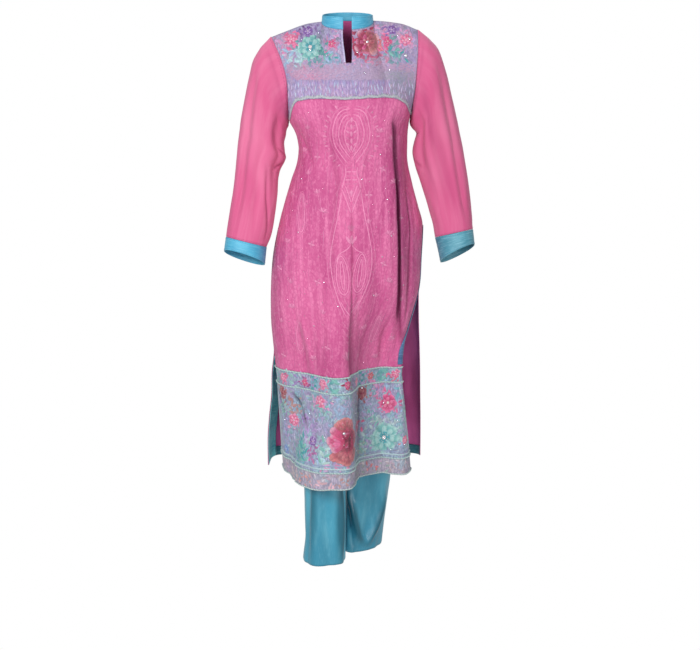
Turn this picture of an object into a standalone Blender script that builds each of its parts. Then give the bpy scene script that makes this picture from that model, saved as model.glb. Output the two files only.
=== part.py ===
"""Salwar kameez suit, standing as it is worn, as separate pieces of cloth.

Metres, Z up, the front of the suit faces -Y. Left and right are as seen from the
front, so left is -X. The origin is between the shoulders, at the foot of the collar.
Every piece is an open sheet with its cloth thickness given by a Solidify modifier.
"""
import bpy
import bmesh
import numpy as np
from math import pi

# ---------------------------------------------------------------- sizes (m)
CLOTH = 0.0015          # wall of every cloth piece
GAP = 0.0003            # clear space left at a seam
UNDERARM = 0.223        # depth of the underarm below the neck point
SLIT_TOP = 0.462        # where the side seams open into slits
BORDER_TOP = 0.808      # worked border of the front starts here
BAND_LOW = 0.846        # narrow band ends, main flowered border starts
BORDER_LOW = 1.034      # main border ends, hem band starts
HEM = 1.075             # front hem
BACK_HEM = 1.085        # back hem
NECK_X = 0.0600         # half width of the neck hole
NECK_FRONT = -0.0520    # y of the neck hole at centre front
NECK_BACK = 0.0560      # y of the neck hole at centre back
NECK_MID = 0.0015       # x of the centre front line

# ------------------------------------------------------- tables, by depth t
# widths at the side seams, and how far the cloth stands forward at centre
FRONT = (("t", "left", "right", "left_y", "right_y", "front_y", "power"),
         (0.223, -0.1340, 0.1450, 0.010, 0.012, -0.118, 2.35),
         (0.245, -0.1215, 0.1425, 0.011, 0.013, -0.116, 2.35),
         (0.275, -0.1140, 0.1420, 0.012, 0.014, -0.109, 2.35),
         (0.310, -0.1160, 0.1425, 0.012, 0.014, -0.104, 2.35),
         (0.363, -0.1330, 0.1535, 0.012, 0.014, -0.104, 2.35),
         (0.420, -0.1500, 0.1690, 0.012, 0.014, -0.107, 2.35),
         (0.462, -0.1610, 0.1800, 0.012, 0.014, -0.110, 2.35),
         (0.480, -0.1652, 0.1800, 0.012, 0.014, -0.111, 2.35),
         (0.535, -0.1760, 0.1770, 0.012, 0.004, -0.112, 2.35),
         (0.612, -0.1820, 0.1725, 0.010, 0.002, -0.112, 2.30),
         (0.665, -0.1830, 0.1610, 0.008, 0.000, -0.109, 2.25),
         (0.705, -0.1820, 0.1490, 0.007, -0.010, -0.105, 2.25),
         (0.745, -0.1785, 0.1375, 0.006, -0.016, -0.101, 2.20),
         (0.815, -0.1720, 0.1325, 0.008, -0.010, -0.094, 2.10),
         (0.900, -0.1680, 0.1400, 0.024, 0.008, -0.098, 2.00),
         (1.000, -0.1640, 0.1510, 0.048, 0.018, -0.106, 2.00),
         (1.090, -0.1600, 0.1590, 0.066, 0.028, -0.114, 2.00))
BACK = (("t", "left", "right", "left_y", "right_y", "back_y", "power"),
        (0.223, -0.1340, 0.1450, 0.010, 0.012, 0.100, 2.50),
        (0.245, -0.1215, 0.1425, 0.011, 0.013, 0.096, 2.50),
        (0.275, -0.1140, 0.1420, 0.012, 0.014, 0.090, 2.50),
        (0.310, -0.1160, 0.1425, 0.012, 0.014, 0.086, 2.50),
        (0.363, -0.1330, 0.1535, 0.012, 0.014, 0.086, 2.50),
        (0.420, -0.1500, 0.1690, 0.012, 0.014, 0.096, 2.50),
        (0.462, -0.1610, 0.1800, 0.012, 0.014, 0.106, 2.50),
        (0.535, -0.1760, 0.1790, 0.016, 0.026, 0.119, 2.50),
        (0.612, -0.1820, 0.1755, 0.024, 0.050, 0.128, 2.50),
        (0.700, -0.1815, 0.1770, 0.037, 0.072, 0.136, 2.50),
        (0.785, -0.1800, 0.1810, 0.049, 0.090, 0.144, 2.50),
        (0.835, -0.1858, 0.1830, 0.056, 0.098, 0.148, 2.50),
        (0.900, -0.1885, 0.1845, 0.064, 0.108, 0.154, 2.50),
        (0.950, -0.1945, 0.1860, 0.070, 0.115, 0.158, 2.50),
        (1.000, -0.1990, 0.1870, 0.076, 0.122, 0.162, 2.50),
        (1.090, -0.2005, 0.1880, 0.087, 0.134, 0.170, 2.50))
# armhole seams, from the shoulder tip down to the underarm
ARMHOLE = (("v", "left", "left_z", "right", "right_z", "front_y", "back_y"),
           (0.00, -0.1760, -0.028, 0.1650, -0.012, 0.004, 0.006),
           (0.10, -0.1660, -0.047, 0.1650, -0.034, -0.016, 0.026),
           (0.25, -0.1530, -0.076, 0.1640, -0.066, -0.030, 0.042),
           (0.45, -0.1410, -0.113, 0.1610, -0.108, -0.039, 0.050),
           (0.65, -0.1355, -0.151, 0.1570, -0.150, -0.039, 0.050),
           (0.82, -0.1340, -0.186, 0.1510, -0.187, -0.028, 0.040),
           (0.94, -0.1335, -0.212, 0.1470, -0.212, -0.008, 0.024),
           (1.00, -0.1340, -0.223, 0.1450, -0.223, 0.010, 0.012))
# shoulder seams out to the sleeve heads
SHOULDER = (("x", "z", "y"),
            (-0.1760, -0.0280, 0.005),
            (-0.1340, -0.0120, 0.004),
            (-0.0950, 0.0015, 0.003),
            (-0.0600, 0.0070, 0.003),
            (0.0600, 0.0095, 0.003),
            (0.1020, 0.0060, 0.003),
            (0.1300, 0.0015, 0.004),
            (0.1650, -0.0120, 0.005))
# hanging folds of the front: a trough where depth is positive, a ridge where
# it is negative; x drifts from x_high to x_low on its way down
FRONT_FOLDS = (("x_high", "x_low", "t_start", "t_full", "t_fade", "t_end", "half_width", "depth"),
               (0.110, 0.121, 0.27, 0.44, 0.72, 0.80, 0.0085, 0.0120),
               (0.142, 0.150, 0.42, 0.52, 0.62, 0.70, 0.0065, 0.0050),
               (-0.108, -0.131, 0.80, 0.92, 1.04, 1.20, 0.0120, 0.0120),
               (-0.060, -0.078, 0.40, 0.60, 0.74, 0.84, 0.0200, 0.0040),
               (0.070, 0.078, 0.38, 0.56, 0.66, 0.80, 0.0180, 0.0040),
               (0.092, 0.104, 0.84, 1.00, 2.0, 3.0, 0.0160, -0.0100))
BACK_FOLDS = (("x_high", "x_low", "t_start", "t_full", "t_fade", "t_end", "half_width", "depth"),
              (-0.060, -0.092, 0.30, 0.80, 2.0, 3.0, 0.0240, -0.0160),
              (0.010, 0.004, 0.40, 0.95, 2.0, 3.0, 0.0260, -0.0150),
              (0.066, 0.100, 0.33, 0.85, 2.0, 3.0, 0.0240, -0.0140),
              (-0.100, -0.140, 0.50, 0.95, 2.0, 3.0, 0.0180, 0.0090))
LOBE = (("t", "ridge", "recess", "step"),      # cloth over the forward knee, and beside it
        (0.420, 0.000, 0.000, 0.000),
        (0.560, 0.008, 0.002, 0.000),
        (0.665, 0.030, 0.018, 0.000),
        (0.740, 0.050, 0.042, 0.000),
        (0.815, 0.053, 0.058, 0.000),
        (0.940, 0.051, 0.068, 0.006),
        (1.010, 0.049, 0.074, 0.030),
        (1.090, 0.046, 0.080, 0.052))


def smooth(a, b, x):
    u = np.clip((x - a) / (b - a), 0.0, 1.0)
    return u * u * (3.0 - 2.0 * u)


def column(table, name, at):
    """One named column of a table, read at `at` on a smooth curve through its rows."""
    rows = np.array(table[1:], float)
    key, val = rows[:, 0], rows[:, table[0].index(name)]
    slope = np.gradient(val, key)
    at = np.asarray(at, float)
    i = np.clip(np.searchsorted(key, at) - 1, 0, len(key) - 2)
    h = key[i + 1] - key[i]
    u = np.clip((at - key[i]) / h, 0.0, 1.0)
    return ((2 * u**3 - 3 * u**2 + 1) * val[i] + (u**3 - 2 * u**2 + u) * h * slope[i]
            + (-2 * u**3 + 3 * u**2) * val[i + 1] + (u**3 - u**2) * h * slope[i + 1])


def folds(table, x, t):
    total = 0.0 * x
    for row in table[1:]:
        f = dict(zip(table[0], row))
        run = smooth(f["t_start"], f["t_full"], t) * (1.0 - smooth(f["t_fade"], f["t_end"], t))
        centre = f["x_high"] + (f["x_low"] - f["x_high"]) * np.clip((t - f["t_start"]) / (min(f["t_end"], HEM) - f["t_start"]), 0, 1)
        total = total + f["depth"] * run * np.exp(-((x - centre) / f["half_width"])**2)
    return total


def by_length(points, count):
    """Points spread evenly by length along a polyline (rows, points, 3)."""
    step = np.linalg.norm(np.diff(points, axis=1), axis=2)
    run = np.concatenate([np.zeros((points.shape[0], 1)), np.cumsum(step, axis=1)], axis=1)
    out = np.empty((points.shape[0], count, 3))
    for r in range(points.shape[0]):
        at = np.linspace(0.0, run[r, -1], count)
        for k in range(3):
            out[r, :, k] = np.interp(at, run[r], points[r, :, k])
    return out


def rings(side, t, count):
    """Level rows of the front or back below the underarm, spread evenly by length."""
    table = FRONT if side == "front" else BACK
    t = np.atleast_1d(np.asarray(t, float))[:, None]
    q = np.linspace(-pi / 2, pi / 2, 721)[None, :]
    left, right = column(table, "left", t), column(table, "right", t)
    n = column(table, "power", t)
    e = np.sign(np.sin(q)) * np.abs(np.sin(q))**(2 / n)
    c = np.abs(np.cos(q))**(2 / n)
    x = (left + right) / 2 + (right - left) / 2 * e
    side_y = column(table, "left_y", t) * (1 - e) / 2 + column(table, "right_y", t) * (1 + e) / 2
    if side == "front":
        y = side_y + (column(table, "front_y", t) - side_y) * c
        calm = smooth(0.0, 0.35, c)
        y = y - column(LOBE, "ridge", t) * np.exp(-((x + 0.018) / 0.056)**2) * calm
        y = y + column(LOBE, "recess", t) * smooth(0.008, 0.029, x) * (1 - smooth(0.085, 0.150, x)) * calm
        y = y - column(LOBE, "step", t) * smooth(-0.139, -0.123, x) * (1 - smooth(-0.085, -0.020, x))
        y = y + folds(FRONT_FOLDS, x, t) * calm
    else:
        y = side_y + (column(table, "back_y", t) - side_y) * c
        y = y - folds(BACK_FOLDS, x, t) * smooth(0.0, 0.35, c)
    pts = np.stack([x, y, -t + 0 * x], axis=2)
    return by_length(pts, count)


def top_edge(side, count):
    """Shoulder seam, neckline, shoulder seam, spread evenly by length."""
    xl, xr = SHOULDER[1][0], SHOULDER[-1][0]
    x1 = np.linspace(xl, -NECK_X + NECK_MID, 60)
    x2 = np.linspace(NECK_X + NECK_MID, xr, 60)
    a = np.linspace(-pi / 2, pi / 2, 121)[1:-1]
    reach = NECK_FRONT if side == "front" else NECK_BACK
    low = -0.0135 if side == "front" else 0.0130
    xm = NECK_MID + NECK_X * np.sin(a)
    ym = column(SHOULDER, "y", xm) * (1 - np.cos(a)) + reach * np.cos(a)
    zs = column(SHOULDER, "z", np.where(xm < 0, -NECK_X, NECK_X))
    zs = column(SHOULDER, "z", -NECK_X) * (1 - (np.sin(a) + 1) / 2) + column(SHOULDER, "z", NECK_X) * (np.sin(a) + 1) / 2
    zm = zs + (low - zs) * np.cos(a)**0.8
    rows = [np.stack([x, column(SHOULDER, "y", x), column(SHOULDER, "z", x)], 1) for x in (x1, x2)]
    line = np.concatenate([rows[0], np.stack([xm, ym, zm], 1), rows[1]])
    return by_length(line[None], count)[0]


def armhole(side, which, v):
    return np.stack([column(ARMHOLE, which, v), column(ARMHOLE, side + "_y", v), column(ARMHOLE, which + "_z", v)], -1)


def swing(s, t):
    """How far the back's lower edge is drawn up by its swing, away from its left tip."""
    return 0.013 * smooth(0.0, 0.13, s) * smooth(0.93, 1.085, t)


class Panel:
    """The front or the back as one cloth: s runs 0..1 from the left side seam to the
    right one, t is the depth below the neck (0 at the shoulder and neck edge)."""

    def __init__(self, side, columns=241, upper=60, lower=260, end=1.09):
        self.side, self.end = side, end
        s = np.linspace(0, 1, columns)
        v = np.linspace(0, 1, upper)
        top = top_edge(side, columns)
        tl = np.linspace(UNDERARM, end, lower)
        low = rings(side, tl, columns)
        base = low[0]
        sign = -1.0 if side == "front" else 1.0
        # a column of cloth leaves the shoulder sloping outward and meets the chest upright
        inner = np.exp(-((top[:, 0] - NECK_MID) / 0.062)**4)
        t0 = np.stack([0 * s, sign * (0.150 - 0.085 * inner), -0.150 - 0.050 * inner], 1)
        rise = (low[3] - low[0]) / (tl[3] - tl[0]) * UNDERARM
        t1 = np.stack([0.5 * rise[:, 0], rise[:, 1], -0.22 + 0 * s], 1)
        V = v[:, None, None]
        up = ((2 * V**3 - 3 * V**2 + 1) * top + (V**3 - 2 * V**2 + V) * t0
              + (-2 * V**3 + 3 * V**2) * base + (V**3 - V**2) * t1)
        for which, edge, w in (("left", 0, np.clip(1 - s / 0.30, 0, 1)**2), ("right", -1, np.clip(1 - (1 - s) / 0.30, 0, 1)**2)):
            miss = armhole(side, which, v) - up[:, edge]
            up = up + miss[:, None, :] * w[None, :, None]
        self.t = np.concatenate([v[:-1] * UNDERARM, tl])
        self.grid = np.concatenate([up[:-1], low])
        self.columns = columns
        evenly = np.linspace(0, 1, columns)
        self.mid = np.array([np.interp(NECK_MID, row[:, 0], evenly) for row in self.grid])
        self.length = np.linalg.norm(np.diff(self.grid, axis=1), axis=2).sum(1)

    def middle(self, t):
        """s of the centre line at depth t."""
        return np.interp(t, self.t, self.mid)

    def width(self, t):
        """Width of the cloth at depth t, measured along it."""
        return np.interp(t, self.t, self.length)

    def at(self, s, t):
        s, t = np.broadcast_arrays(np.asarray(s, float), np.asarray(t, float))
        if self.side == "back":
            t = t - swing(s, t)
        i = np.clip(np.searchsorted(self.t, t, side="right") - 1, 0, len(self.t) - 2)
        u = ((t - self.t[i]) / (self.t[i + 1] - self.t[i]))[..., None]
        f = np.clip(s, 0, 1) * (self.columns - 1)
        j = np.clip(f.astype(int), 0, self.columns - 2)
        w = (f - j)[..., None]
        g = self.grid
        return ((g[i, j] * (1 - w) + g[i, j + 1] * w) * (1 - u) + (g[i + 1, j] * (1 - w) + g[i + 1, j + 1] * w) * u)

    def out(self, s, t):
        """Unit normal, pointing out of the garment."""
        e = 0.004
        ds = self.at(np.clip(np.asarray(s) + e, 0, 1), t) - self.at(np.clip(np.asarray(s) - e, 0, 1), t)
        dt = self.at(s, np.clip(np.asarray(t) + 0.002, 0, self.end)) - self.at(s, np.clip(np.asarray(t) - 0.002, 0, self.end))
        n = np.cross(dt, ds) if self.side == "front" else np.cross(ds, dt)
        return n / np.maximum(np.linalg.norm(n, axis=-1, keepdims=True), 1e-9)


# ------------------------------------------------------------------ sleeves
# each row: the outer and the inner point of one section across the sleeve,
# how far its middle is forward (-) and half its depth
SLEEVE_L = (("run", "out_x", "out_z", "in_x", "in_z", "mid_y", "half_y"),
            (0.030, -0.1990, -0.0500, -0.1385, -0.2310, 0.006, 0.055),
            (0.070, -0.2170, -0.0800, -0.1430, -0.2400, 0.006, 0.061),
            (0.115, -0.2285, -0.1200, -0.1450, -0.2540, 0.007, 0.063),
            (0.165, -0.2390, -0.1660, -0.1480, -0.2710, 0.008, 0.063),
            (0.215, -0.2480, -0.2150, -0.1465, -0.2930, 0.008, 0.062),
            (0.245, -0.2520, -0.2430, -0.1445, -0.3100, 0.007, 0.061),
            (0.270, -0.2555, -0.2660, -0.1550, -0.3280, 0.005, 0.060),
            (0.325, -0.2615, -0.3200, -0.1625, -0.3560, -0.003, 0.058),
            (0.378, -0.2670, -0.3700, -0.1640, -0.3950, -0.014, 0.056),
            (0.430, -0.2740, -0.4200, -0.1710, -0.4400, -0.028, 0.053),
            (0.476, -0.2800, -0.4630, -0.1800, -0.4850, -0.042, 0.050),
            (0.501, -0.2830, -0.4880, -0.1900, -0.5120, -0.050, 0.048))
SLEEVE_R = (("run", "out_x", "out_z", "in_x", "in_z", "mid_y", "half_y"),
            (0.030, 0.1900, -0.0300, 0.1500, -0.2300, 0.006, 0.055),
            (0.070, 0.2130, -0.0560, 0.1550, -0.2380, 0.006, 0.061),
            (0.115, 0.2290, -0.0990, 0.1640, -0.2500, 0.007, 0.063),
            (0.165, 0.2430, -0.1500, 0.1605, -0.2700, 0.008, 0.063),
            (0.215, 0.2555, -0.2030, 0.1575, -0.2930, 0.008, 0.062),
            (0.270, 0.2665, -0.2560, 0.1610, -0.3200, 0.005, 0.060),
            (0.325, 0.2765, -0.3120, 0.1720, -0.3560, -0.003, 0.058),
            (0.378, 0.2850, -0.3640, 0.1845, -0.3960, -0.014, 0.056),
            (0.430, 0.2910, -0.4140, 0.1960, -0.4360, -0.028, 0.053),
            (0.476, 0.2945, -0.4510, 0.2050, -0.4680, -0.042, 0.050),
            (0.501, 0.2945, -0.4700, 0.2080, -0.4890, -0.050, 0.048))
CUFF_L = (("run", "out_x", "out_z", "in_x", "in_z", "mid_y", "half_y"),
          (0.000, -0.2835, -0.4885, -0.1895, -0.5125, -0.0502, 0.0485),
          (0.018, -0.2855, -0.5050, -0.1915, -0.5320, -0.0550, 0.0480),
          (0.036, -0.2875, -0.5215, -0.1935, -0.5510, -0.0600, 0.0475))
CUFF_R = (("run", "out_x", "out_z", "in_x", "in_z", "mid_y", "half_y"),
          (0.000, 0.2950, -0.4705, 0.2078, -0.4895, -0.0502, 0.0485),
          (0.018, 0.2970, -0.4890, 0.2145, -0.5170, -0.0550, 0.0480),
          (0.036, 0.2985, -0.5070, 0.2205, -0.5450, -0.0600, 0.0475))
SLEEVE_FOLDS = (("turn_high", "turn_low", "run_start", "run_full", "run_fade", "run_end", "half_turn", "depth"),
                (0.13, 0.16, 0.02, 0.16, 0.40, 0.50, 0.030, 0.0060),
                (0.24, 0.28, 0.04, 0.20, 0.42, 0.50, 0.035, 0.0060),
                (0.36, 0.40, 0.02, 0.10, 0.24, 0.40, 0.035, 0.0070),
                (0.64, 0.60, 0.02, 0.14, 0.30, 0.46, 0.035, 0.0060),
                (0.78, 0.74, 0.05, 0.20, 0.38, 0.50, 0.035, 0.0060))


def tube(rows, turn, run, fold=None):
    """Point of a sleeve: turn 0 is its outer edge, 0.25 its front, 0.5 the inner edge.
    Towards the hand a section tilts, so its front edge stands higher than its back."""
    turn, run = np.broadcast_arrays(np.asarray(turn, float), np.asarray(run, float))
    ox, oz = column(rows, "out_x", run), column(rows, "out_z", run)
    ix, iz = column(rows, "in_x", run), column(rows, "in_z", run)
    a = 2 * pi * turn
    ca, sa = np.cos(a), np.sin(a)
    e = np.sign(ca) * np.abs(ca)**0.92
    f = np.sign(sa) * np.abs(sa)**0.92
    x = (ox + ix) / 2 + (ox - ix) / 2 * e
    y = column(rows, "mid_y", run) - f * column(rows, "half_y", run)
    tilt = 0.12 * smooth(0.30, 0.501, run) if fold else 0.12 + 0.20 * run / 0.036
    z = (oz + iz) / 2 + (oz - iz) / 2 * e + tilt * f * column(rows, "half_y", run)
    if fold:
        push = 0 * run
        for row in fold[1:]:
            r = dict(zip(fold[0], row))
            mid = r["turn_high"] + (r["turn_low"] - r["turn_high"]) * np.clip((run - r["run_start"]) / (r["run_end"] - r["run_start"]), 0, 1)
            on = smooth(r["run_start"], r["run_full"], run) * (1 - smooth(r["run_fade"], r["run_end"], run))
            push = push + r["depth"] * on * np.exp(-((turn - mid) / r["half_turn"])**2)
        y = y + push * f
        x = x - push * e * np.sign(ox)
    return np.stack([x, y, z], -1)


def armhole_loop(side, turn):
    """The seam the sleeve is set into, turn 0 at the shoulder, 0.25 at the front."""
    turn = np.asarray(turn, float)
    v = (1 - np.cos(2 * pi * turn)) / 2
    front = armhole("front", side, v)
    back = armhole("back", side, v)
    return np.where((turn <= 0.5)[..., None], front, back)


def sleeve(side, turn, run):
    turn, run = np.broadcast_arrays(np.asarray(turn, float), np.asarray(run, float))
    rows = SLEEVE_L if side == "left" else SLEEVE_R
    body = tube(rows, turn, np.maximum(run, 0.030), SLEEVE_FOLDS)
    seam = armhole_loop(side, turn)
    m = -1.0 if side == "left" else 1.0
    off = 0.0012 + 0.0024 * np.sin(pi * turn)**4
    seam = seam + np.stack([m * off, 0 * off, -0.35 * off * np.sin(pi * turn)**2], -1)
    u = np.clip(run / 0.030, 0, 1)[..., None]
    return seam * (1 - u) + body * u


# ------------------------------------------------------------------- salwar
LEG_L = (("z", "mid_x", "out_x", "mid_y", "front_y", "back_y"),
         (-0.420, 0.0070, -0.1180, 0.000, -0.082, 0.066),
         (-0.480, 0.0070, -0.1370, 0.002, -0.088, 0.080),
         (-0.545, 0.0060, -0.1540, 0.004, -0.090, 0.096),
         (-0.600, -0.0080, -0.1590, 0.005, -0.090, 0.102),
         (-0.650, -0.0360, -0.1570, 0.004, -0.086, 0.098),
         (-0.690, -0.0620, -0.1520, 0.002, -0.080, 0.088),
         (-0.715, -0.0740, -0.1480, 0.000, -0.077, 0.080),
         (-0.780, -0.0720, -0.1380, -0.004, -0.074, 0.070),
         (-0.880, -0.0670, -0.1270, -0.014, -0.077, 0.062),
         (-1.000, -0.0600, -0.1120, -0.022, -0.089, 0.056),
         (-1.120, -0.0560, -0.1080, -0.027, -0.096, 0.050),
         (-1.210, -0.0560, -0.1080, -0.030, -0.099, 0.044),
         (-1.285, -0.0570, -0.1095, -0.031, -0.101, 0.040))
LEG_R = (("z", "mid_x", "out_x", "mid_y", "front_y", "back_y"),
         (-0.420, 0.0070, 0.1330, 0.000, -0.082, 0.066),
         (-0.480, 0.0070, 0.1510, 0.002, -0.088, 0.080),
         (-0.545, 0.0080, 0.1580, 0.006, -0.088, 0.096),
         (-0.600, 0.0220, 0.1590, 0.010, -0.078, 0.104),
         (-0.650, 0.0480, 0.1530, 0.016, -0.066, 0.106),
         (-0.690, 0.0720, 0.1480, 0.022, -0.052, 0.106),
         (-0.715, 0.0800, 0.1450, 0.028, -0.037, 0.108),
         (-0.780, 0.0790, 0.1380, 0.042, -0.012, 0.112),
         (-0.880, 0.0740, 0.1310, 0.054, 0.001, 0.118),
         (-1.000, 0.0640, 0.1210, 0.060, 0.000, 0.122),
         (-1.120, 0.0530, 0.1080, 0.063, -0.003, 0.126),
         (-1.210, 0.0460, 0.0965, 0.065, 0.000, 0.128),
         (-1.285, 0.0405, 0.0885, 0.066, 0.002, 0.130))
RISE = (("d", "front_y", "back_y"),     # the centre seam, front and back, down to the crotch
        (0.420, -0.082, 0.066),
        (0.480, -0.088, 0.080),
        (0.545, -0.089, 0.095),
        (0.600, -0.083, 0.099),
        (0.645, -0.064, 0.090),
        (0.680, -0.033, 0.066),
        (0.700, -0.006, 0.038),
        (0.7145, 0.0145, 0.0165))
TWIST_R = (("d", "twist"), (0.780, 0.00), (0.900, 0.10), (1.100, 0.45), (1.285, 0.62))
SEAM_X = 0.0070
LEG_FOLDS_L = (("x_high", "x_low", "z_start", "z_full", "z_fade", "z_end", "half_width", "depth"),
               (0.40, 0.52, 0.98, 1.06, 1.22, 1.30, 0.10, 0.0120),
               (0.24, 0.20, 0.90, 1.05, 1.25, 1.40, 0.09, 0.0060),
               (0.66, 0.60, 0.80, 1.00, 1.20, 1.40, 0.08, 0.0070))
LEG_FOLDS_R = (("x_high", "x_low", "z_start", "z_full", "z_fade", "z_end", "half_width", "depth"),
               (0.34, 0.30, 0.90, 1.10, 1.24, 1.32, 0.08, 0.0080),
               (0.16, 0.22, 0.90, 1.05, 1.25, 1.40, 0.07, 0.0060),
               (0.66, 0.62, 0.80, 1.00, 1.20, 1.40, 0.08, 0.0070))


def leg(side, turn, z):
    """Point of one leg piece: turn 0 at the centre front seam (or inseam), 0.5 at the
    outer side, 1 at the centre back seam. Below the crotch the two ends meet."""
    turn, z = np.broadcast_arrays(np.asarray(turn, float), np.asarray(z, float))
    rows = LEG_L if side == "left" else LEG_R
    m = -1.0 if side == "left" else 1.0
    key = (("d",) + rows[0][1:],) + tuple((-r[0],) + r[1:] for r in rows[1:])
    mid, out = column(key, "mid_x", -z), column(key, "out_x", -z)
    cy = column(key, "mid_y", -z)
    fy, by = column(key, "front_y", -z), column(key, "back_y", -z)
    half = (out - mid) * m
    close = smooth(-0.60, -0.71, z)
    edge = SEAM_X + m * (0.0004 + 0.0012 * close)
    reach = np.clip((mid - edge) * m / half, -1, 1)
    reach = np.where(z < -0.713, 1.0, reach)
    open_angle = np.arccos(np.sign(reach) * np.abs(reach)**1.1)
    a = open_angle + turn * (2 * pi - 2 * open_angle)
    ca, sa = np.cos(a), np.sin(a)
    n = 2 / 2.2
    e = np.sign(ca) * np.abs(ca)**n
    f = np.sign(sa) * np.abs(sa)**n
    x = mid - m * half * e
    y = cy - np.where(f > 0, (cy - fy) * f, (by - cy) * f)
    ends = np.abs(np.sin(open_angle))**n
    ahead = np.clip(1 - turn / 0.22, 0, 1)**2
    behind = np.clip(1 - (1 - turn) / 0.22, 0, 1)**2
    seam = np.where(z > -0.713, 1.0, 0.0)
    y = y + seam * ahead * (column(RISE, "front_y", -z) - (cy - (cy - fy) * ends))
    y = y + seam * behind * (column(RISE, "back_y", -z) - (cy + (by - cy) * ends))
    if side == "right":
        y = y + column(TWIST_R, "twist", -z) * (x - mid)
    fold = LEG_FOLDS_L if side == "left" else LEG_FOLDS_R
    push = 0 * z
    for row in fold[1:]:
        r = dict(zip(fold[0], row))
        at = r["x_high"] + (r["x_low"] - r["x_high"]) * np.clip((-z - r["z_start"]) / (r["z_end"] - r["z_start"]), 0, 1)
        on = smooth(r["z_start"], r["z_full"], -z) * (1 - smooth(r["z_fade"], r["z_end"], -z))
        push = push + r["depth"] * on * np.exp(-((turn - at) / r["half_width"])**2)
    y = y + push * f
    x = x + m * push * e * 0.6
    return np.stack([x, y, z], -1)


# --------------------------------------------------------- edges on the front
YOKE = (("s", "t"), (0.00, 0.2140), (0.06, 0.2180), (0.11, 0.2120), (0.15, 0.1930), (0.19, 0.1800), (0.26, 0.1745),
        (0.36, 0.1700), (0.48, 0.1700), (0.62, 0.1675), (0.72, 0.1690), (0.80, 0.1740), (0.87, 0.1840), (0.93, 0.1990), (1.00, 0.2040))
NECK_SLIT = 0.083       # depth of the neck slit
SLIT_WIDTH = (("t", "wide"), (0.00, 0.0205), (0.030, 0.0195), (0.060, 0.0178), (0.083, 0.0160), (0.105, 0.0110), (0.135, 0.0030), (0.230, 0.0024))


def yoke_edge(s):
    return column(YOKE, "t", s)


def slit_edge(panel, t, side):
    """s of one edge of the neck slit (side -1 left, 1 right)."""
    return panel.middle(t) + side * column(SLIT_WIDTH, "wide", t) / 2 / panel.width(t)


# ------------------------------------------------------------------ building
for old in list(bpy.data.objects):
    bpy.data.objects.remove(old, do_unlink=True)

SUIT = bpy.data.collections.new("salwar_kameez_suit")
bpy.context.scene.collection.children.link(SUIT)


def finish(name, colour, roughness):
    m = bpy.data.materials.new(name)
    m.use_nodes = True
    shader = m.node_tree.nodes["Principled BSDF"]
    shader.inputs["Base Color"].default_value = (*colour, 1.0)
    shader.inputs["Roughness"].default_value = roughness
    shader.inputs["Metallic"].default_value = 0.0
    return m


def cloth(name, across, down, place, colour, roughness=0.7, thick=CLOTH, hole=None, loop=False):
    """A sheet: a flat grid, one vertex per (across, down) station, moved by `place`."""
    nx, ny = len(across), len(down)
    bm = bmesh.new()
    bmesh.ops.create_grid(bm, x_segments=nx - 1, y_segments=ny - 1, size=0.5)
    u, v = np.meshgrid(across, down)
    spots = place(u, v)
    station = {}
    for vert in bm.verts:
        i = round((vert.co.x + 0.5) * (nx - 1))
        j = round((0.5 - vert.co.y) * (ny - 1))
        station[vert] = (i, j)
    if hole:
        gone = []
        for face in bm.faces:
            ii = [station[c][0] for c in face.verts]
            jj = [station[c][1] for c in face.verts]
            if hole(min(ii), min(jj)):
                gone.append(face)
        bmesh.ops.delete(bm, geom=gone, context="FACES")
    for vert in bm.verts:
        i, j = station[vert]
        vert.co = spots[j, i]
    if loop:
        bmesh.ops.remove_doubles(bm, verts=bm.verts, dist=0.00002)
    mesh = bpy.data.meshes.new(name)
    bm.to_mesh(mesh)
    bm.free()
    mesh.shade_smooth()
    piece = bpy.data.objects.new(name, mesh)
    piece.data.materials.append(finish(name, colour, roughness))
    SUIT.objects.link(piece)
    wall = piece.modifiers.new("cloth thickness", "SOLIDIFY")
    wall.thickness = thick
    wall.offset = 0.0
    return piece


PINK = (0.72, 0.13, 0.34)
CHIFFON = (0.78, 0.17, 0.36)
AQUA = (0.06, 0.46, 0.62)
TEAL = (0.07, 0.36, 0.45)
GREY_BLUE = (0.36, 0.46, 0.58)
LILAC = (0.45, 0.36, 0.55)
MINT = (0.36, 0.68, 0.62)

front, back = Panel("front"), Panel("back")
EDGE = 0.0006                      # side seam set back, as a share of the width
TOP = 0.0015                       # shoulder seam and neck edge set back
COLUMNS = 24
even = np.linspace(EDGE, 1 - EDGE, COLUMNS + 1)
half = COLUMNS // 2


def stations(panel, u, t):
    """Columns that stay clear of the neck slit: the middle two follow its edges."""
    left, right = slit_edge(panel, t, -1), slit_edge(panel, t, 1)
    return np.where(u <= 0.5, EDGE + (left - EDGE) * u / 0.5, right + (1 - EDGE - right) * (u - 0.5) / 0.5)


# the yoke, whose middle strip is open down to the foot of the neck slit
yoke_u = np.concatenate([np.linspace(0, 0.5, half + 1), np.linspace(0.5, 1, half + 1) + 1e-9])
yoke_v = np.array([0.0, 0.165, 0.33, 0.488, 0.66, 0.83, 1.0])


def on_yoke(u, v):
    s = stations(front, u, 0.17 * v)
    t = TOP + (yoke_edge(s) - GAP / 2 - TOP) * v
    return front.at(stations(front, u, t), t)


cloth("kameez_front_yoke", yoke_u, yoke_v, on_yoke, GREY_BLUE, hole=lambda i, j: i == half and j < 3)


def between(panel, high, low):
    """A piece of the panel between two depths, each a number or a function of s."""
    def place(u, v):
        a = high(u) if callable(high) else high
        b = low(u) if callable(low) else low
        t = a + (b - a) * v
        return panel.at(u, t)
    return place


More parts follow.
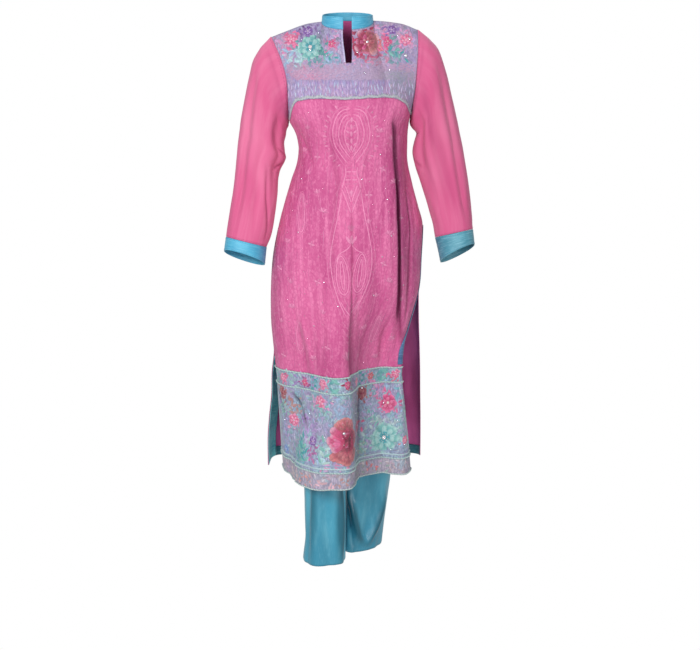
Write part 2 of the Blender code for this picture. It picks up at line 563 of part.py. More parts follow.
def over(panel, lift, low_s, high_s, high_t, low_t):
    """A strip that lies on the panel, lifted along its normal."""
    def place(u, v):
        t = high_t + (low_t - high_t) * v
        a = low_s(t) if callable(low_s) else low_s
        b = high_s(t) if callable(high_s) else high_s
        s = a + (b - a) * u
        return panel.at(s, t) + lift * panel.out(s, t)
    return place


panel_rows = np.concatenate([[0.0, 0.05], (np.array([0.262, 0.30, 0.345, 0.39, 0.435, 0.48, 0.53, 0.58, 0.63, 0.675, 0.715, 0.76]) - 0.19) / (BORDER_TOP - 0.19), [1.0]])
cloth("kameez_front_panel", even, panel_rows, between(front, lambda s: yoke_edge(s) + GAP, BORDER_TOP - GAP / 2), PINK)
cloth("kameez_front_band", even, np.array([0.0, 1.0]), between(front, BORDER_TOP + GAP / 2, BAND_LOW - GAP / 2), LILAC)
cloth("kameez_front_border", even, np.linspace(0, 1, 6), between(front, BAND_LOW + GAP / 2, BORDER_LOW - GAP / 2), GREY_BLUE)
cloth("kameez_front_hem_band", even, np.array([0.0, 1.0]), between(front, BORDER_LOW + GAP / 2, HEM), LILAC)

LIFT = 0.0020                      # a laid-on strip, from mid wall to mid wall
for name, t in (("kameez_cord_upper", BORDER_TOP), ("kameez_cord_middle", BAND_LOW), ("kameez_cord_lower", BORDER_LOW)):
    cloth(name, even, np.array([0.0, 1.0]), over(front, LIFT + 0.0003, 0.0, 1.0, t - 0.0019, t + 0.0019), MINT, thick=0.0010)
cloth("kameez_front_slit_facing", np.array([0.0, 1.0]), np.linspace(0, 1, 12),
      over(front, LIFT, lambda t: 1 - 0.018 / front.width(t), 0.9990, SLIT_TOP + 0.004, 0.800), AQUA, thick=0.0010)
cloth("kameez_neck_slit_piping", np.array([0.0, 1.0]), np.linspace(0, 1, 5),
      over(front, 0.0021, lambda t: slit_edge(front, t, -1) - 0.0036 / front.width(t), lambda t: slit_edge(front, t, -1) - 0.0004 / front.width(t), 0.003, NECK_SLIT - 0.001), LILAC, thick=0.0010)

back_even = np.linspace(EDGE, 1 - EDGE, 19)
back_rows = np.concatenate([[TOP, 0.035, 0.075, 0.12, 0.165, 0.200, UNDERARM, 0.25, 0.285, 0.33, 0.385, 0.44, 0.50, 0.58], np.linspace(0.67, BACK_HEM, 6)]) / BACK_HEM
cloth("kameez_back_panel", back_even, back_rows, lambda u, v: back.at(u, v * BACK_HEM), PINK)
first, second = back_even[1:3]
cloth("kameez_back_slit_facing", np.array([0.0, (first - EDGE) / (second - 0.0010 - EDGE), 1.0]),
      (np.concatenate([[0.60], back_rows[-6:] * BACK_HEM - 0.0008]) - 0.60) / (BACK_HEM - 0.0008 - 0.60),
      over(back, -LIFT, EDGE, second - 0.0010, 0.60, BACK_HEM - 0.0008), AQUA, thick=0.0010)
cloth("kameez_back_hem_facing", (back_even[2:] - second) / (1 - EDGE - second), np.array([0.0, 1.0]),
      over(back, -LIFT, second + 0.0010, 1 - EDGE, BACK_HEM - 0.0260, BACK_HEM - 0.0008), AQUA, thick=0.0010)

# sleeves and cuffs
around = np.linspace(0, 1, 15)
down_sleeve = np.array([0.0, 0.030, 0.070, 0.115, 0.165, 0.215, 0.270, 0.325, 0.378, 0.430, 0.476, 0.501])
for side, rows in (("left", CUFF_L), ("right", CUFF_R)):
    cloth("kameez_sleeve_" + side, around, down_sleeve, lambda u, v, side=side: sleeve(side, u, v), CHIFFON, loop=True)
    cloth("kameez_cuff_" + side, around, np.array([0.0, 0.018, 0.036]), lambda u, v, rows=rows: tube(rows, u, v), AQUA, loop=True)

# stand collar, open at the centre front and highest there
COLLAR_OPEN = 0.0100               # half of its opening


def collar(u, v):
    a0 = np.arcsin(COLLAR_OPEN / NECK_X)
    a = a0 + u * (2 * pi - 2 * a0)               # 0 at centre front, pi at centre back
    ahead = np.cos(a) > 0
    lean = 1.0 - 0.030 * v
    x = NECK_MID - NECK_X * 0.992 * lean * np.sin(a)
    shoulder_y = column(SHOULDER, "y", -NECK_X)
    reach = np.where(ahead, NECK_FRONT, NECK_BACK)
    y = shoulder_y * (1 - np.abs(np.cos(a))) + reach * 0.992 * lean * np.abs(np.cos(a))
    side = (1 + np.sin(-a)) / 2
    z0 = column(SHOULDER, "z", -NECK_X) * (1 - side) + column(SHOULDER, "z", NECK_X) * side
    low = np.where(ahead, -0.0135, 0.0130)
    foot = z0 + (low - z0) * np.abs(np.cos(a))**0.8 + 0.0002
    rim = 0.0155 + 0.127 * (y + 0.0493) + 0.060 * np.maximum(y - 0.004, 0.0)
    return np.stack([x, y, foot + (rim - foot) * v], -1)


cloth("kameez_collar", np.linspace(0, 1, 21), np.array([0.0, 1.0]), collar, AQUA)

# salwar: two legs joined along the centre seam, and an elasticated waistband
leg_z = np.array([-0.4200, -0.480, -0.545, -0.600, -0.645, -0.680, -0.700, -0.7145, -0.790, -0.880, -0.980, -1.090, -1.190, -1.285])
for side in ("left", "right"):
    cloth("salwar_leg_" + side, np.linspace(0, 1, 15), leg_z, lambda u, v, side=side: leg(side, u, v), TEAL, 0.4, loop=True)


def waistband(u, v):
    a = 2 * pi * u
    n = 2 / 2.2
    e = np.sign(np.cos(a)) * np.abs(np.cos(a))**n
    f = np.sign(np.sin(a)) * np.abs(np.sin(a))**n
    x = 0.0075 - 0.1255 * e
    y = -np.where(f > 0, 0.082, 0.066) * f
    return np.stack([x, y, -0.3840 - 0.0350 * v], -1)


cloth("salwar_waistband", np.linspace(0, 1, 25), np.array([0.0, 1.0]), waistband, TEAL, 0.5, thick=0.0024, loop=True)
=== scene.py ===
"""The looks of a salwar kameez suit: a long pink kameez with a worked yoke and border,
aqua collar, cuffs and facings, over an aqua satin salwar.

Every cloth piece is the same surface as its solid in the frame, cut much finer, with
its smaller creases added; embroidery, braid, stones and stitches lie on those surfaces.
"""

import bpy
import numpy as np
from math import pi, radians
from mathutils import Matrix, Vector


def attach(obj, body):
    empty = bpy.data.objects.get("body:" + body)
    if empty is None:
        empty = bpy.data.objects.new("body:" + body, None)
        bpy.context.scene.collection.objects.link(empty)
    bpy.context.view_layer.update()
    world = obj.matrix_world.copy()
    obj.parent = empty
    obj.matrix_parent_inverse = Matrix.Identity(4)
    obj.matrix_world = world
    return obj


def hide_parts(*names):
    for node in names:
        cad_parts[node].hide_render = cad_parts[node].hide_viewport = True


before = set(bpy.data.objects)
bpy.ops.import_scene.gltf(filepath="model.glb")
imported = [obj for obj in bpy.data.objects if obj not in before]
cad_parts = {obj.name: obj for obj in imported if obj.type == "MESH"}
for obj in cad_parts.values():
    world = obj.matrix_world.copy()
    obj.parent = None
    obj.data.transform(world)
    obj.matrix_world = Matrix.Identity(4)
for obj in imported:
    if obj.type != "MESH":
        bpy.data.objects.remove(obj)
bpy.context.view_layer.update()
FINE = 1.0

# ---------------------------------------------------------------- sizes (m)
CLOTH = 0.0015          # wall of every cloth piece
GAP = 0.0003            # clear space left at a seam
UNDERARM = 0.223        # depth of the underarm below the neck point
SLIT_TOP = 0.462        # where the side seams open into slits
BORDER_TOP = 0.808      # worked border of the front starts here
BAND_LOW = 0.846        # narrow band ends, main flowered border starts
BORDER_LOW = 1.034      # main border ends, hem band starts
HEM = 1.075             # front hem
BACK_HEM = 1.085        # back hem
NECK_X = 0.0600         # half width of the neck hole
NECK_FRONT = -0.0520    # y of the neck hole at centre front
NECK_BACK = 0.0560      # y of the neck hole at centre back
NECK_MID = 0.0015       # x of the centre front line

# ------------------------------------------------------- tables, by depth t
# widths at the side seams, and how far the cloth stands forward at centre
FRONT = (("t", "left", "right", "left_y", "right_y", "front_y", "power"),
         (0.223, -0.1340, 0.1450, 0.010, 0.012, -0.118, 2.35),
         (0.245, -0.1215, 0.1425, 0.011, 0.013, -0.116, 2.35),
         (0.275, -0.1140, 0.1420, 0.012, 0.014, -0.109, 2.35),
         (0.310, -0.1160, 0.1425, 0.012, 0.014, -0.104, 2.35),
         (0.363, -0.1330, 0.1535, 0.012, 0.014, -0.104, 2.35),
         (0.420, -0.1500, 0.1690, 0.012, 0.014, -0.107, 2.35),
         (0.462, -0.1610, 0.1800, 0.012, 0.014, -0.110, 2.35),
         (0.480, -0.1652, 0.1800, 0.012, 0.014, -0.111, 2.35),
         (0.535, -0.1760, 0.1770, 0.012, 0.004, -0.112, 2.35),
         (0.612, -0.1820, 0.1725, 0.010, 0.002, -0.112, 2.30),
         (0.665, -0.1830, 0.1610, 0.008, 0.000, -0.109, 2.25),
         (0.705, -0.1820, 0.1490, 0.007, -0.010, -0.105, 2.25),
         (0.745, -0.1785, 0.1375, 0.006, -0.016, -0.101, 2.20),
         (0.815, -0.1720, 0.1325, 0.008, -0.010, -0.094, 2.10),
         (0.900, -0.1680, 0.1400, 0.024, 0.008, -0.098, 2.00),
         (1.000, -0.1640, 0.1510, 0.048, 0.018, -0.106, 2.00),
         (1.090, -0.1600, 0.1590, 0.066, 0.028, -0.114, 2.00))
BACK = (("t", "left", "right", "left_y", "right_y", "back_y", "power"),
        (0.223, -0.1340, 0.1450, 0.010, 0.012, 0.100, 2.50),
        (0.245, -0.1215, 0.1425, 0.011, 0.013, 0.096, 2.50),
        (0.275, -0.1140, 0.1420, 0.012, 0.014, 0.090, 2.50),
        (0.310, -0.1160, 0.1425, 0.012, 0.014, 0.086, 2.50),
        (0.363, -0.1330, 0.1535, 0.012, 0.014, 0.086, 2.50),
        (0.420, -0.1500, 0.1690, 0.012, 0.014, 0.096, 2.50),
        (0.462, -0.1610, 0.1800, 0.012, 0.014, 0.106, 2.50),
        (0.535, -0.1760, 0.1790, 0.016, 0.026, 0.119, 2.50),
        (0.612, -0.1820, 0.1755, 0.024, 0.050, 0.128, 2.50),
        (0.700, -0.1815, 0.1770, 0.037, 0.072, 0.136, 2.50),
        (0.785, -0.1800, 0.1810, 0.049, 0.090, 0.144, 2.50),
        (0.835, -0.1858, 0.1830, 0.056, 0.098, 0.148, 2.50),
        (0.900, -0.1885, 0.1845, 0.064, 0.108, 0.154, 2.50),
        (0.950, -0.1945, 0.1860, 0.070, 0.115, 0.158, 2.50),
        (1.000, -0.1990, 0.1870, 0.076, 0.122, 0.162, 2.50),
        (1.090, -0.2005, 0.1880, 0.087, 0.134, 0.170, 2.50))
# armhole seams, from the shoulder tip down to the underarm
ARMHOLE = (("v", "left", "left_z", "right", "right_z", "front_y", "back_y"),
           (0.00, -0.1760, -0.028, 0.1650, -0.012, 0.004, 0.006),
           (0.10, -0.1660, -0.047, 0.1650, -0.034, -0.016, 0.026),
           (0.25, -0.1530, -0.076, 0.1640, -0.066, -0.030, 0.042),
           (0.45, -0.1410, -0.113, 0.1610, -0.108, -0.039, 0.050),
           (0.65, -0.1355, -0.151, 0.1570, -0.150, -0.039, 0.050),
           (0.82, -0.1340, -0.186, 0.1510, -0.187, -0.028, 0.040),
           (0.94, -0.1335, -0.212, 0.1470, -0.212, -0.008, 0.024),
           (1.00, -0.1340, -0.223, 0.1450, -0.223, 0.010, 0.012))
# shoulder seams out to the sleeve heads
SHOULDER = (("x", "z", "y"),
            (-0.1760, -0.0280, 0.005),
            (-0.1340, -0.0120, 0.004),
            (-0.0950, 0.0015, 0.003),
            (-0.0600, 0.0070, 0.003),
            (0.0600, 0.0095, 0.003),
            (0.1020, 0.0060, 0.003),
            (0.1300, 0.0015, 0.004),
            (0.1650, -0.0120, 0.005))
# hanging folds of the front: a trough where depth is positive, a ridge where
# it is negative; x drifts from x_high to x_low on its way down
FRONT_FOLDS = (("x_high", "x_low", "t_start", "t_full", "t_fade", "t_end", "half_width", "depth"),
               (0.110, 0.121, 0.27, 0.44, 0.72, 0.80, 0.0085, 0.0120),
               (0.142, 0.150, 0.42, 0.52, 0.62, 0.70, 0.0065, 0.0050),
               (-0.108, -0.131, 0.80, 0.92, 1.04, 1.20, 0.0120, 0.0120),
               (-0.060, -0.078, 0.40, 0.60, 0.74, 0.84, 0.0200, 0.0040),
               (0.070, 0.078, 0.38, 0.56, 0.66, 0.80, 0.0180, 0.0040),
               (0.092, 0.104, 0.84, 1.00, 2.0, 3.0, 0.0160, -0.0100))
BACK_FOLDS = (("x_high", "x_low", "t_start", "t_full", "t_fade", "t_end", "half_width", "depth"),
              (-0.060, -0.092, 0.30, 0.80, 2.0, 3.0, 0.0240, -0.0160),
              (0.010, 0.004, 0.40, 0.95, 2.0, 3.0, 0.0260, -0.0150),
              (0.066, 0.100, 0.33, 0.85, 2.0, 3.0, 0.0240, -0.0140),
              (-0.100, -0.140, 0.50, 0.95, 2.0, 3.0, 0.0180, 0.0090))
LOBE = (("t", "ridge", "recess", "step"),      # cloth over the forward knee, and beside it
        (0.420, 0.000, 0.000, 0.000),
        (0.560, 0.008, 0.002, 0.000),
        (0.665, 0.030, 0.018, 0.000),
        (0.740, 0.050, 0.042, 0.000),
        (0.815, 0.053, 0.058, 0.000),
        (0.940, 0.051, 0.068, 0.006),
        (1.010, 0.049, 0.074, 0.030),
        (1.090, 0.046, 0.080, 0.052))


def smooth(a, b, x):
    u = np.clip((x - a) / (b - a), 0.0, 1.0)
    return u * u * (3.0 - 2.0 * u)


def column(table, name, at):
    """One named column of a table, read at `at` on a smooth curve through its rows."""
    rows = np.array(table[1:], float)
    key, val = rows[:, 0], rows[:, table[0].index(name)]
    slope = np.gradient(val, key)
    at = np.asarray(at, float)
    i = np.clip(np.searchsorted(key, at) - 1, 0, len(key) - 2)
    h = key[i + 1] - key[i]
    u = np.clip((at - key[i]) / h, 0.0, 1.0)
    return ((2 * u**3 - 3 * u**2 + 1) * val[i] + (u**3 - 2 * u**2 + u) * h * slope[i]
            + (-2 * u**3 + 3 * u**2) * val[i + 1] + (u**3 - u**2) * h * slope[i + 1])


def folds(table, x, t):
    total = 0.0 * x
    for row in table[1:]:
        f = dict(zip(table[0], row))
        run = smooth(f["t_start"], f["t_full"], t) * (1.0 - smooth(f["t_fade"], f["t_end"], t))
        centre = f["x_high"] + (f["x_low"] - f["x_high"]) * np.clip((t - f["t_start"]) / (min(f["t_end"], HEM) - f["t_start"]), 0, 1)
        total = total + f["depth"] * run * np.exp(-((x - centre) / f["half_width"])**2)
    return total


def by_length(points, count):
    """Points spread evenly by length along a polyline (rows, points, 3)."""
    step = np.linalg.norm(np.diff(points, axis=1), axis=2)
    run = np.concatenate([np.zeros((points.shape[0], 1)), np.cumsum(step, axis=1)], axis=1)
    out = np.empty((points.shape[0], count, 3))
    for r in range(points.shape[0]):
        at = np.linspace(0.0, run[r, -1], count)
        for k in range(3):
            out[r, :, k] = np.interp(at, run[r], points[r, :, k])
    return out


def rings(side, t, count):
    """Level rows of the front or back below the underarm, spread evenly by length."""
    table = FRONT if side == "front" else BACK
    t = np.atleast_1d(np.asarray(t, float))[:, None]
    q = np.linspace(-pi / 2, pi / 2, 721)[None, :]
    left, right = column(table, "left", t), column(table, "right", t)
    n = column(table, "power", t)
    e = np.sign(np.sin(q)) * np.abs(np.sin(q))**(2 / n)
    c = np.abs(np.cos(q))**(2 / n)
    x = (left + right) / 2 + (right - left) / 2 * e
    side_y = column(table, "left_y", t) * (1 - e) / 2 + column(table, "right_y", t) * (1 + e) / 2
    if side == "front":
        y = side_y + (column(table, "front_y", t) - side_y) * c
        calm = smooth(0.0, 0.35, c)
        y = y - column(LOBE, "ridge", t) * np.exp(-((x + 0.018) / 0.056)**2) * calm
        y = y + column(LOBE, "recess", t) * smooth(0.008, 0.029, x) * (1 - smooth(0.085, 0.150, x)) * calm
        y = y - column(LOBE, "step", t) * smooth(-0.139, -0.123, x) * (1 - smooth(-0.085, -0.020, x))
        y = y + folds(FRONT_FOLDS, x, t) * calm
    else:
        y = side_y + (column(table, "back_y", t) - side_y) * c
        y = y - folds(BACK_FOLDS, x, t) * smooth(0.0, 0.35, c)
    pts = np.stack([x, y, -t + 0 * x], axis=2)
    return by_length(pts, count)


def top_edge(side, count):
    """Shoulder seam, neckline, shoulder seam, spread evenly by length."""
    xl, xr = SHOULDER[1][0], SHOULDER[-1][0]
    x1 = np.linspace(xl, -NECK_X + NECK_MID, 60)
    x2 = np.linspace(NECK_X + NECK_MID, xr, 60)
    a = np.linspace(-pi / 2, pi / 2, 121)[1:-1]
    reach = NECK_FRONT if side == "front" else NECK_BACK
    low = -0.0135 if side == "front" else 0.0130
    xm = NECK_MID + NECK_X * np.sin(a)
    ym = column(SHOULDER, "y", xm) * (1 - np.cos(a)) + reach * np.cos(a)
    zs = column(SHOULDER, "z", np.where(xm < 0, -NECK_X, NECK_X))
    zs = column(SHOULDER, "z", -NECK_X) * (1 - (np.sin(a) + 1) / 2) + column(SHOULDER, "z", NECK_X) * (np.sin(a) + 1) / 2
    zm = zs + (low - zs) * np.cos(a)**0.8
    rows = [np.stack([x, column(SHOULDER, "y", x), column(SHOULDER, "z", x)], 1) for x in (x1, x2)]
    line = np.concatenate([rows[0], np.stack([xm, ym, zm], 1), rows[1]])
    return by_length(line[None], count)[0]


def armhole(side, which, v):
    return np.stack([column(ARMHOLE, which, v), column(ARMHOLE, side + "_y", v), column(ARMHOLE, which + "_z", v)], -1)


def swing(s, t):
    """How far the back's lower edge is drawn up by its swing, away from its left tip."""
    return 0.013 * smooth(0.0, 0.13, s) * smooth(0.93, 1.085, t)


class Panel:
    """The front or the back as one cloth: s runs 0..1 from the left side seam to the
    right one, t is the depth below the neck (0 at the shoulder and neck edge)."""

    def __init__(self, side, columns=241, upper=60, lower=260, end=1.09):
        self.side, self.end = side, end
        s = np.linspace(0, 1, columns)
        v = np.linspace(0, 1, upper)
        top = top_edge(side, columns)
        tl = np.linspace(UNDERARM, end, lower)
        low = rings(side, tl, columns)
        base = low[0]
        sign = -1.0 if side == "front" else 1.0
        # a column of cloth leaves the shoulder sloping outward and meets the chest upright
        inner = np.exp(-((top[:, 0] - NECK_MID) / 0.062)**4)
        t0 = np.stack([0 * s, sign * (0.150 - 0.085 * inner), -0.150 - 0.050 * inner], 1)
        rise = (low[3] - low[0]) / (tl[3] - tl[0]) * UNDERARM
        t1 = np.stack([0.5 * rise[:, 0], rise[:, 1], -0.22 + 0 * s], 1)
        V = v[:, None, None]
        up = ((2 * V**3 - 3 * V**2 + 1) * top + (V**3 - 2 * V**2 + V) * t0
              + (-2 * V**3 + 3 * V**2) * base + (V**3 - V**2) * t1)
        for which, edge, w in (("left", 0, np.clip(1 - s / 0.30, 0, 1)**2), ("right", -1, np.clip(1 - (1 - s) / 0.30, 0, 1)**2)):
            miss = armhole(side, which, v) - up[:, edge]
            up = up + miss[:, None, :] * w[None, :, None]
        self.t = np.concatenate([v[:-1] * UNDERARM, tl])
        self.grid = np.concatenate([up[:-1], low])
        self.columns = columns
        evenly = np.linspace(0, 1, columns)
        self.mid = np.array([np.interp(NECK_MID, row[:, 0], evenly) for row in self.grid])
        self.length = np.linalg.norm(np.diff(self.grid, axis=1), axis=2).sum(1)

    def middle(self, t):
        """s of the centre line at depth t."""
        return np.interp(t, self.t, self.mid)

    def width(self, t):
        """Width of the cloth at depth t, measured along it."""
        return np.interp(t, self.t, self.length)

    def at(self, s, t):
        s, t = np.broadcast_arrays(np.asarray(s, float), np.asarray(t, float))
        if self.side == "back":
            t = t - swing(s, t)
        i = np.clip(np.searchsorted(self.t, t, side="right") - 1, 0, len(self.t) - 2)
        u = ((t - self.t[i]) / (self.t[i + 1] - self.t[i]))[..., None]
        f = np.clip(s, 0, 1) * (self.columns - 1)
        j = np.clip(f.astype(int), 0, self.columns - 2)
        w = (f - j)[..., None]
        g = self.grid
        return ((g[i, j] * (1 - w) + g[i, j + 1] * w) * (1 - u) + (g[i + 1, j] * (1 - w) + g[i + 1, j + 1] * w) * u)

    def out(self, s, t):
        """Unit normal, pointing out of the garment."""
        e = 0.004
        ds = self.at(np.clip(np.asarray(s) + e, 0, 1), t) - self.at(np.clip(np.asarray(s) - e, 0, 1), t)
        dt = self.at(s, np.clip(np.asarray(t) + 0.002, 0, self.end)) - self.at(s, np.clip(np.asarray(t) - 0.002, 0, self.end))
        n = np.cross(dt, ds) if self.side == "front" else np.cross(ds, dt)
        return n / np.maximum(np.linalg.norm(n, axis=-1, keepdims=True), 1e-9)


# ------------------------------------------------------------------ sleeves
# each row: the outer and the inner point of one section across the sleeve,
# how far its middle is forward (-) and half its depth
SLEEVE_L = (("run", "out_x", "out_z", "in_x", "in_z", "mid_y", "half_y"),
            (0.030, -0.1990, -0.0500, -0.1385, -0.2310, 0.006, 0.055),
            (0.070, -0.2170, -0.0800, -0.1430, -0.2400, 0.006, 0.061),
            (0.115, -0.2285, -0.1200, -0.1450, -0.2540, 0.007, 0.063),
            (0.165, -0.2390, -0.1660, -0.1480, -0.2710, 0.008, 0.063),
            (0.215, -0.2480, -0.2150, -0.1465, -0.2930, 0.008, 0.062),
            (0.245, -0.2520, -0.2430, -0.1445, -0.3100, 0.007, 0.061),
            (0.270, -0.2555, -0.2660, -0.1550, -0.3280, 0.005, 0.060),
            (0.325, -0.2615, -0.3200, -0.1625, -0.3560, -0.003, 0.058),
            (0.378, -0.2670, -0.3700, -0.1640, -0.3950, -0.014, 0.056),
            (0.430, -0.2740, -0.4200, -0.1710, -0.4400, -0.028, 0.053),
            (0.476, -0.2800, -0.4630, -0.1800, -0.4850, -0.042, 0.050),
            (0.501, -0.2830, -0.4880, -0.1900, -0.5120, -0.050, 0.048))
SLEEVE_R = (("run", "out_x", "out_z", "in_x", "in_z", "mid_y", "half_y"),
            (0.030, 0.1900, -0.0300, 0.1500, -0.2300, 0.006, 0.055),
            (0.070, 0.2130, -0.0560, 0.1550, -0.2380, 0.006, 0.061),
            (0.115, 0.2290, -0.0990, 0.1640, -0.2500, 0.007, 0.063),
            (0.165, 0.2430, -0.1500, 0.1605, -0.2700, 0.008, 0.063),
            (0.215, 0.2555, -0.2030, 0.1575, -0.2930, 0.008, 0.062),
            (0.270, 0.2665, -0.2560, 0.1610, -0.3200, 0.005, 0.060),
            (0.325, 0.2765, -0.3120, 0.1720, -0.3560, -0.003, 0.058),
            (0.378, 0.2850, -0.3640, 0.1845, -0.3960, -0.014, 0.056),
            (0.430, 0.2910, -0.4140, 0.1960, -0.4360, -0.028, 0.053),
            (0.476, 0.2945, -0.4510, 0.2050, -0.4680, -0.042, 0.050),
            (0.501, 0.2945, -0.4700, 0.2080, -0.4890, -0.050, 0.048))
CUFF_L = (("run", "out_x", "out_z", "in_x", "in_z", "mid_y", "half_y"),
          (0.000, -0.2835, -0.4885, -0.1895, -0.5125, -0.0502, 0.0485),
          (0.018, -0.2855, -0.5050, -0.1915, -0.5320, -0.0550, 0.0480),
          (0.036, -0.2875, -0.5215, -0.1935, -0.5510, -0.0600, 0.0475))
CUFF_R = (("run", "out_x", "out_z", "in_x", "in_z", "mid_y", "half_y"),
          (0.000, 0.2950, -0.4705, 0.2078, -0.4895, -0.0502, 0.0485),
          (0.018, 0.2970, -0.4890, 0.2145, -0.5170, -0.0550, 0.0480),
          (0.036, 0.2985, -0.5070, 0.2205, -0.5450, -0.0600, 0.0475))
SLEEVE_FOLDS = (("turn_high", "turn_low", "run_start", "run_full", "run_fade", "run_end", "half_turn", "depth"),
                (0.13, 0.16, 0.02, 0.16, 0.40, 0.50, 0.030, 0.0060),
                (0.24, 0.28, 0.04, 0.20, 0.42, 0.50, 0.035, 0.0060),
                (0.36, 0.40, 0.02, 0.10, 0.24, 0.40, 0.035, 0.0070),
                (0.64, 0.60, 0.02, 0.14, 0.30, 0.46, 0.035, 0.0060),
                (0.78, 0.74, 0.05, 0.20, 0.38, 0.50, 0.035, 0.0060))


def tube(rows, turn, run, fold=None):
    """Point of a sleeve: turn 0 is its outer edge, 0.25 its front, 0.5 the inner edge.
    Towards the hand a section tilts, so its front edge stands higher than its back."""
    turn, run = np.broadcast_arrays(np.asarray(turn, float), np.asarray(run, float))
    ox, oz = column(rows, "out_x", run), column(rows, "out_z", run)
    ix, iz = column(rows, "in_x", run), column(rows, "in_z", run)
    a = 2 * pi * turn
    ca, sa = np.cos(a), np.sin(a)
    e = np.sign(ca) * np.abs(ca)**0.92
    f = np.sign(sa) * np.abs(sa)**0.92
    x = (ox + ix) / 2 + (ox - ix) / 2 * e
    y = column(rows, "mid_y", run) - f * column(rows, "half_y", run)
    tilt = 0.12 * smooth(0.30, 0.501, run) if fold else 0.12 + 0.20 * run / 0.036
    z = (oz + iz) / 2 + (oz - iz) / 2 * e + tilt * f * column(rows, "half_y", run)
    if fold:
        push = 0 * run
        for row in fold[1:]:
            r = dict(zip(fold[0], row))
            mid = r["turn_high"] + (r["turn_low"] - r["turn_high"]) * np.clip((run - r["run_start"]) / (r["run_end"] - r["run_start"]), 0, 1)
            on = smooth(r["run_start"], r["run_full"], run) * (1 - smooth(r["run_fade"], r["run_end"], run))
            push = push + r["depth"] * on * np.exp(-((turn - mid) / r["half_turn"])**2)
        y = y + push * f
        x = x - push * e * np.sign(ox)
    return np.stack([x, y, z], -1)


def armhole_loop(side, turn):
    """The seam the sleeve is set into, turn 0 at the shoulder, 0.25 at the front."""
    turn = np.asarray(turn, float)
    v = (1 - np.cos(2 * pi * turn)) / 2
    front = armhole("front", side, v)
    back = armhole("back", side, v)
    return np.where((turn <= 0.5)[..., None], front, back)


def sleeve(side, turn, run):
    turn, run = np.broadcast_arrays(np.asarray(turn, float), np.asarray(run, float))
    rows = SLEEVE_L if side == "left" else SLEEVE_R
    body = tube(rows, turn, np.maximum(run, 0.030), SLEEVE_FOLDS)
    seam = armhole_loop(side, turn)
    m = -1.0 if side == "left" else 1.0
    off = 0.0012 + 0.0024 * np.sin(pi * turn)**4
    seam = seam + np.stack([m * off, 0 * off, -0.35 * off * np.sin(pi * turn)**2], -1)
    u = np.clip(run / 0.030, 0, 1)[..., None]
    return seam * (1 - u) + body * u


# ------------------------------------------------------------------- salwar
LEG_L = (("z", "mid_x", "out_x", "mid_y", "front_y", "back_y"),
         (-0.420, 0.0070, -0.1180, 0.000, -0.082, 0.066),
         (-0.480, 0.0070, -0.1370, 0.002, -0.088, 0.080),
         (-0.545, 0.0060, -0.1540, 0.004, -0.090, 0.096),
         (-0.600, -0.0080, -0.1590, 0.005, -0.090, 0.102),
         (-0.650, -0.0360, -0.1570, 0.004, -0.086, 0.098),
         (-0.690, -0.0620, -0.1520, 0.002, -0.080, 0.088),
         (-0.715, -0.0740, -0.1480, 0.000, -0.077, 0.080),
         (-0.780, -0.0720, -0.1380, -0.004, -0.074, 0.070),
         (-0.880, -0.0670, -0.1270, -0.014, -0.077, 0.062),
         (-1.000, -0.0600, -0.1120, -0.022, -0.089, 0.056),
         (-1.120, -0.0560, -0.1080, -0.027, -0.096, 0.050),
         (-1.210, -0.0560, -0.1080, -0.030, -0.099, 0.044),
         (-1.285, -0.0570, -0.1095, -0.031, -0.101, 0.040))
LEG_R = (("z", "mid_x", "out_x", "mid_y", "front_y", "back_y"),
         (-0.420, 0.0070, 0.1330, 0.000, -0.082, 0.066),
         (-0.480, 0.0070, 0.1510, 0.002, -0.088, 0.080),
         (-0.545, 0.0080, 0.1580, 0.006, -0.088, 0.096),
         (-0.600, 0.0220, 0.1590, 0.010, -0.078, 0.104),
         (-0.650, 0.0480, 0.1530, 0.016, -0.066, 0.106),
         (-0.690, 0.0720, 0.1480, 0.022, -0.052, 0.106),
         (-0.715, 0.0800, 0.1450, 0.028, -0.037, 0.108),
         (-0.780, 0.0790, 0.1380, 0.042, -0.012, 0.112),
         (-0.880, 0.0740, 0.1310, 0.054, 0.001, 0.118),
         (-1.000, 0.0640, 0.1210, 0.060, 0.000, 0.122),
         (-1.120, 0.0530, 0.1080, 0.063, -0.003, 0.126),
         (-1.210, 0.0460, 0.0965, 0.065, 0.000, 0.128),
         (-1.285, 0.0405, 0.0885, 0.066, 0.002, 0.130))
RISE = (("d", "front_y", "back_y"),     # the centre seam, front and back, down to the crotch
        (0.420, -0.082, 0.066),
        (0.480, -0.088, 0.080),
        (0.545, -0.089, 0.095),
        (0.600, -0.083, 0.099),
        (0.645, -0.064, 0.090),
        (0.680, -0.033, 0.066),
        (0.700, -0.006, 0.038),
        (0.7145, 0.0145, 0.0165))
TWIST_R = (("d", "twist"), (0.780, 0.00), (0.900, 0.10), (1.100, 0.45), (1.285, 0.62))
SEAM_X = 0.0070
LEG_FOLDS_L = (("x_high", "x_low", "z_start", "z_full", "z_fade", "z_end", "half_width", "depth"),
               (0.40, 0.52, 0.98, 1.06, 1.22, 1.30, 0.10, 0.0120),
               (0.24, 0.20, 0.90, 1.05, 1.25, 1.40, 0.09, 0.0060),
               (0.66, 0.60, 0.80, 1.00, 1.20, 1.40, 0.08, 0.0070))
LEG_FOLDS_R = (("x_high", "x_low", "z_start", "z_full", "z_fade", "z_end", "half_width", "depth"),
               (0.34, 0.30, 0.90, 1.10, 1.24, 1.32, 0.08, 0.0080),
               (0.16, 0.22, 0.90, 1.05, 1.25, 1.40, 0.07, 0.0060),
               (0.66, 0.62, 0.80, 1.00, 1.20, 1.40, 0.08, 0.0070))


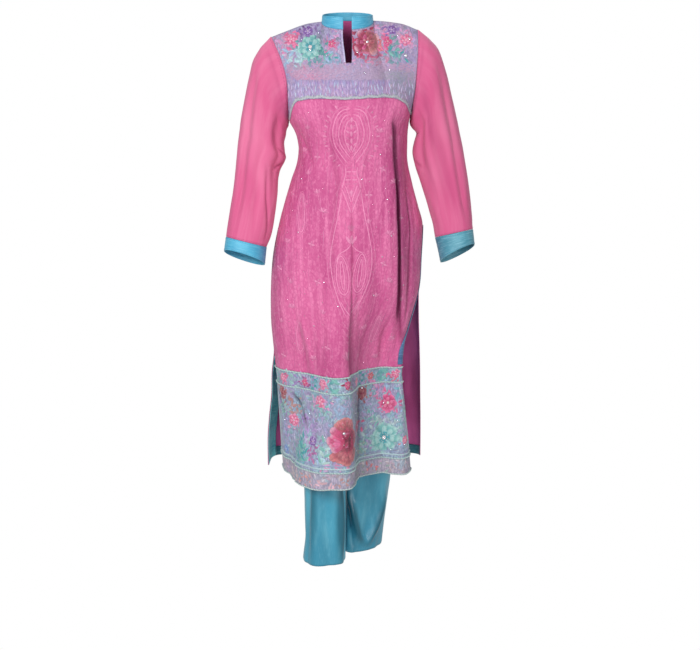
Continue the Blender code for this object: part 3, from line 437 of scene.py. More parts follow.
def leg(side, turn, z):
    """Point of one leg piece: turn 0 at the centre front seam (or inseam), 0.5 at the
    outer side, 1 at the centre back seam. Below the crotch the two ends meet."""
    turn, z = np.broadcast_arrays(np.asarray(turn, float), np.asarray(z, float))
    rows = LEG_L if side == "left" else LEG_R
    m = -1.0 if side == "left" else 1.0
    key = (("d",) + rows[0][1:],) + tuple((-r[0],) + r[1:] for r in rows[1:])
    mid, out = column(key, "mid_x", -z), column(key, "out_x", -z)
    cy = column(key, "mid_y", -z)
    fy, by = column(key, "front_y", -z), column(key, "back_y", -z)
    half = (out - mid) * m
    close = smooth(-0.60, -0.71, z)
    edge = SEAM_X + m * (0.0004 + 0.0012 * close)
    reach = np.clip((mid - edge) * m / half, -1, 1)
    reach = np.where(z < -0.713, 1.0, reach)
    open_angle = np.arccos(np.sign(reach) * np.abs(reach)**1.1)
    a = open_angle + turn * (2 * pi - 2 * open_angle)
    ca, sa = np.cos(a), np.sin(a)
    n = 2 / 2.2
    e = np.sign(ca) * np.abs(ca)**n
    f = np.sign(sa) * np.abs(sa)**n
    x = mid - m * half * e
    y = cy - np.where(f > 0, (cy - fy) * f, (by - cy) * f)
    ends = np.abs(np.sin(open_angle))**n
    ahead = np.clip(1 - turn / 0.22, 0, 1)**2
    behind = np.clip(1 - (1 - turn) / 0.22, 0, 1)**2
    seam = np.where(z > -0.713, 1.0, 0.0)
    y = y + seam * ahead * (column(RISE, "front_y", -z) - (cy - (cy - fy) * ends))
    y = y + seam * behind * (column(RISE, "back_y", -z) - (cy + (by - cy) * ends))
    if side == "right":
        y = y + column(TWIST_R, "twist", -z) * (x - mid)
    fold = LEG_FOLDS_L if side == "left" else LEG_FOLDS_R
    push = 0 * z
    for row in fold[1:]:
        r = dict(zip(fold[0], row))
        at = r["x_high"] + (r["x_low"] - r["x_high"]) * np.clip((-z - r["z_start"]) / (r["z_end"] - r["z_start"]), 0, 1)
        on = smooth(r["z_start"], r["z_full"], -z) * (1 - smooth(r["z_fade"], r["z_end"], -z))
        push = push + r["depth"] * on * np.exp(-((turn - at) / r["half_width"])**2)
    y = y + push * f
    x = x + m * push * e * 0.6
    return np.stack([x, y, z], -1)


# --------------------------------------------------------- edges on the front
YOKE = (("s", "t"), (0.00, 0.2140), (0.06, 0.2180), (0.11, 0.2120), (0.15, 0.1930), (0.19, 0.1800), (0.26, 0.1745),
        (0.36, 0.1700), (0.48, 0.1700), (0.62, 0.1675), (0.72, 0.1690), (0.80, 0.1740), (0.87, 0.1840), (0.93, 0.1990), (1.00, 0.2040))
NECK_SLIT = 0.083       # depth of the neck slit
SLIT_WIDTH = (("t", "wide"), (0.00, 0.0205), (0.030, 0.0195), (0.060, 0.0178), (0.083, 0.0160), (0.105, 0.0110), (0.135, 0.0030), (0.230, 0.0024))


def yoke_edge(s):
    return column(YOKE, "t", s)


def slit_edge(panel, t, side):
    """s of one edge of the neck slit (side -1 left, 1 right)."""
    return panel.middle(t) + side * column(SLIT_WIDTH, "wide", t) / 2 / panel.width(t)


# ------------------------------------------------------------ finer creases
# Creases of one cloth, each a soft trough (depth > 0) or ridge (depth < 0) along a
# line from (a1, b1) to (a2, b2), bowed sideways by `bow`; a is across, b is down.
FRONT_CREASES = (("a1", "b1", "a2", "b2", "half_width", "depth", "bow"),
                 (-0.150, 0.215, -0.098, 0.300, 0.0090, 0.0022, -0.006),
                 (-0.140, 0.250, -0.085, 0.330, 0.0080, 0.0018, 0.008),
                 (0.150, 0.220, 0.118, 0.270, 0.0070, 0.0022, 0.004),
                 (-0.165, 0.360, -0.140, 0.760, 0.0100, 0.0016, 0.010),
                 (-0.104, 0.480, -0.110, 0.660, 0.0120, 0.0014, -0.006),
                 (-0.062, 0.520, -0.070, 0.830, 0.0110, 0.0016, 0.006),
                 (0.070, 0.560, 0.092, 0.800, 0.0100, 0.0016, -0.006),
                 (-0.168, 0.930, -0.176, 1.060, 0.0080, 0.0022, 0.004),
                 (-0.090, 0.900, -0.100, 1.075, 0.0120, 0.0018, 0.000),
                 (0.060, 0.870, 0.052, 1.075, 0.0140, 0.0016, 0.004),
                 (0.170, 0.860, 0.196, 1.070, 0.0080, 0.0024, 0.002),
                 (0.226, 0.880, 0.236, 1.060, 0.0060, 0.0016, 0.000))
# Creases that run down the cloth and wander: stations (a, b, half width, depth).
FRONT_LINES = (
    ((0.011, 0.412, 0.0035, 0.0), (0.011, 0.440, 0.0035, 0.0030), (0.012, 0.500, 0.0035, 0.0042), (0.013, 0.560, 0.0036, 0.0042),
     (0.014, 0.625, 0.0044, 0.0044), (0.016, 0.660, 0.0080, 0.0062), (0.018, 0.690, 0.0120, 0.0085), (0.022, 0.732, 0.0170, 0.0105),
     (0.026, 0.774, 0.0200, 0.0105), (0.028, 0.806, 0.0200, 0.0080), (0.028, 0.860, 0.0180, 0.0)),
    ((-0.036, 0.248, 0.0050, 0.0), (-0.036, 0.272, 0.0050, 0.0024), (-0.026, 0.329, 0.0055, 0.0034), (-0.021, 0.358, 0.0055, 0.0034),
     (-0.026, 0.398, 0.0060, 0.0030), (-0.031, 0.466, 0.0060, 0.0026), (-0.034, 0.512, 0.0060, 0.0024), (-0.036, 0.569, 0.0060, 0.0016),
     (-0.036, 0.610, 0.0060, 0.0)),
    ((0.052, 0.260, 0.0050, 0.0), (0.046, 0.300, 0.0050, 0.0018), (0.036, 0.350, 0.0050, 0.0018), (0.030, 0.395, 0.0050, 0.0018), (0.022, 0.440, 0.0050, 0.0)),
    ((-0.117, 0.668, 0.0060, 0.0), (-0.116, 0.692, 0.0060, -0.0034), (-0.111, 0.735, 0.0070, -0.0042), (-0.105, 0.780, 0.0070, -0.0036), (-0.101, 0.822, 0.0070, 0.0)),
    ((-0.132, 0.676, 0.0070, 0.0), (-0.131, 0.702, 0.0070, 0.0030), (-0.126, 0.745, 0.0080, 0.0040), (-0.120, 0.786, 0.0080, 0.0036), (-0.116, 0.826, 0.0070, 0.0)),
    ((0.126, 0.672, 0.0060, 0.0), (0.130, 0.700, 0.0060, 0.0030), (0.138, 0.740, 0.0065, 0.0040), (0.147, 0.780, 0.0070, 0.0036), (0.150, 0.815, 0.0070, 0.0)),
    ((0.145, 0.690, 0.0060, 0.0), (0.150, 0.725, 0.0060, -0.0026), (0.160, 0.775, 0.0070, -0.0030), (0.164, 0.815, 0.0070, 0.0)),
    ((0.164, 0.366, 0.0036, 0.0), (0.164, 0.391, 0.0036, 0.0034), (0.170, 0.483, 0.0036, 0.0056), (0.168, 0.529, 0.0036, 0.0056),
     (0.170, 0.601, 0.0036, 0.0056), (0.176, 0.667, 0.0036, 0.0034), (0.180, 0.705, 0.0036, 0.0)),
    ((-0.166, 0.858, 0.0040, 0.0), (-0.159, 0.874, 0.0040, 0.0060), (-0.143, 0.898, 0.0042, 0.0075), (-0.129, 0.920, 0.0045, 0.0060), (-0.120, 0.945, 0.0050, 0.0)),
    ((-0.240, 0.842, 0.0050, 0.0), (-0.235, 0.858, 0.0050, 0.0050), (-0.222, 0.888, 0.0050, 0.0065), (-0.209, 0.916, 0.0055, 0.0050), (-0.203, 0.940, 0.0055, 0.0)),
    ((0.093, 0.846, 0.0042, 0.0), (0.094, 0.872, 0.0042, 0.0060), (0.096, 0.930, 0.0042, 0.0066), (0.099, 0.985, 0.0045, 0.0050), (0.100, 1.020, 0.0050, 0.0)),
    ((0.007, 0.932, 0.0038, 0.0), (0.007, 0.948, 0.0038, 0.0040), (0.007, 0.972, 0.0038, 0.0040), (0.007, 0.992, 0.0038, 0.0)),
    ((-0.169, 1.004, 0.0045, 0.0), (-0.169, 1.030, 0.0045, 0.0050), (-0.169, 1.060, 0.0045, 0.0060), (-0.169, 1.080, 0.0045, 0.0060)))
# The one deep narrow fold, right of the middle: the cloth on its left laps over the
# cloth on its right, which lies `step` further back, with a sharp hollow at the lap.
LAP = (("b", "a", "step", "depth", "fill"),
       (0.190, 0.096, 0.000, 0.000, 0.000),
       (0.214, 0.104, 0.000, 0.001, 0.000),
       (0.240, 0.1104, 0.002, 0.004, 0.000),
       (0.292, 0.1134, 0.004, 0.0052, 0.000),
       (0.340, 0.1164, 0.005, 0.0056, 0.003),
       (0.380, 0.1194, 0.006, 0.0056, 0.006),
       (0.444, 0.1194, 0.007, 0.0054, 0.0085),
       (0.528, 0.1234, 0.0066, 0.0048, 0.0085),
       (0.600, 0.1284, 0.0052, 0.0040, 0.0080),
       (0.674, 0.1484, 0.0025, 0.0022, 0.0040),
       (0.712, 0.1700, 0.0015, 0.0015, 0.0000),
       (0.743, 0.188, 0.0010, 0.0010, 0.0000),
       (0.770, 0.196, 0.000, 0.000, 0.0000))
BACK_CREASES = (("a1", "b1", "a2", "b2", "half_width", "depth", "bow"),
                (-0.060, 0.260, -0.075, 0.560, 0.0080, 0.0026, 0.004),
                (0.045, 0.250, 0.060, 0.600, 0.0090, 0.0024, -0.004),
                (-0.020, 0.300, -0.018, 0.520, 0.0070, 0.0018, 0.000),
                (0.110, 0.320, 0.130, 0.800, 0.0090, 0.0024, 0.004),
                (-0.125, 0.360, -0.150, 0.860, 0.0100, 0.0022, 0.006),
                (0.015, 0.560, 0.020, 1.000, 0.0120, 0.0026, 0.004),
                (-0.090, 0.620, -0.112, 1.085, 0.0110, 0.0024, 0.000),
                (0.150, 0.600, 0.160, 1.085, 0.0090, 0.0020, 0.002),
                (-0.120, 0.120, -0.050, 0.200, 0.0120, 0.0018, 0.006),
                (0.120, 0.110, 0.055, 0.190, 0.0120, 0.0018, -0.006),
                (-0.110, 0.330, -0.030, 0.350, 0.0070, 0.0016, 0.004),
                (0.100, 0.345, 0.030, 0.365, 0.0070, 0.0016, 0.004))
# sleeves: across is the turn (as a share of one round), down is the run
SLEEVE_L_CREASES = (("a1", "b1", "a2", "b2", "half_width", "depth", "bow"),
                    (0.100, 0.018, 0.330, 0.020, 0.012, 0.0034, 0.004),
                    (0.510, 0.246, 0.395, 0.284, 0.013, 0.0050, -0.008),
                    (0.510, 0.240, 0.400, 0.210, 0.012, 0.0042, 0.006),
                    (0.560, 0.120, 0.700, 0.180, 0.018, 0.0034, 0.000),
                    (0.560, 0.200, 0.690, 0.250, 0.018, 0.0030, 0.000),
                    (0.700, 0.040, 0.670, 0.440, 0.014, 0.0024, 0.006),
                    (0.840, 0.030, 0.860, 0.470, 0.016, 0.0022, 0.000))
SLEEVE_R_CREASES = (("a1", "b1", "a2", "b2", "half_width", "depth", "bow"),
                    (0.110, 0.016, 0.300, 0.018, 0.012, 0.0026, 0.004),
                    (0.500, 0.112, 0.420, 0.130, 0.013, 0.0046, 0.006),
                    (0.505, 0.236, 0.405, 0.290, 0.013, 0.0040, 0.006),
                    (0.560, 0.130, 0.690, 0.190, 0.018, 0.0032, 0.000),
                    (0.560, 0.230, 0.700, 0.280, 0.018, 0.0028, 0.000),
                    (0.720, 0.040, 0.690, 0.440, 0.014, 0.0024, 0.006),
                    (0.850, 0.030, 0.870, 0.470, 0.016, 0.0022, 0.000))
SLEEVE_L_LINES = (
    ((0.315, 0.270, 0.006, 0.0), (0.333, 0.319, 0.005, 0.0035), (0.348, 0.392, 0.004, 0.0050), (0.385, 0.437, 0.004, 0.0050), (0.403, 0.467, 0.004, 0.0036), (0.410, 0.492, 0.004, 0.0)),
    ((0.245, 0.060, 0.012, 0.0), (0.248, 0.120, 0.012, -0.0024), (0.245, 0.198, 0.011, -0.0034), (0.238, 0.260, 0.011, -0.0024), (0.232, 0.330, 0.011, 0.0)),
    ((0.335, 0.060, 0.010, 0.0), (0.340, 0.120, 0.010, 0.0034), (0.345, 0.190, 0.010, 0.0036), (0.335, 0.240, 0.010, 0.0)),
    ((0.150, 0.080, 0.012, 0.0), (0.160, 0.180, 0.012, 0.0020), (0.165, 0.330, 0.012, 0.0022), (0.160, 0.460, 0.012, 0.0)))
SLEEVE_R_LINES = (
    ((0.262, 0.020, 0.010, 0.0), (0.276, 0.060, 0.009, 0.0040), (0.292, 0.103, 0.009, 0.0050), (0.272, 0.198, 0.010, 0.0046), (0.244, 0.274, 0.010, 0.0044), (0.244, 0.342, 0.010, 0.0040), (0.232, 0.407, 0.010, 0.0030), (0.230, 0.460, 0.010, 0.0)),
    ((0.215, 0.030, 0.010, 0.0), (0.222, 0.103, 0.010, -0.0026), (0.198, 0.198, 0.010, -0.0026), (0.170, 0.274, 0.010, -0.0024), (0.165, 0.400, 0.010, 0.0)),
    ((0.380, 0.150, 0.009, 0.0), (0.370, 0.240, 0.009, 0.0030), (0.350, 0.330, 0.009, 0.0030), (0.345, 0.430, 0.009, 0.0)))
# legs: across is the turn, down is the depth
LEG_L_CREASES = (("a1", "b1", "a2", "b2", "half_width", "depth", "bow"),
                 (0.200, 0.700, 0.180, 1.000, 0.030, 0.0024, 0.000),
                 (0.366, 0.856, 0.366, 0.928, 0.048, -0.0078, 0.000),
                 (0.560, 0.760, 0.540, 1.290, 0.034, 0.0034, 0.000),
                 (0.760, 0.760, 0.780, 1.290, 0.034, 0.0034, 0.010),
                 (0.900, 0.900, 0.880, 1.290, 0.030, 0.0030, 0.000))
LEG_R_CREASES = (("a1", "b1", "a2", "b2", "half_width", "depth", "bow"),
                 (0.200, 0.700, 0.220, 1.000, 0.030, 0.0024, 0.000),
                 (0.560, 0.760, 0.540, 1.290, 0.034, 0.0034, 0.000),
                 (0.760, 0.760, 0.780, 1.290, 0.034, 0.0034, 0.010),
                 (0.900, 0.900, 0.880, 1.290, 0.030, 0.0030, 0.000))
LEG_L_LINES = (
    ((0.385, 1.000, 0.010, 0.0), (0.385, 1.080, 0.010, -0.0036), (0.388, 1.200, 0.010, -0.0040), (0.388, 1.300, 0.010, -0.0030)),
    ((0.320, 0.980, 0.011, 0.0), (0.322, 1.080, 0.011, 0.0050), (0.328, 1.180, 0.011, 0.0050), (0.332, 1.240, 0.010, 0.0020), (0.334, 1.290, 0.010, 0.0004)),
    ((0.235, 0.980, 0.015, 0.0), (0.235, 1.080, 0.015, -0.0040), (0.232, 1.200, 0.015, -0.0042), (0.228, 1.300, 0.015, -0.0030)),
    ((0.122, 1.060, 0.011, 0.0), (0.120, 1.120, 0.011, 0.0090), (0.118, 1.200, 0.012, 0.0105), (0.112, 1.245, 0.012, 0.0070), (0.108, 1.285, 0.012, 0.0030)),
    ((0.060, 1.040, 0.008, 0.0), (0.060, 1.120, 0.008, -0.0034), (0.058, 1.240, 0.008, -0.0034), (0.055, 1.290, 0.008, 0.0)))
LEG_R_LINES = (
    ((0.085, 1.090, 0.009, 0.0), (0.100, 1.137, 0.009, 0.0080), (0.138, 1.174, 0.009, 0.0110), (0.173, 1.214, 0.009, 0.0110), (0.217, 1.252, 0.009, 0.0075), (0.262, 1.276, 0.010, 0.0)),
    ((0.405, 1.130, 0.009, 0.0), (0.388, 1.176, 0.009, 0.0075), (0.360, 1.208, 0.009, 0.0100), (0.333, 1.236, 0.009, 0.0090), (0.297, 1.258, 0.009, 0.0060), (0.266, 1.278, 0.010, 0.0)),
    ((0.255, 1.060, 0.016, 0.0), (0.258, 1.130, 0.018, -0.0040), (0.262, 1.200, 0.016, -0.0050), (0.264, 1.246, 0.010, -0.0040), (0.266, 1.270, 0.008, 0.0)),
    ((0.060, 1.140, 0.010, 0.0), (0.080, 1.180, 0.011, -0.0050), (0.115, 1.225, 0.011, -0.0060), (0.150, 1.262, 0.010, -0.0034), (0.170, 1.285, 0.010, 0.0)))


def creases(table, a, b, reach=1.0):
    """Depth of the creases at (a, b). `reach` turns a into metres for their length."""
    total = 0.0 * (a + b)
    for row in table[1:]:
        c = dict(zip(table[0], row))
        along = np.array([(c["a2"] - c["a1"]) * reach, c["b2"] - c["b1"]])
        length = np.hypot(*along)
        along = along / length
        da, db = (a - c["a1"]) * reach, b - c["b1"]
        run = (da * along[0] + db * along[1]) / length
        off = -da * along[1] + db * along[0] + c["bow"] * reach * np.sin(pi * np.clip(run, 0, 1))
        wide = c["half_width"] * reach
        fade = smooth(-0.12, 0.22, run) * (1 - smooth(0.72, 1.12, run))
        total = total + c["depth"] * fade * np.exp(-(off / wide)**2)
    return total


def wandering(table, a, b, reach=1.0):
    """Depth of the wandering creases at (a, b)."""
    total = 0.0 * (a + b)
    for spots in table:
        rows = (("b", "a", "half", "depth"),) + tuple((q[1], q[0], q[2], q[3]) for q in spots)
        lean = (column(rows, "a", b + 0.002) - column(rows, "a", b - 0.002)) * reach / 0.004
        off = (a - column(rows, "a", b)) * reach / np.sqrt(1 + lean**2)
        total = total + column(rows, "depth", b) * np.exp(-(off / column(rows, "half", b))**2)
    return total


def lap_parts(a, b):
    """The lapped fold at (a, b): how far back the cloth past it lies, the sharp hollow at
    the lap, and the cloth that fills the near side of the trough."""
    lean = (column(LAP, "a", b + 0.002) - column(LAP, "a", b - 0.002)) / 0.004
    off = (a - column(LAP, "a", b)) / np.sqrt(1 + lean**2)
    past = smooth(-0.0026, 0.0020, off)
    return (column(LAP, "step", b) * past * (1 - smooth(0.040, 0.085, off)),
            column(LAP, "depth", b) * np.exp(-((off - 0.0032) / 0.0034)**2),
            column(LAP, "fill", b) * (1 - past) * np.exp(-(off / 0.0095)**2))


def lap(a, b):
    step, hollow, fill = lap_parts(a, b)
    return step + hollow - fill


def front_painted_shade(a, b):
    """Painted shade of the front at (a, b), 0 to 1: how far inside a fold its cloth lies, used to darken its colour."""
    step, hollow, fill = lap_parts(a, b)
    lean = (column(LAP, "a", b + 0.002) - column(LAP, "a", b - 0.002)) / 0.004
    off = (a - column(LAP, "a", b)) / np.sqrt(1 + lean**2)
    shade = column(LAP, "depth", b) * np.exp(-((off - 0.0044) / 0.0080)**2) / 0.008
    # painted shade past the lap and in a band along its hollow
    inside = 0.50 * smooth(0.0, 0.008, step) + 3.2 * shade
    # painted shade in a band down the border's trough, a mark with no crease of its own
    painted_trough_shade = 0.46 * np.exp(-((a - 0.068 - 0.05 * (b - 0.86)) / 0.034)**4) * smooth(0.82, 0.88, b)
    # painted shade along the wandering creases, stronger in the border
    lines = (0.52 + 0.75 * smooth(0.84, 0.87, b)) * np.maximum(wandering(FRONT_LINES, a, b), 0) / 0.0085
    return np.clip(inside + painted_trough_shade + lines, 0, 1)


# Painted shade of a sleeve, 0 to 1: darker along its creases, and the whole right sleeve darkened further as if in
# shadow.
def sleeve_painted_shade(side, turn, run):
    table, plain = (SLEEVE_L_LINES, SLEEVE_L_CREASES) if side == "left" else (SLEEVE_R_LINES, SLEEVE_R_CREASES)
    deep = wandering(table, turn, run, 0.30) + creases(plain, turn, run, 0.30)
    return np.clip(0.55 * np.maximum(deep, 0) / 0.006 + (0.0 if side == "left" else 0.20), 0, 1)


# Painted shade of a leg, 0 to 1: darker along its wandering creases, more on the left leg than the right.
def leg_painted_shade(side, turn, z):
    deep = wandering(LEG_L_LINES if side == "left" else LEG_R_LINES, turn, -z, 0.36)
    return np.clip((1.5 if side == "left" else 1.15) * np.maximum(deep, 0) / 0.010, 0, 1)


def triple(f):
    return np.repeat(np.asarray(f, float)[..., None], 3, -1)


def ripple(a, b, seed):
    """The faint unevenness of worn cloth, longer down than across."""
    r = np.random.default_rng(seed)
    total = 0.0 * (a + b)
    for wave, high in ((0.110, 0.00085), (0.062, 0.00050), (0.034, 0.00026), (0.021, 0.00015)):
        for _ in range(3):
            kx, ky = r.uniform(0.7, 1.2) * 2 * pi / wave, r.uniform(-0.40, 0.40) * 2 * pi / wave
            px, py, p = r.uniform(0, 6.28, 3)
            total = total + high * np.sin(kx * a + ky * b + p + 1.3 * np.sin(5.1 * b / wave * 0.11 + px) + 0.6 * np.sin(9.0 * a + py))
    return total


front, back = Panel("front"), Panel("back")


def front_skin(s, t, h=0.0):
    """The front cloth at (s, t), h outside its middle surface."""
    s, t = np.broadcast_arrays(np.asarray(s, float), np.asarray(t, float))
    a = (s - front.middle(t)) * front.width(t)
    calm = smooth(0.0, 0.10, s) * (1 - smooth(0.90, 1.0, s)) * smooth(0.0, 0.05, t)
    push = -(creases(FRONT_CREASES, a, t) + wandering(FRONT_LINES, a, t)) * calm + 0.7 * ripple(a, t, 3) * calm * (0.35 + 0.65 * smooth(0.10, 0.30, t))
    push = push - lap(a, t) * (1 - smooth(0.955, 1.0, s))
    return front.at(s, t) + (push + h)[..., None] * front.out(s, t)


def back_skin(s, t, h=0.0):
    s, t = np.broadcast_arrays(np.asarray(s, float), np.asarray(t, float))
    a = (s - back.middle(t)) * back.width(t)
    calm = smooth(0.0, 0.10, s) * (1 - smooth(0.90, 1.0, s)) * smooth(0.0, 0.05, t)
    push = -creases(BACK_CREASES, a, t) * calm + 1.3 * ripple(a, t, 8) * calm
    return back.at(s, t) + (push + h)[..., None] * back.out(s, t)


def across_down(place, u, v, du, dv, flip=1.0):
    """Unit normals of a surface by small steps along both of its directions."""
    n = np.cross(place(u, v + dv) - place(u, v - dv), place(u + du, v) - place(u - du, v)) * flip
    return n / np.maximum(np.linalg.norm(n, axis=-1, keepdims=True), 1e-12)


def sleeve_skin(side, turn, run, h=0.0):
    turn, run = np.broadcast_arrays(np.asarray(turn, float), np.asarray(run, float))
    place = lambda u, v: sleeve(side, np.mod(u, 1.0), np.clip(v, 0, 0.501))
    n = across_down(place, turn, run, 0.004, 0.003, 1.0 if side == "left" else -1.0)
    table = SLEEVE_L_CREASES if side == "left" else SLEEVE_R_CREASES
    calm = smooth(0.002, 0.040, run) * (1 - smooth(0.482, 0.500, run))
    push = -(creases(table, turn, run, 0.30) + wandering(SLEEVE_L_LINES if side == "left" else SLEEVE_R_LINES, turn, run, 0.30)) * calm
    for shift in (-1.0, 1.0):
        push = push - creases(table, turn + shift, run, 0.30) * calm
    round_ = np.abs(turn - 0.5) * 0.34
    push = push + 0.6 * ripple(round_, run, 21 if side == "left" else 22) * calm * (0.5 + 0.5 * np.cos(2 * pi * turn) ** 2)
    return place(turn, run) + (push + h)[..., None] * n


def leg_skin(side, turn, z, h=0.0):
    turn, z = np.broadcast_arrays(np.asarray(turn, float), np.asarray(z, float))
    place = lambda u, v: leg(side, np.clip(u, 0, 1), np.clip(v, -1.285, -0.42))
    n = across_down(place, turn, z, 0.004, -0.003, 1.0 if side == "left" else -1.0)
    table = LEG_L_CREASES if side == "left" else LEG_R_CREASES
    calm = smooth(0.0, 0.09, turn) * (1 - smooth(0.91, 1.0, turn)) * smooth(0.42, 0.50, -z)
    push = -(creases(table, turn, -z, 0.36) + wandering(LEG_L_LINES if side == "left" else LEG_R_LINES, turn, -z, 0.36)) * calm
    push = push + 0.9 * ripple(turn * 0.36, -z, 31 if side == "left" else 32) * calm
    return place(turn, z) + (push + h)[..., None] * n


# ------------------------------------------------------------------- meshes
def mesh_of(name, co, faces, material, marks=None, tints=None, smooth_all=True):
    """One object from points and faces (an (n, 4) or (n, 3) array, or several)."""
    groups = faces if isinstance(faces, (list, tuple)) else [faces]
    groups = [np.asarray(g) for g in groups if len(g)]
    sizes = np.concatenate([np.full(len(g), g.shape[1]) for g in groups])
    corners = np.concatenate([g.reshape(-1) for g in groups]).astype(np.int32)
    mesh = bpy.data.meshes.new(name)
    mesh.vertices.add(len(co))
    mesh.vertices.foreach_set("co", np.asarray(co, np.float32).reshape(-1))
    mesh.loops.add(len(corners))
    mesh.loops.foreach_set("vertex_index", corners)
    mesh.polygons.add(len(sizes))
    mesh.polygons.foreach_set("loop_start", (np.cumsum(sizes) - sizes).astype(np.int32))
    if smooth_all:
        mesh.polygons.foreach_set("use_smooth", np.ones(len(sizes), bool))
    for key, values in (marks or {}).items():
        layer = mesh.attributes.new(key, "FLOAT_VECTOR", "POINT")
        layer.data.foreach_set("vector", np.asarray(values, np.float32).reshape(-1))
    for key, values in (tints or {}).items():
        rgba = np.ones((len(co), 4), np.float32)
        rgba[:, :3] = values
        layer = mesh.attributes.new(key, "FLOAT_COLOR", "POINT")
        layer.data.foreach_set("color", rgba.reshape(-1))
    mesh.update(calc_edges=True)
    mesh.validate()
    o = bpy.data.objects.new(name, mesh)
    bpy.context.scene.collection.objects.link(o)
    o.data.materials.append(material)
    return o


def shell(name, place, across, down, cloth_at, material, thick=CLOTH, skip=None, ring=False, marks=None, far=None):
    """A fine grid over a piece's surface with its wall added. `cloth_at` gives the flat
    coordinates of the cloth, in metres, that the weave follows; `far` is the material of
    the side the grid's faces turn away from."""
    u, v = np.meshgrid(across, down)
    spots = place(u, v)
    rows, cols = u.shape
    number = np.arange(rows * cols).reshape(rows, cols)
    if ring:                                   # the last column is the first one
        number[:, -1] = number[:, 0]
    quads = np.stack([number[:-1, :-1], number[1:, :-1], number[1:, 1:], number[:-1, 1:]], -1)
    if skip is not None:
        quads = quads[~skip(u, v)]
    quads = quads.reshape(-1, 4)
    flat = np.zeros((rows * cols, 3))
    a, b = cloth_at(u, v)
    flat[:, 0], flat[:, 1] = np.broadcast_to(a, u.shape).reshape(-1), np.broadcast_to(b, u.shape).reshape(-1)
    extra = {"cloth": flat}
    for key, f in (marks or {}).items():
        extra[key] = f(u, v).reshape(-1, 3)
    used = np.unique(quads)
    renumber = np.zeros(rows * cols, int)
    renumber[used] = np.arange(len(used))
    o = mesh_of(name, spots.reshape(-1, 3)[used], renumber[quads], material, {k: e[used] for k, e in extra.items()})
    wall = o.modifiers.new("cloth thickness", "SOLIDIFY")
    wall.thickness = thick
    wall.offset = 0.0
    if far is not None:
        o.data.materials.append(far)
        wall.material_offset = 1
    return o


def gathered(n, spots):
    """n + 1 stations from 0 to 1, closer together near the spots (centre, half width, gain)."""
    x = np.linspace(0, 1, 2001)
    weight = 1 + sum(k * np.exp(-((x - c) / w)**2) for c, w, k in spots)
    run = np.concatenate([[0], np.cumsum((weight[1:] + weight[:-1]) / 2)])
    return np.interp(np.linspace(0, 1, n + 1), run / run[-1], x)


class Heap:
    """Many small raised shapes gathered into one mesh, each set down in the cloth's own
    flat coordinates (a across, b down, h above the cloth) with a thread colour."""

    def __init__(self):
        self.flat, self.tint, self.lay, self.quads, self.tris, self.n = [], [], [], [], [], 0
        self.skip = None

    def grid(self, a, b, h, colour, along, beside):
        if self.skip is not None and self.skip(a, b):
            return
        rows, cols = a.shape
        i = np.arange(rows * cols).reshape(rows, cols) + self.n
        self.quads.append(np.stack([i[:-1, :-1], i[1:, :-1], i[1:, 1:], i[:-1, 1:]], -1).reshape(-1, 4))
        self.flat.append(np.stack([a, b, h + 0 * a], -1).reshape(-1, 3))
        self.tint.append(np.broadcast_to(colour, (rows, cols, 3)).reshape(-1, 3))
        self.lay.append(np.stack([along + 0 * a, beside + 0 * a, 0 * a], -1).reshape(-1, 3))
        self.n += rows * cols

    def facets(self, points, tris, colour):
        self.tris.append(np.asarray(tris) + self.n)
        points = np.asarray(points, float)
        self.flat.append(points)
        self.tint.append(np.broadcast_to(colour, points.shape))
        self.lay.append(np.zeros_like(points))
        self.n += len(points)

    def settle(self, name, place, material, smooth_all=True, hollow=None):
        flat = np.concatenate(self.flat)
        co = place(flat[:, 0], flat[:, 1], flat[:, 2])
        # painted shade: thread colours darkened and cooled where the cloth's painted-shade mask says the work lies in a
        # fold
        if hollow is not None:
            self.tint = [np.concatenate(self.tint) * (1 - 0.72 * hollow(flat[:, 0], flat[:, 1]))[:, None] * (1, 0.92, 0.98)]
        groups = [np.concatenate(g) for g in (self.quads, self.tris) if g]
        o = mesh_of(name, co, groups, material, {"lay": np.concatenate(self.lay)}, {"thread": np.concatenate(self.tint)}, smooth_all)
        return o


def on_front(a, b, h):
    s = front.middle(b) + a / front.width(b)
    return front_skin(s, b, h)


def on_back(a, b, h):
    s = back.middle(b) + a / back.width(b)
    return back_skin(s, b, h)


# ---------------------------------------------------------------- materials
def srgb(code):
    v = np.array([int(code[i:i + 2], 16) for i in (1, 3, 5)]) / 255.0
    return tuple(float(c) for c in np.where(v <= 0.04045, v / 12.92, ((v + 0.055) / 1.055)**2.4))


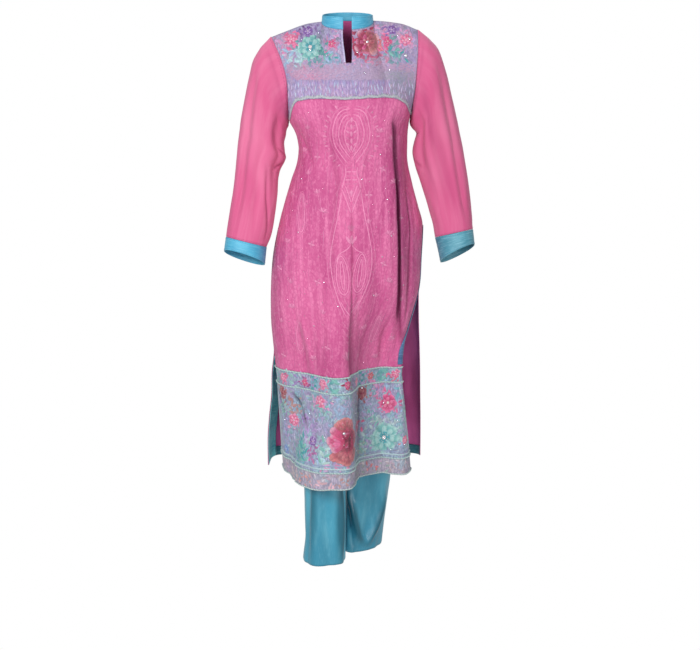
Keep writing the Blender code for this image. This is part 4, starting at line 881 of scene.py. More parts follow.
class Nodes:
    """A short way to write node trees."""

    def __init__(self, name):
        self.material = bpy.data.materials.new(name)
        self.material.use_nodes = True
        self.tree = self.material.node_tree
        self.shader = self.tree.nodes["Principled BSDF"]

    def node(self, kind, **values):
        n = self.tree.nodes.new(kind)
        for key, value in values.items():
            if hasattr(n, key) and not key[0].isupper():
                setattr(n, key, value)
        return n

    def link(self, a, b):
        self.tree.links.new(a, b)
        return b

    def attribute(self, name, out="Vector"):
        return self.node("ShaderNodeAttribute", attribute_name=name).outputs[out]

    def scaled(self, vector, scale, shift=(0, 0, 0)):
        m = self.node("ShaderNodeMapping")
        m.inputs["Scale"].default_value = scale
        m.inputs["Location"].default_value = shift
        self.link(vector, m.inputs["Vector"])
        return m.outputs["Vector"]

    def noise(self, vector, scale=(1, 1, 1), detail=3.0, rough=0.55, shift=(0, 0, 0), warp=0.0):
        n = self.node("ShaderNodeTexNoise")
        n.inputs["Scale"].default_value = 1.0
        n.inputs["Detail"].default_value = detail
        n.inputs["Roughness"].default_value = rough
        n.inputs["Distortion"].default_value = warp
        self.link(self.scaled(vector, scale, shift), n.inputs["Vector"])
        return n.outputs["Fac"]

    def cells(self, vector, scale, feature="F1", out="Distance", random=1.0):
        n = self.node("ShaderNodeTexVoronoi", feature=feature)
        n.inputs["Scale"].default_value = 1.0
        n.inputs["Randomness"].default_value = random
        self.link(self.scaled(vector, scale), n.inputs["Vector"])
        return n.outputs[out]

    def wave(self, vector, axis, period, warp=0.0):
        n = self.node("ShaderNodeTexWave", wave_type="BANDS", bands_direction=axis)
        n.inputs["Scale"].default_value = 0.31416 / period
        n.inputs["Distortion"].default_value = warp
        n.inputs["Detail"].default_value = 1.0
        self.link(vector, n.inputs["Vector"])
        return n.outputs["Fac"]

    def math(self, what, a, b=None, c=None):
        n = self.node("ShaderNodeMath", operation=what)
        for i, x in enumerate((a, b, c)):
            if x is None:
                continue
            if isinstance(x, (int, float)):
                n.inputs[i].default_value = x
            else:
                self.link(x, n.inputs[i])
        return n.outputs[0]

    def ramp(self, x, lo, hi, out_lo=0.0, out_hi=1.0):
        n = self.node("ShaderNodeMapRange", interpolation_type="SMOOTHSTEP")
        for key, value in (("From Min", lo), ("From Max", hi), ("To Min", out_lo), ("To Max", out_hi)):
            n.inputs[key].default_value = value
        self.link(x, n.inputs["Value"])
        return n.outputs["Result"]

    def mix(self, factor, a, b, how="MIX"):
        n = self.node("ShaderNodeMix", data_type="RGBA", blend_type=how)
        for x, key in ((factor, 0), (a, 6), (b, 7)):
            if isinstance(x, (int, float)):
                n.inputs[key].default_value = x
            elif isinstance(x, tuple):
                n.inputs[key].default_value = (*x, 1.0)
            else:
                self.link(x, n.inputs[key])
        return n.outputs[2]

    def bump(self, height, distance, strength=1.0, under=None):
        n = self.node("ShaderNodeBump")
        n.inputs["Strength"].default_value = strength
        n.inputs["Distance"].default_value = distance
        self.link(height, n.inputs["Height"])
        if under is not None:
            self.link(under, n.inputs["Normal"])
        return n.outputs["Normal"]

    def sunk(self, colour, deep, share=0.85):
        """Painted shade: the colour deepened toward deep where the hollow mark says the cloth lies inside a fold."""
        return self.mix(self.math("MULTIPLY", self.attribute("hollow", "Fac"), share), colour, deep)

    def set(self, **sockets):
        for key, value in sockets.items():
            socket = self.shader.inputs[key.replace("_", " ")]
            if isinstance(value, (int, float)):
                socket.default_value = value
            elif isinstance(value, tuple):
                socket.default_value = (*value, 1.0) if len(value) == 3 else value
            else:
                self.link(value, socket)
        return self


def chiffon(name, light, base, shade):
    """Georgette: matt crepe grain, a fine open weave and long soft tonal streaks."""
    n = Nodes(name)
    at = n.attribute("cloth")
    drift = n.noise(at, (9, 3.5, 1), 2.0, 0.5)
    streak = n.noise(at, (70, 5, 1), 3.0, 0.6, warp=0.4)
    grain = n.noise(at, (900, 900, 1), 2.0, 0.6)
    crepe = n.noise(at, (420, 520, 1), 3.0, 0.65, warp=0.8)
    warp_thread = n.wave(at, "X", 0.00062, 0.6)
    weft_thread = n.wave(at, "Y", 0.00070, 0.6)
    colour = n.mix(n.ramp(drift, 0.35, 0.68), shade, base)
    colour = n.mix(n.math("MULTIPLY", n.ramp(streak, 0.42, 0.72), 0.22), colour, light)
    colour = n.mix(n.math("MULTIPLY", n.ramp(grain, 0.45, 0.75), 0.16), colour, light)
    # painted shade in folds, toward a dark rose
    colour = n.sunk(colour, srgb("#A8396C"), 0.8)
    height = n.math("ADD", n.math("MULTIPLY", crepe, 1.0), n.math("MULTIPLY", n.math("ADD", warp_thread, weft_thread), 0.25))
    n.set(Base_Color=colour, Roughness=n.ramp(grain, 0.3, 0.7, 0.72, 0.86), Normal=n.bump(height, 0.00045, 0.55))
    n.set(Sheen_Weight=0.28, Sheen_Roughness=0.45, Specular_IOR_Level=0.25)
    n.shader.inputs["Sheen Tint"].default_value = (1.0, 0.72, 0.86, 1.0)
    return n.material


def jacquard(name, light, base, shade):
    """The worked body cloth: chiffon with a woven tone-on-tone figure in the ground."""
    n = Nodes(name)
    at = n.attribute("cloth")
    drift = n.noise(at, (10, 4, 1), 2.0, 0.5)
    streak = n.noise(at, (95, 7, 1), 3.0, 0.65, warp=0.5)
    mottle = n.noise(at, (150, 90, 1), 3.0, 0.6, warp=1.2)
    petals = n.cells(at, (120, 78, 1), "F1", "Distance", 0.8)
    veins = n.cells(at, (120, 78, 1), "DISTANCE_TO_EDGE", "Distance", 0.8)
    crepe = n.noise(at, (520, 620, 1), 3.0, 0.65)
    warp_thread = n.wave(at, "X", 0.00075, 0.5)
    weft_thread = n.wave(at, "Y", 0.00075, 0.5)
    colour = n.mix(n.ramp(drift, 0.35, 0.66), shade, base)
    colour = n.mix(n.math("MULTIPLY", n.ramp(streak, 0.44, 0.74), 0.60), colour, light)
    colour = n.mix(n.math("MULTIPLY", n.ramp(mottle, 0.48, 0.66), 0.40), colour, light)
    colour = n.mix(n.math("MULTIPLY", n.ramp(veins, 0.16, 0.03), 0.34), colour, shade)
    colour = n.mix(n.math("MULTIPLY", n.ramp(petals, 0.26, 0.08), 0.30), colour, light)
    # painted shade in folds, toward a dark wine
    colour = n.sunk(colour, srgb("#6C1748"), 0.88)
    height = n.math("ADD", n.math("MULTIPLY", n.ramp(veins, 0.0, 0.22), 1.5), n.math("MULTIPLY", crepe, 0.7))
    height = n.math("ADD", height, n.math("MULTIPLY", n.math("ADD", warp_thread, weft_thread), 0.22))
    n.set(Base_Color=colour, Roughness=n.ramp(mottle, 0.35, 0.65, 0.66, 0.50), Normal=n.bump(height, 0.0006, 0.6))
    n.set(Sheen_Weight=0.22, Sheen_Roughness=0.40, Specular_IOR_Level=0.38)
    n.shader.inputs["Sheen Tint"].default_value = (1.0, 0.70, 0.86, 1.0)
    return n.material


def dupion(name, light, base, shade):
    """Plain woven silk with thick and thin weft threads."""
    n = Nodes(name)
    at = n.attribute("cloth")
    drift = n.noise(at, (22, 22, 1), 2.0, 0.5)
    slub = n.noise(at, (34, 620, 1), 3.0, 0.6)
    slub_fine = n.noise(at, (120, 1700, 1), 2.0, 0.6)
    warp_thread = n.wave(at, "X", 0.00055, 0.2)
    colour = n.mix(n.ramp(drift, 0.32, 0.68), shade, base)
    colour = n.mix(n.math("MULTIPLY", n.ramp(slub, 0.46, 0.70), 0.70), colour, light)
    colour = n.mix(n.math("MULTIPLY", n.ramp(slub_fine, 0.5, 0.8), 0.35), colour, light)
    height = n.math("ADD", n.math("MULTIPLY", slub, 1.3), n.math("ADD", n.math("MULTIPLY", slub_fine, 0.7), n.math("MULTIPLY", warp_thread, 0.25)))
    n.set(Base_Color=colour, Roughness=n.ramp(slub, 0.35, 0.7, 0.42, 0.58), Normal=n.bump(height, 0.0004, 0.5))
    n.set(Sheen_Weight=0.25, Sheen_Roughness=0.35, Specular_IOR_Level=0.50)
    n.shader.inputs["Sheen Tint"].default_value = (0.75, 0.95, 1.0, 1.0)
    return n.material


def satin(name, light, base, shade):
    """Smooth satin: long floats along the leg, a broad soft gloss."""
    n = Nodes(name)
    at = n.attribute("cloth")
    drift = n.noise(at, (7, 3, 1), 2.0, 0.5)
    floats = n.noise(at, (1100, 60, 1), 2.0, 0.6)
    pull = n.noise(at, (46, 9, 1), 3.0, 0.55, warp=0.5)
    twill = n.wave(n.scaled(at, (1, 1, 1)), "DIAGONAL", 0.0009, 0.3)
    colour = n.mix(n.ramp(drift, 0.34, 0.66), shade, base)
    colour = n.mix(n.math("MULTIPLY", n.ramp(pull, 0.46, 0.74), 0.22), colour, light)
    colour = n.mix(n.math("MULTIPLY", n.ramp(floats, 0.5, 0.8), 0.22), colour, light)
    # painted shade in folds, toward a dark teal
    colour = n.sunk(colour, srgb("#0B5468"), 0.84)
    height = n.math("ADD", n.math("MULTIPLY", floats, 0.5), n.math("ADD", n.math("MULTIPLY", twill, 0.12), n.math("MULTIPLY", pull, 0.9)))
    n.set(Base_Color=colour, Roughness=n.ramp(floats, 0.3, 0.8, 0.30, 0.42), Normal=n.bump(height, 0.00035, 0.45))
    n.set(Sheen_Weight=0.20, Sheen_Roughness=0.30, Specular_IOR_Level=0.60, Anisotropic=0.45)
    n.shader.inputs["Sheen Tint"].default_value = (0.70, 0.95, 1.0, 1.0)
    return n.material


def worked(name, one, two, three, shade):
    """Ground of the embroidered pieces: closely filled with short stitches that drift
    between three pale colours."""
    n = Nodes(name)
    at = n.attribute("cloth")
    where = n.noise(at, (17, 14, 1), 2.0, 0.5, warp=0.6)
    patch = n.noise(at, (30, 22, 1), 2.0, 0.5, shift=(4, 9, 0), warp=0.8)
    stitch = n.noise(at, (260, 60, 1), 3.0, 0.6, warp=0.3)
    cell = n.cells(at, (240, 95, 1), "DISTANCE_TO_EDGE", "Distance", 0.9)
    grain = n.noise(at, (900, 700, 1), 2.0, 0.6)
    colour = n.mix(n.ramp(where, 0.38, 0.62), one, two)
    colour = n.mix(n.ramp(patch, 0.50, 0.66), colour, three)
    colour = n.mix(n.math("MULTIPLY", n.ramp(cell, 0.14, 0.02), 0.70), colour, shade)
    colour = n.mix(n.math("MULTIPLY", n.ramp(stitch, 0.36, 0.52, 1.0, 0.0), 0.58), colour, shade)
    colour = n.mix(n.math("MULTIPLY", n.ramp(stitch, 0.55, 0.75), 0.30), colour, (0.80, 0.84, 0.92))
    # painted shade in folds, toward a dark grey-violet
    colour = n.sunk(colour, srgb("#3A3048"), 0.8)
    height = n.math("ADD", n.math("MULTIPLY", n.ramp(cell, 0.0, 0.25), 1.2), n.math("ADD", n.math("MULTIPLY", stitch, 1.0), n.math("MULTIPLY", grain, 0.4)))
    n.set(Base_Color=colour, Roughness=n.ramp(grain, 0.3, 0.7, 0.52, 0.70), Normal=n.bump(height, 0.0007, 0.6))
    n.set(Sheen_Weight=0.25, Sheen_Roughness=0.40, Specular_IOR_Level=0.40)
    n.shader.inputs["Sheen Tint"].default_value = (0.92, 0.94, 1.0, 1.0)
    return n.material


def threads(name, gloss=0.42, specular=0.5):
    """Embroidery thread: its colour is on the mesh, its lay runs along `lay`."""
    n = Nodes(name)
    lay = n.attribute("lay")
    tint = n.attribute("thread", "Color")
    strand = n.wave(lay, "Y", 0.00062, 0.25)
    fray = n.noise(lay, (120, 1500, 1), 2.0, 0.6)
    colour = n.mix(n.math("MULTIPLY", n.ramp(strand, 0.55, 0.05), 0.30), tint, (0.10, 0.06, 0.12), "MIX")
    colour = n.mix(n.math("MULTIPLY", n.ramp(fray, 0.5, 0.8), 0.25), colour, (0.96, 0.93, 0.97))
    height = n.math("ADD", strand, n.math("MULTIPLY", fray, 0.5))
    n.set(Base_Color=colour, Roughness=gloss, Normal=n.bump(height, 0.00022, 0.7))
    n.set(Sheen_Weight=0.30, Sheen_Roughness=0.30, Specular_IOR_Level=specular)
    return n.material


def stones(name):
    """Rhinestones and sequins, foiled behind."""
    n = Nodes(name)
    tint = n.attribute("thread", "Color")
    lay = n.attribute("lay")
    flash = n.noise(lay, (40, 40, 40), 1.0, 0.5)
    n.set(Base_Color=n.mix(n.math("MULTIPLY", n.ramp(flash, 0.4, 0.7), 0.35), tint, (0.98, 0.98, 1.0)), Metallic=0.85, Roughness=0.12)
    n.set(Specular_IOR_Level=0.9)
    return n.material


def lining(name, light, base, shade):
    """The wrong side of a cloth: plain, matt, with the weave just showing."""
    n = Nodes(name)
    at = n.attribute("cloth")
    drift = n.noise(at, (16, 6, 1), 2.0, 0.5)
    grain = n.noise(at, (500, 620, 1), 3.0, 0.6)
    weave = n.wave(at, "Y", 0.00080, 0.4)
    colour = n.mix(n.ramp(drift, 0.35, 0.66), shade, base)
    colour = n.mix(n.math("MULTIPLY", n.ramp(grain, 0.46, 0.72), 0.35), colour, light)
    height = n.math("ADD", grain, n.math("MULTIPLY", weave, 0.3))
    n.set(Base_Color=colour, Roughness=n.ramp(grain, 0.3, 0.7, 0.78, 0.90), Normal=n.bump(height, 0.0004, 0.5))
    n.set(Sheen_Weight=0.10, Sheen_Roughness=0.50, Specular_IOR_Level=0.18)
    return n.material


PINK_CHIFFON = chiffon("pink_chiffon", srgb("#F496B8"), srgb("#E67AA2"), srgb("#D65C8C"))
PINK_JACQUARD = jacquard("pink_jacquard", srgb("#F48EBC"), srgb("#E06CA2"), srgb("#C24E88"))
BACK_CHIFFON = chiffon("back_chiffon", srgb("#E47AA8"), srgb("#D2588E"), srgb("#B84078"))
# painted light: the back's inside, paler than its outside cloth to make up for the shade that falls there
BACK_INSIDE_PAINTED_LIGHT = lining("back_lining", srgb("#EE86BC"), srgb("#D8609F"), srgb("#B4487F"))
# painted shade: the front's inside, a darker copy of its pink, standing in for the shade inside the garment
PINK_INSIDE_PAINTED_SHADE = lining("pink_inside", srgb("#B65A86"), srgb("#9C4070"), srgb("#7E2C58"))
GREY_INSIDE = lining("grey_inside", srgb("#9A93AC"), srgb("#7F7896"), srgb("#66607E"))
# painted light: a much paler copy of the aqua facing silk, lightened to make up for the shade inside the back
BACK_FACING_PAINTED_LIGHT = dupion("back_facing_dupion", srgb("#BCFCFC"), srgb("#8CF2F4"), srgb("#62CCD6"))
# painted shade: a dark copy of the aqua facing silk for the back's hem facing, which lies in shadow inside the back
HEM_FACING_PAINTED_SHADE = dupion("hem_facing_dupion", srgb("#62A2AE"), srgb("#347482"), srgb("#1E4E5C"))
FACING = dupion("facing_dupion", srgb("#86A4CC"), srgb("#4E78A4"), srgb("#2E4C78"))
AQUA_SILK = dupion("aqua_dupion", srgb("#84D2EA"), srgb("#50B5D8"), srgb("#3A9EC4"))
# painted shade: a darker, duller copy of the aqua dupion for the right cuff only, standing in for its shadow
RIGHT_CUFF_SILK_PAINTED_SHADE = dupion("cuff_dupion", srgb("#8EC6D6"), srgb("#549CB0"), srgb("#3C849A"))
TEAL_SATIN = satin("aqua_satin", srgb("#92DCEE"), srgb("#58B6D0"), srgb("#378CA8"))
GROUND = worked("worked_ground", srgb("#A9BCD0"), srgb("#B6ACCB"), srgb("#93C0C8"), srgb("#727B99"))
HEM_GROUND = worked("worked_hem", srgb("#BDB0BE"), srgb("#B6AAC2"), srgb("#A8B8C6"), srgb("#807E94"))
YOKE_GROUND = worked("worked_yoke", srgb("#BBA4C2"), srgb("#A9A4C8"), srgb("#C6A0BC"), srgb("#8E7EA2"))
THREAD = threads("embroidery_thread")
FLOSS = threads("damask_floss", 0.50, 0.35)
BRAID = threads("braid_thread", 0.48, 0.4)
STONE = stones("rhinestones")


# ------------------------------------------------------------------- pieces
EDGE = 0.0006                      # side seam set back, as a share of the width
TOP = 0.0003                       # shoulder seam and neck edge set back
LIFT = 0.0020                      # a laid-on strip, from mid wall to mid wall


def count(n):
    return max(3, int(round(n * FINE)) + 1)


def flat_front(s, t):
    return (s - front.middle(t)) * front.width(t), t


def flat_back(s, t):
    return (s - back.middle(t)) * back.width(t), t


def dress(o, node):
    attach(o, "root")
    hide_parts(node)
    return o


def keep(o, node):
    dress(o, node)
    return o


def slit_left(panel, t):
    """The neck slit's left edge, which leans in toward the foot."""
    return slit_edge(panel, t, -1) + 0.0050 * smooth(0.010, 0.083, t) * (1 - smooth(0.084, 0.125, t)) / panel.width(t)


def stations(panel, u, t):
    """Columns that stay clear of the neck slit: the middle two follow its edges."""
    left, right = slit_left(panel, t), slit_edge(panel, t, 1)
    return np.where(u <= 0.5, EDGE + (left - EDGE) * u / 0.5, right + (1 - EDGE - right) * (u - 0.5) / 0.5)


half = count(66) - 1
yoke_u = np.concatenate([np.linspace(0, 0.5, half + 1), np.linspace(0.5, 1, half + 1) + 1e-9])
slit_rows = count(28)
yoke_v = np.concatenate([np.linspace(0, 0.488, slit_rows), np.linspace(0.488, 1, count(30))[1:]])


def yoke_st(u, v):
    s = stations(front, u, 0.17 * v)
    t = TOP + (yoke_edge(s) - GAP / 2 - TOP) * v
    return stations(front, u, t), t


def yoke_hole(u, v):
    j = np.arange(u.shape[0] - 1)[:, None]
    i = np.arange(u.shape[1] - 1)[None, :]
    return (i == half) & (j < slit_rows - 1)


keep(shell("front_yoke", lambda u, v: front_skin(*yoke_st(u, v)), yoke_u, yoke_v,
           lambda u, v: flat_front(*yoke_st(u, v)), YOKE_GROUND, skip=yoke_hole, far=GREY_INSIDE), "kameez_front_yoke")


def between(high, low):
    def st(u, v):
        a = high(u) if callable(high) else high
        b = low(u) if callable(low) else low
        return u, a + (b - a) * v
    return st


FRONT_GATHER = ((0.810, 0.070, 1.5), (0.530, 0.030, 0.7))


def front_piece(name, node, high, low, columns, rows, material, far):
    st = between(high, low)
    across = EDGE + (1 - 2 * EDGE) * gathered(count(columns) - 1, FRONT_GATHER)
    # the hollow mark is painted shade, read by the material
    keep(shell(name, lambda u, v: front_skin(*st(u, v)), across, np.linspace(0, 1, count(rows)),
               lambda u, v: flat_front(*st(u, v)), material, far=far, marks={"hollow": lambda u, v: triple(front_painted_shade(*flat_front(*st(u, v))))}), node)


front_piece("front_panel", "kameez_front_panel", lambda s: yoke_edge(s) + GAP, BORDER_TOP - GAP / 2, 250, 160, PINK_JACQUARD, PINK_INSIDE_PAINTED_SHADE)
front_piece("front_band", "kameez_front_band", BORDER_TOP + GAP / 2, BAND_LOW - GAP / 2, 220, 12, GROUND, GREY_INSIDE)
front_piece("front_border", "kameez_front_border", BAND_LOW + GAP / 2, BORDER_LOW - GAP / 2, 220, 66, GROUND, GREY_INSIDE)
front_piece("front_hem_band", "kameez_front_hem_band", BORDER_LOW + GAP / 2, HEM, 220, 13, HEM_GROUND, GREY_INSIDE)

keep(shell("back_panel", lambda u, v: back_skin(u, TOP + (BACK_HEM - TOP) * v), np.linspace(EDGE, 1 - EDGE, count(120)), np.linspace(0, 1, count(200)),
           lambda u, v: flat_back(u, TOP + (BACK_HEM - TOP) * v), BACK_INSIDE_PAINTED_LIGHT, far=BACK_CHIFFON), "kameez_back_panel")


def strip(name, node, skin, flat, lift, low_s, high_s, high_t, low_t, columns, rows, material, thick=0.0010):
    """A strip that lies on a panel, lifted along its normal."""
    def st(u, v):
        t = high_t + (low_t - high_t) * v
        a = low_s(t) if callable(low_s) else low_s
        b = high_s(t) if callable(high_s) else high_s
        return a + (b - a) * u, t
    keep(shell(name, lambda u, v: skin(*st(u, v), lift), np.linspace(0, 1, columns), np.linspace(0, 1, count(rows)),
               lambda u, v: flat(*st(u, v)), material, thick), node)


strip("front_slit_facing", "kameez_front_slit_facing", front_skin, flat_front, LIFT,
      lambda t: 1 - 0.018 / front.width(t), 0.9990, SLIT_TOP + 0.004, 0.800, 7, 110, FACING)
strip("neck_slit_piping", "kameez_neck_slit_piping", front_skin, flat_front, 0.0021,
      lambda t: slit_left(front, t) - 0.0036 / front.width(t), lambda t: slit_left(front, t) - 0.0004 / front.width(t),
      0.003, NECK_SLIT - 0.001, 5, 40, dupion("piping_silk", srgb("#E6DCF2"), srgb("#C9BCE0"), srgb("#A79CC8")))
back_second = EDGE + 2 * (1 - 2 * EDGE) / 18
strip("back_slit_facing", "kameez_back_slit_facing", back_skin, flat_back, -LIFT,
      EDGE, back_second - 0.0010, 0.60, BACK_HEM - 0.0008, 13, 130, BACK_FACING_PAINTED_LIGHT)
# the hem facing wears the painted-shade copy of the facing silk
strip("back_hem_facing", "kameez_back_hem_facing", back_skin, flat_back, -LIFT,
      back_second + 0.0010, 1 - EDGE, BACK_HEM - 0.0260, BACK_HEM - 0.0008, count(110), 9, HEM_FACING_PAINTED_SHADE)

def seated(side, u, v):
    """The sleeve, its top edge drawn up to the armhole's."""
    top = sleeve_skin(side, u, 0 * v)
    up = top - sleeve_skin(side, u, 0 * v + 0.006)
    up = up / np.linalg.norm(up, axis=-1, keepdims=True)
    return sleeve_skin(side, u, v) + up * (0.0018 * (1 - smooth(0.0, 0.016, v)))[..., None]


around = np.linspace(0, 1, count(110))
for side, rows in (("left", CUFF_L), ("right", CUFF_R)):
    # the sleeve's hollow mark is painted shade, read by the material
    keep(shell("sleeve_" + side, lambda u, v, side=side: seated(side, u, v), around, np.linspace(0, 0.501, count(110)),
               lambda u, v: (np.abs(u - 0.5) * 0.34, v), PINK_CHIFFON, ring=True, marks={"hollow": lambda u, v, side=side: triple(sleeve_painted_shade(side, u, v))}), "kameez_sleeve_" + side)
    # the right cuff wears the painted-shade copy of the aqua dupion
    keep(shell("cuff_" + side, lambda u, v, rows=rows: tube(rows, u, v), around, np.linspace(0, 0.036, count(16)),
               lambda u, v: (np.abs(u - 0.5) * 0.27, v), AQUA_SILK if side == "left" else RIGHT_CUFF_SILK_PAINTED_SHADE, ring=True), "kameez_cuff_" + side)

COLLAR_FLAT = 0.0270               # height of the collar's cloth
COLLAR_OPEN = 0.0100               # half of its opening


def collar(u, v, out=0.0):
    a0 = np.arcsin(COLLAR_OPEN / NECK_X)
    a = a0 + u * (2 * pi - 2 * a0)               # 0 at centre front, pi at centre back
    ahead = np.cos(a) > 0
    lean = 1.0 - 0.030 * v
    grow = 1.0 + out / 0.056
    x = NECK_MID - NECK_X * 0.992 * lean * grow * np.sin(a)
    shoulder_y = column(SHOULDER, "y", -NECK_X)
    reach = np.where(ahead, NECK_FRONT, NECK_BACK)
    y = shoulder_y * (1 - np.abs(np.cos(a))) + reach * 0.992 * lean * grow * np.abs(np.cos(a))
    side = (1 + np.sin(-a)) / 2
    z0 = column(SHOULDER, "z", -NECK_X) * (1 - side) + column(SHOULDER, "z", NECK_X) * side
    low = np.where(ahead, -0.0135, 0.0130)
    foot = z0 + (low - z0) * np.abs(np.cos(a))**0.8 - 0.0012
    rim = 0.0155 + 0.127 * (y + 0.0493) + 0.060 * np.maximum(y - 0.004, 0.0)
    return np.stack([x, y, foot + (rim - foot) * v], -1)


keep(shell("collar", collar, np.linspace(0, 1, count(130)), np.linspace(0, 1, count(10)),
           lambda u, v: (u * 0.33, v * COLLAR_FLAT), AQUA_SILK), "kameez_collar")

for side in ("left", "right"):
    # the leg's hollow mark is painted shade, read by the material
    keep(shell("salwar_" + side, lambda u, v, side=side: leg_skin(side, u, v), np.linspace(0, 1, count(104)), np.linspace(-0.42, -1.285, count(170)),
               lambda u, v: (u * 0.36, -v), TEAL_SATIN, marks={"hollow": lambda u, v, side=side: triple(leg_painted_shade(side, u, v))}), "salwar_leg_" + side)


def waistband(u, v):
    a = 2 * pi * u
    n = 2 / 2.2
    e = np.sign(np.cos(a)) * np.abs(np.cos(a))**n
    f = np.sign(np.sin(a)) * np.abs(np.sin(a))**n
    gather = 1 + 0.008 * np.sin(2 * pi * u * 96 + 1.2 * np.sin(7 * a)) * np.sin(pi * np.clip((v - 0.12) / 0.76, 0, 1))
    x = 0.0075 - 0.1255 * e * gather
    y = -np.where(f > 0, 0.082, 0.066) * f * gather
    return np.stack([x, y, -0.3840 - 0.0350 * v], -1)


keep(shell("salwar_waistband", waistband, np.linspace(0, 1, count(400)), np.linspace(0, 1, count(8)),
           lambda u, v: (u * 0.68, v * 0.035), TEAL_SATIN, thick=0.0024, ring=True), "salwar_waistband")


# --------------------------------------------------------------- embroidery
SUNK = 0.00060                     # edges of raised work, just inside the cloth's face
PALE_MINT, MINT, TEAL_THREAD, DEEP_TEAL = srgb("#BFEADF"), srgb("#86D2C4"), srgb("#4FB6B8"), srgb("#2C8F9A")
SKY, BLUE, DEEP_BLUE = srgb("#A9D2EC"), srgb("#6E9BE0"), srgb("#3F63B8")
LILAC, LAVENDER, PURPLE, PLUM = srgb("#CDBCE6"), srgb("#AE9AD2"), srgb("#8A63B4"), srgb("#6C3E86")
BLUSH, ROSE, HOT_PINK, CRIMSON, WINE = srgb("#F8C6D8"), srgb("#F08CB4"), srgb("#EE5E98"), srgb("#D03A68"), srgb("#962348")
CORAL, SALMON, SAND, IVORY = srgb("#E87E84"), srgb("#F2A29C"), srgb("#CDB6AE"), srgb("#F2EAE4")
GREY, SLATE = srgb("#A6AEC0"), srgb("#7F88A4")
FLOSS_LIGHT, FLOSS_MID, FLOSS_DARK = srgb("#F698C2"), srgb("#E57DAD"), srgb("#C2568E")

dice = np.random.default_rng(11)


def blend_tint(a, b, f):
    f = np.asarray(f, float)[..., None]
    return np.asarray(a) * (1 - f) + np.asarray(b) * f


def petal(heap, at, angle, length, width, inner, outer, p=0.62, q=0.42, crown=0.0011, base=0.0, bend=0.0, rows=8, cols=7,
          tip=None, notch=0.0, frill=0.0, vein=0.0):
    """A satin-stitched petal or leaf rooted at `at`; angle 0 points up the cloth."""
    a = np.linspace(0, 1, rows)[:, None]
    b = np.linspace(-1, 1, cols)[None, :]
    peak = (p / (p + q))**p * (q / (p + q))**q
    w = width / 2 * np.clip(a, 0.0, 1)**p * np.clip(1 - a, 0.0, 1)**q / peak
    w = np.maximum(w, width * 0.02)
    if frill:
        w = w * (1 + frill * np.sin(a * 14 + dice.uniform(0, 6)))
    run = length * a * (1 - notch * (1 - np.abs(b)) * a**6)
    side = w * b + bend * length * np.sin(pi * a * 0.5)**2
    ca, sa = np.cos(angle), np.sin(angle)
    x = at[0] + run * sa + side * ca
    y = at[1] - run * ca + side * sa
    arch = (1 - np.abs(b)**2.2) * np.clip(np.sin(pi * np.clip(a * 0.96 + 0.02, 0, 1)), 0, 1)**0.5
    h = SUNK + base + (crown + 0.0002) * arch
    tone = blend_tint(inner, outer, np.clip(a**0.9 + 0 * b, 0, 1))
    if tip is not None:
        tone = blend_tint(tone, tip, (smooth(0.68, 1.0, a) + 0 * b) * 0.85) if np.ndim(tip) == 1 else tone
    lines = 1 + 0.10 * np.sin(np.linspace(0, cols * 2.4, cols) + dice.uniform(0, 6))[None, :, None] + dice.normal(0, 0.035, (rows, cols, 1))
    edge = 1 - (0.22 + 0.5 * vein) * (np.abs(b)**4)[..., None]
    if vein:
        lines = lines * (1 - vein * np.exp(-(b / 0.16)**2)[..., None]) * (1 + 0.5 * vein * np.sin(b * 17 + 2.0)[..., None])
        tone = tone * (1 - 0.35 * vein * (1 + np.sin(a * 19 + dice.uniform(0, 6)))[..., None])
    heap.grid(x, y, h, np.clip(tone * lines * edge, 0, 1), run, w * b + dice.uniform(0, 0.01))


def curve(points, n):
    """A smooth line through a few points."""
    p = np.asarray(points, float)
    step = np.concatenate([[0], np.cumsum(np.linalg.norm(np.diff(p, axis=0), axis=1))])
    at = np.linspace(0, step[-1], n)
    slope = np.gradient(p, step, axis=0) if len(p) > 2 else np.repeat((p[1:] - p[:1]) / step[-1], 2, 0)
    i = np.clip(np.searchsorted(step, at) - 1, 0, len(p) - 2)
    h = (step[i + 1] - step[i])[:, None]
    u = ((at - step[i])[:, None] / h)
    return ((2 * u**3 - 3 * u**2 + 1) * p[i] + (u**3 - 2 * u**2 + u) * h * slope[i]
            + (-2 * u**3 + 3 * u**2) * p[i + 1] + (u**3 - u**2) * h * slope[i + 1])


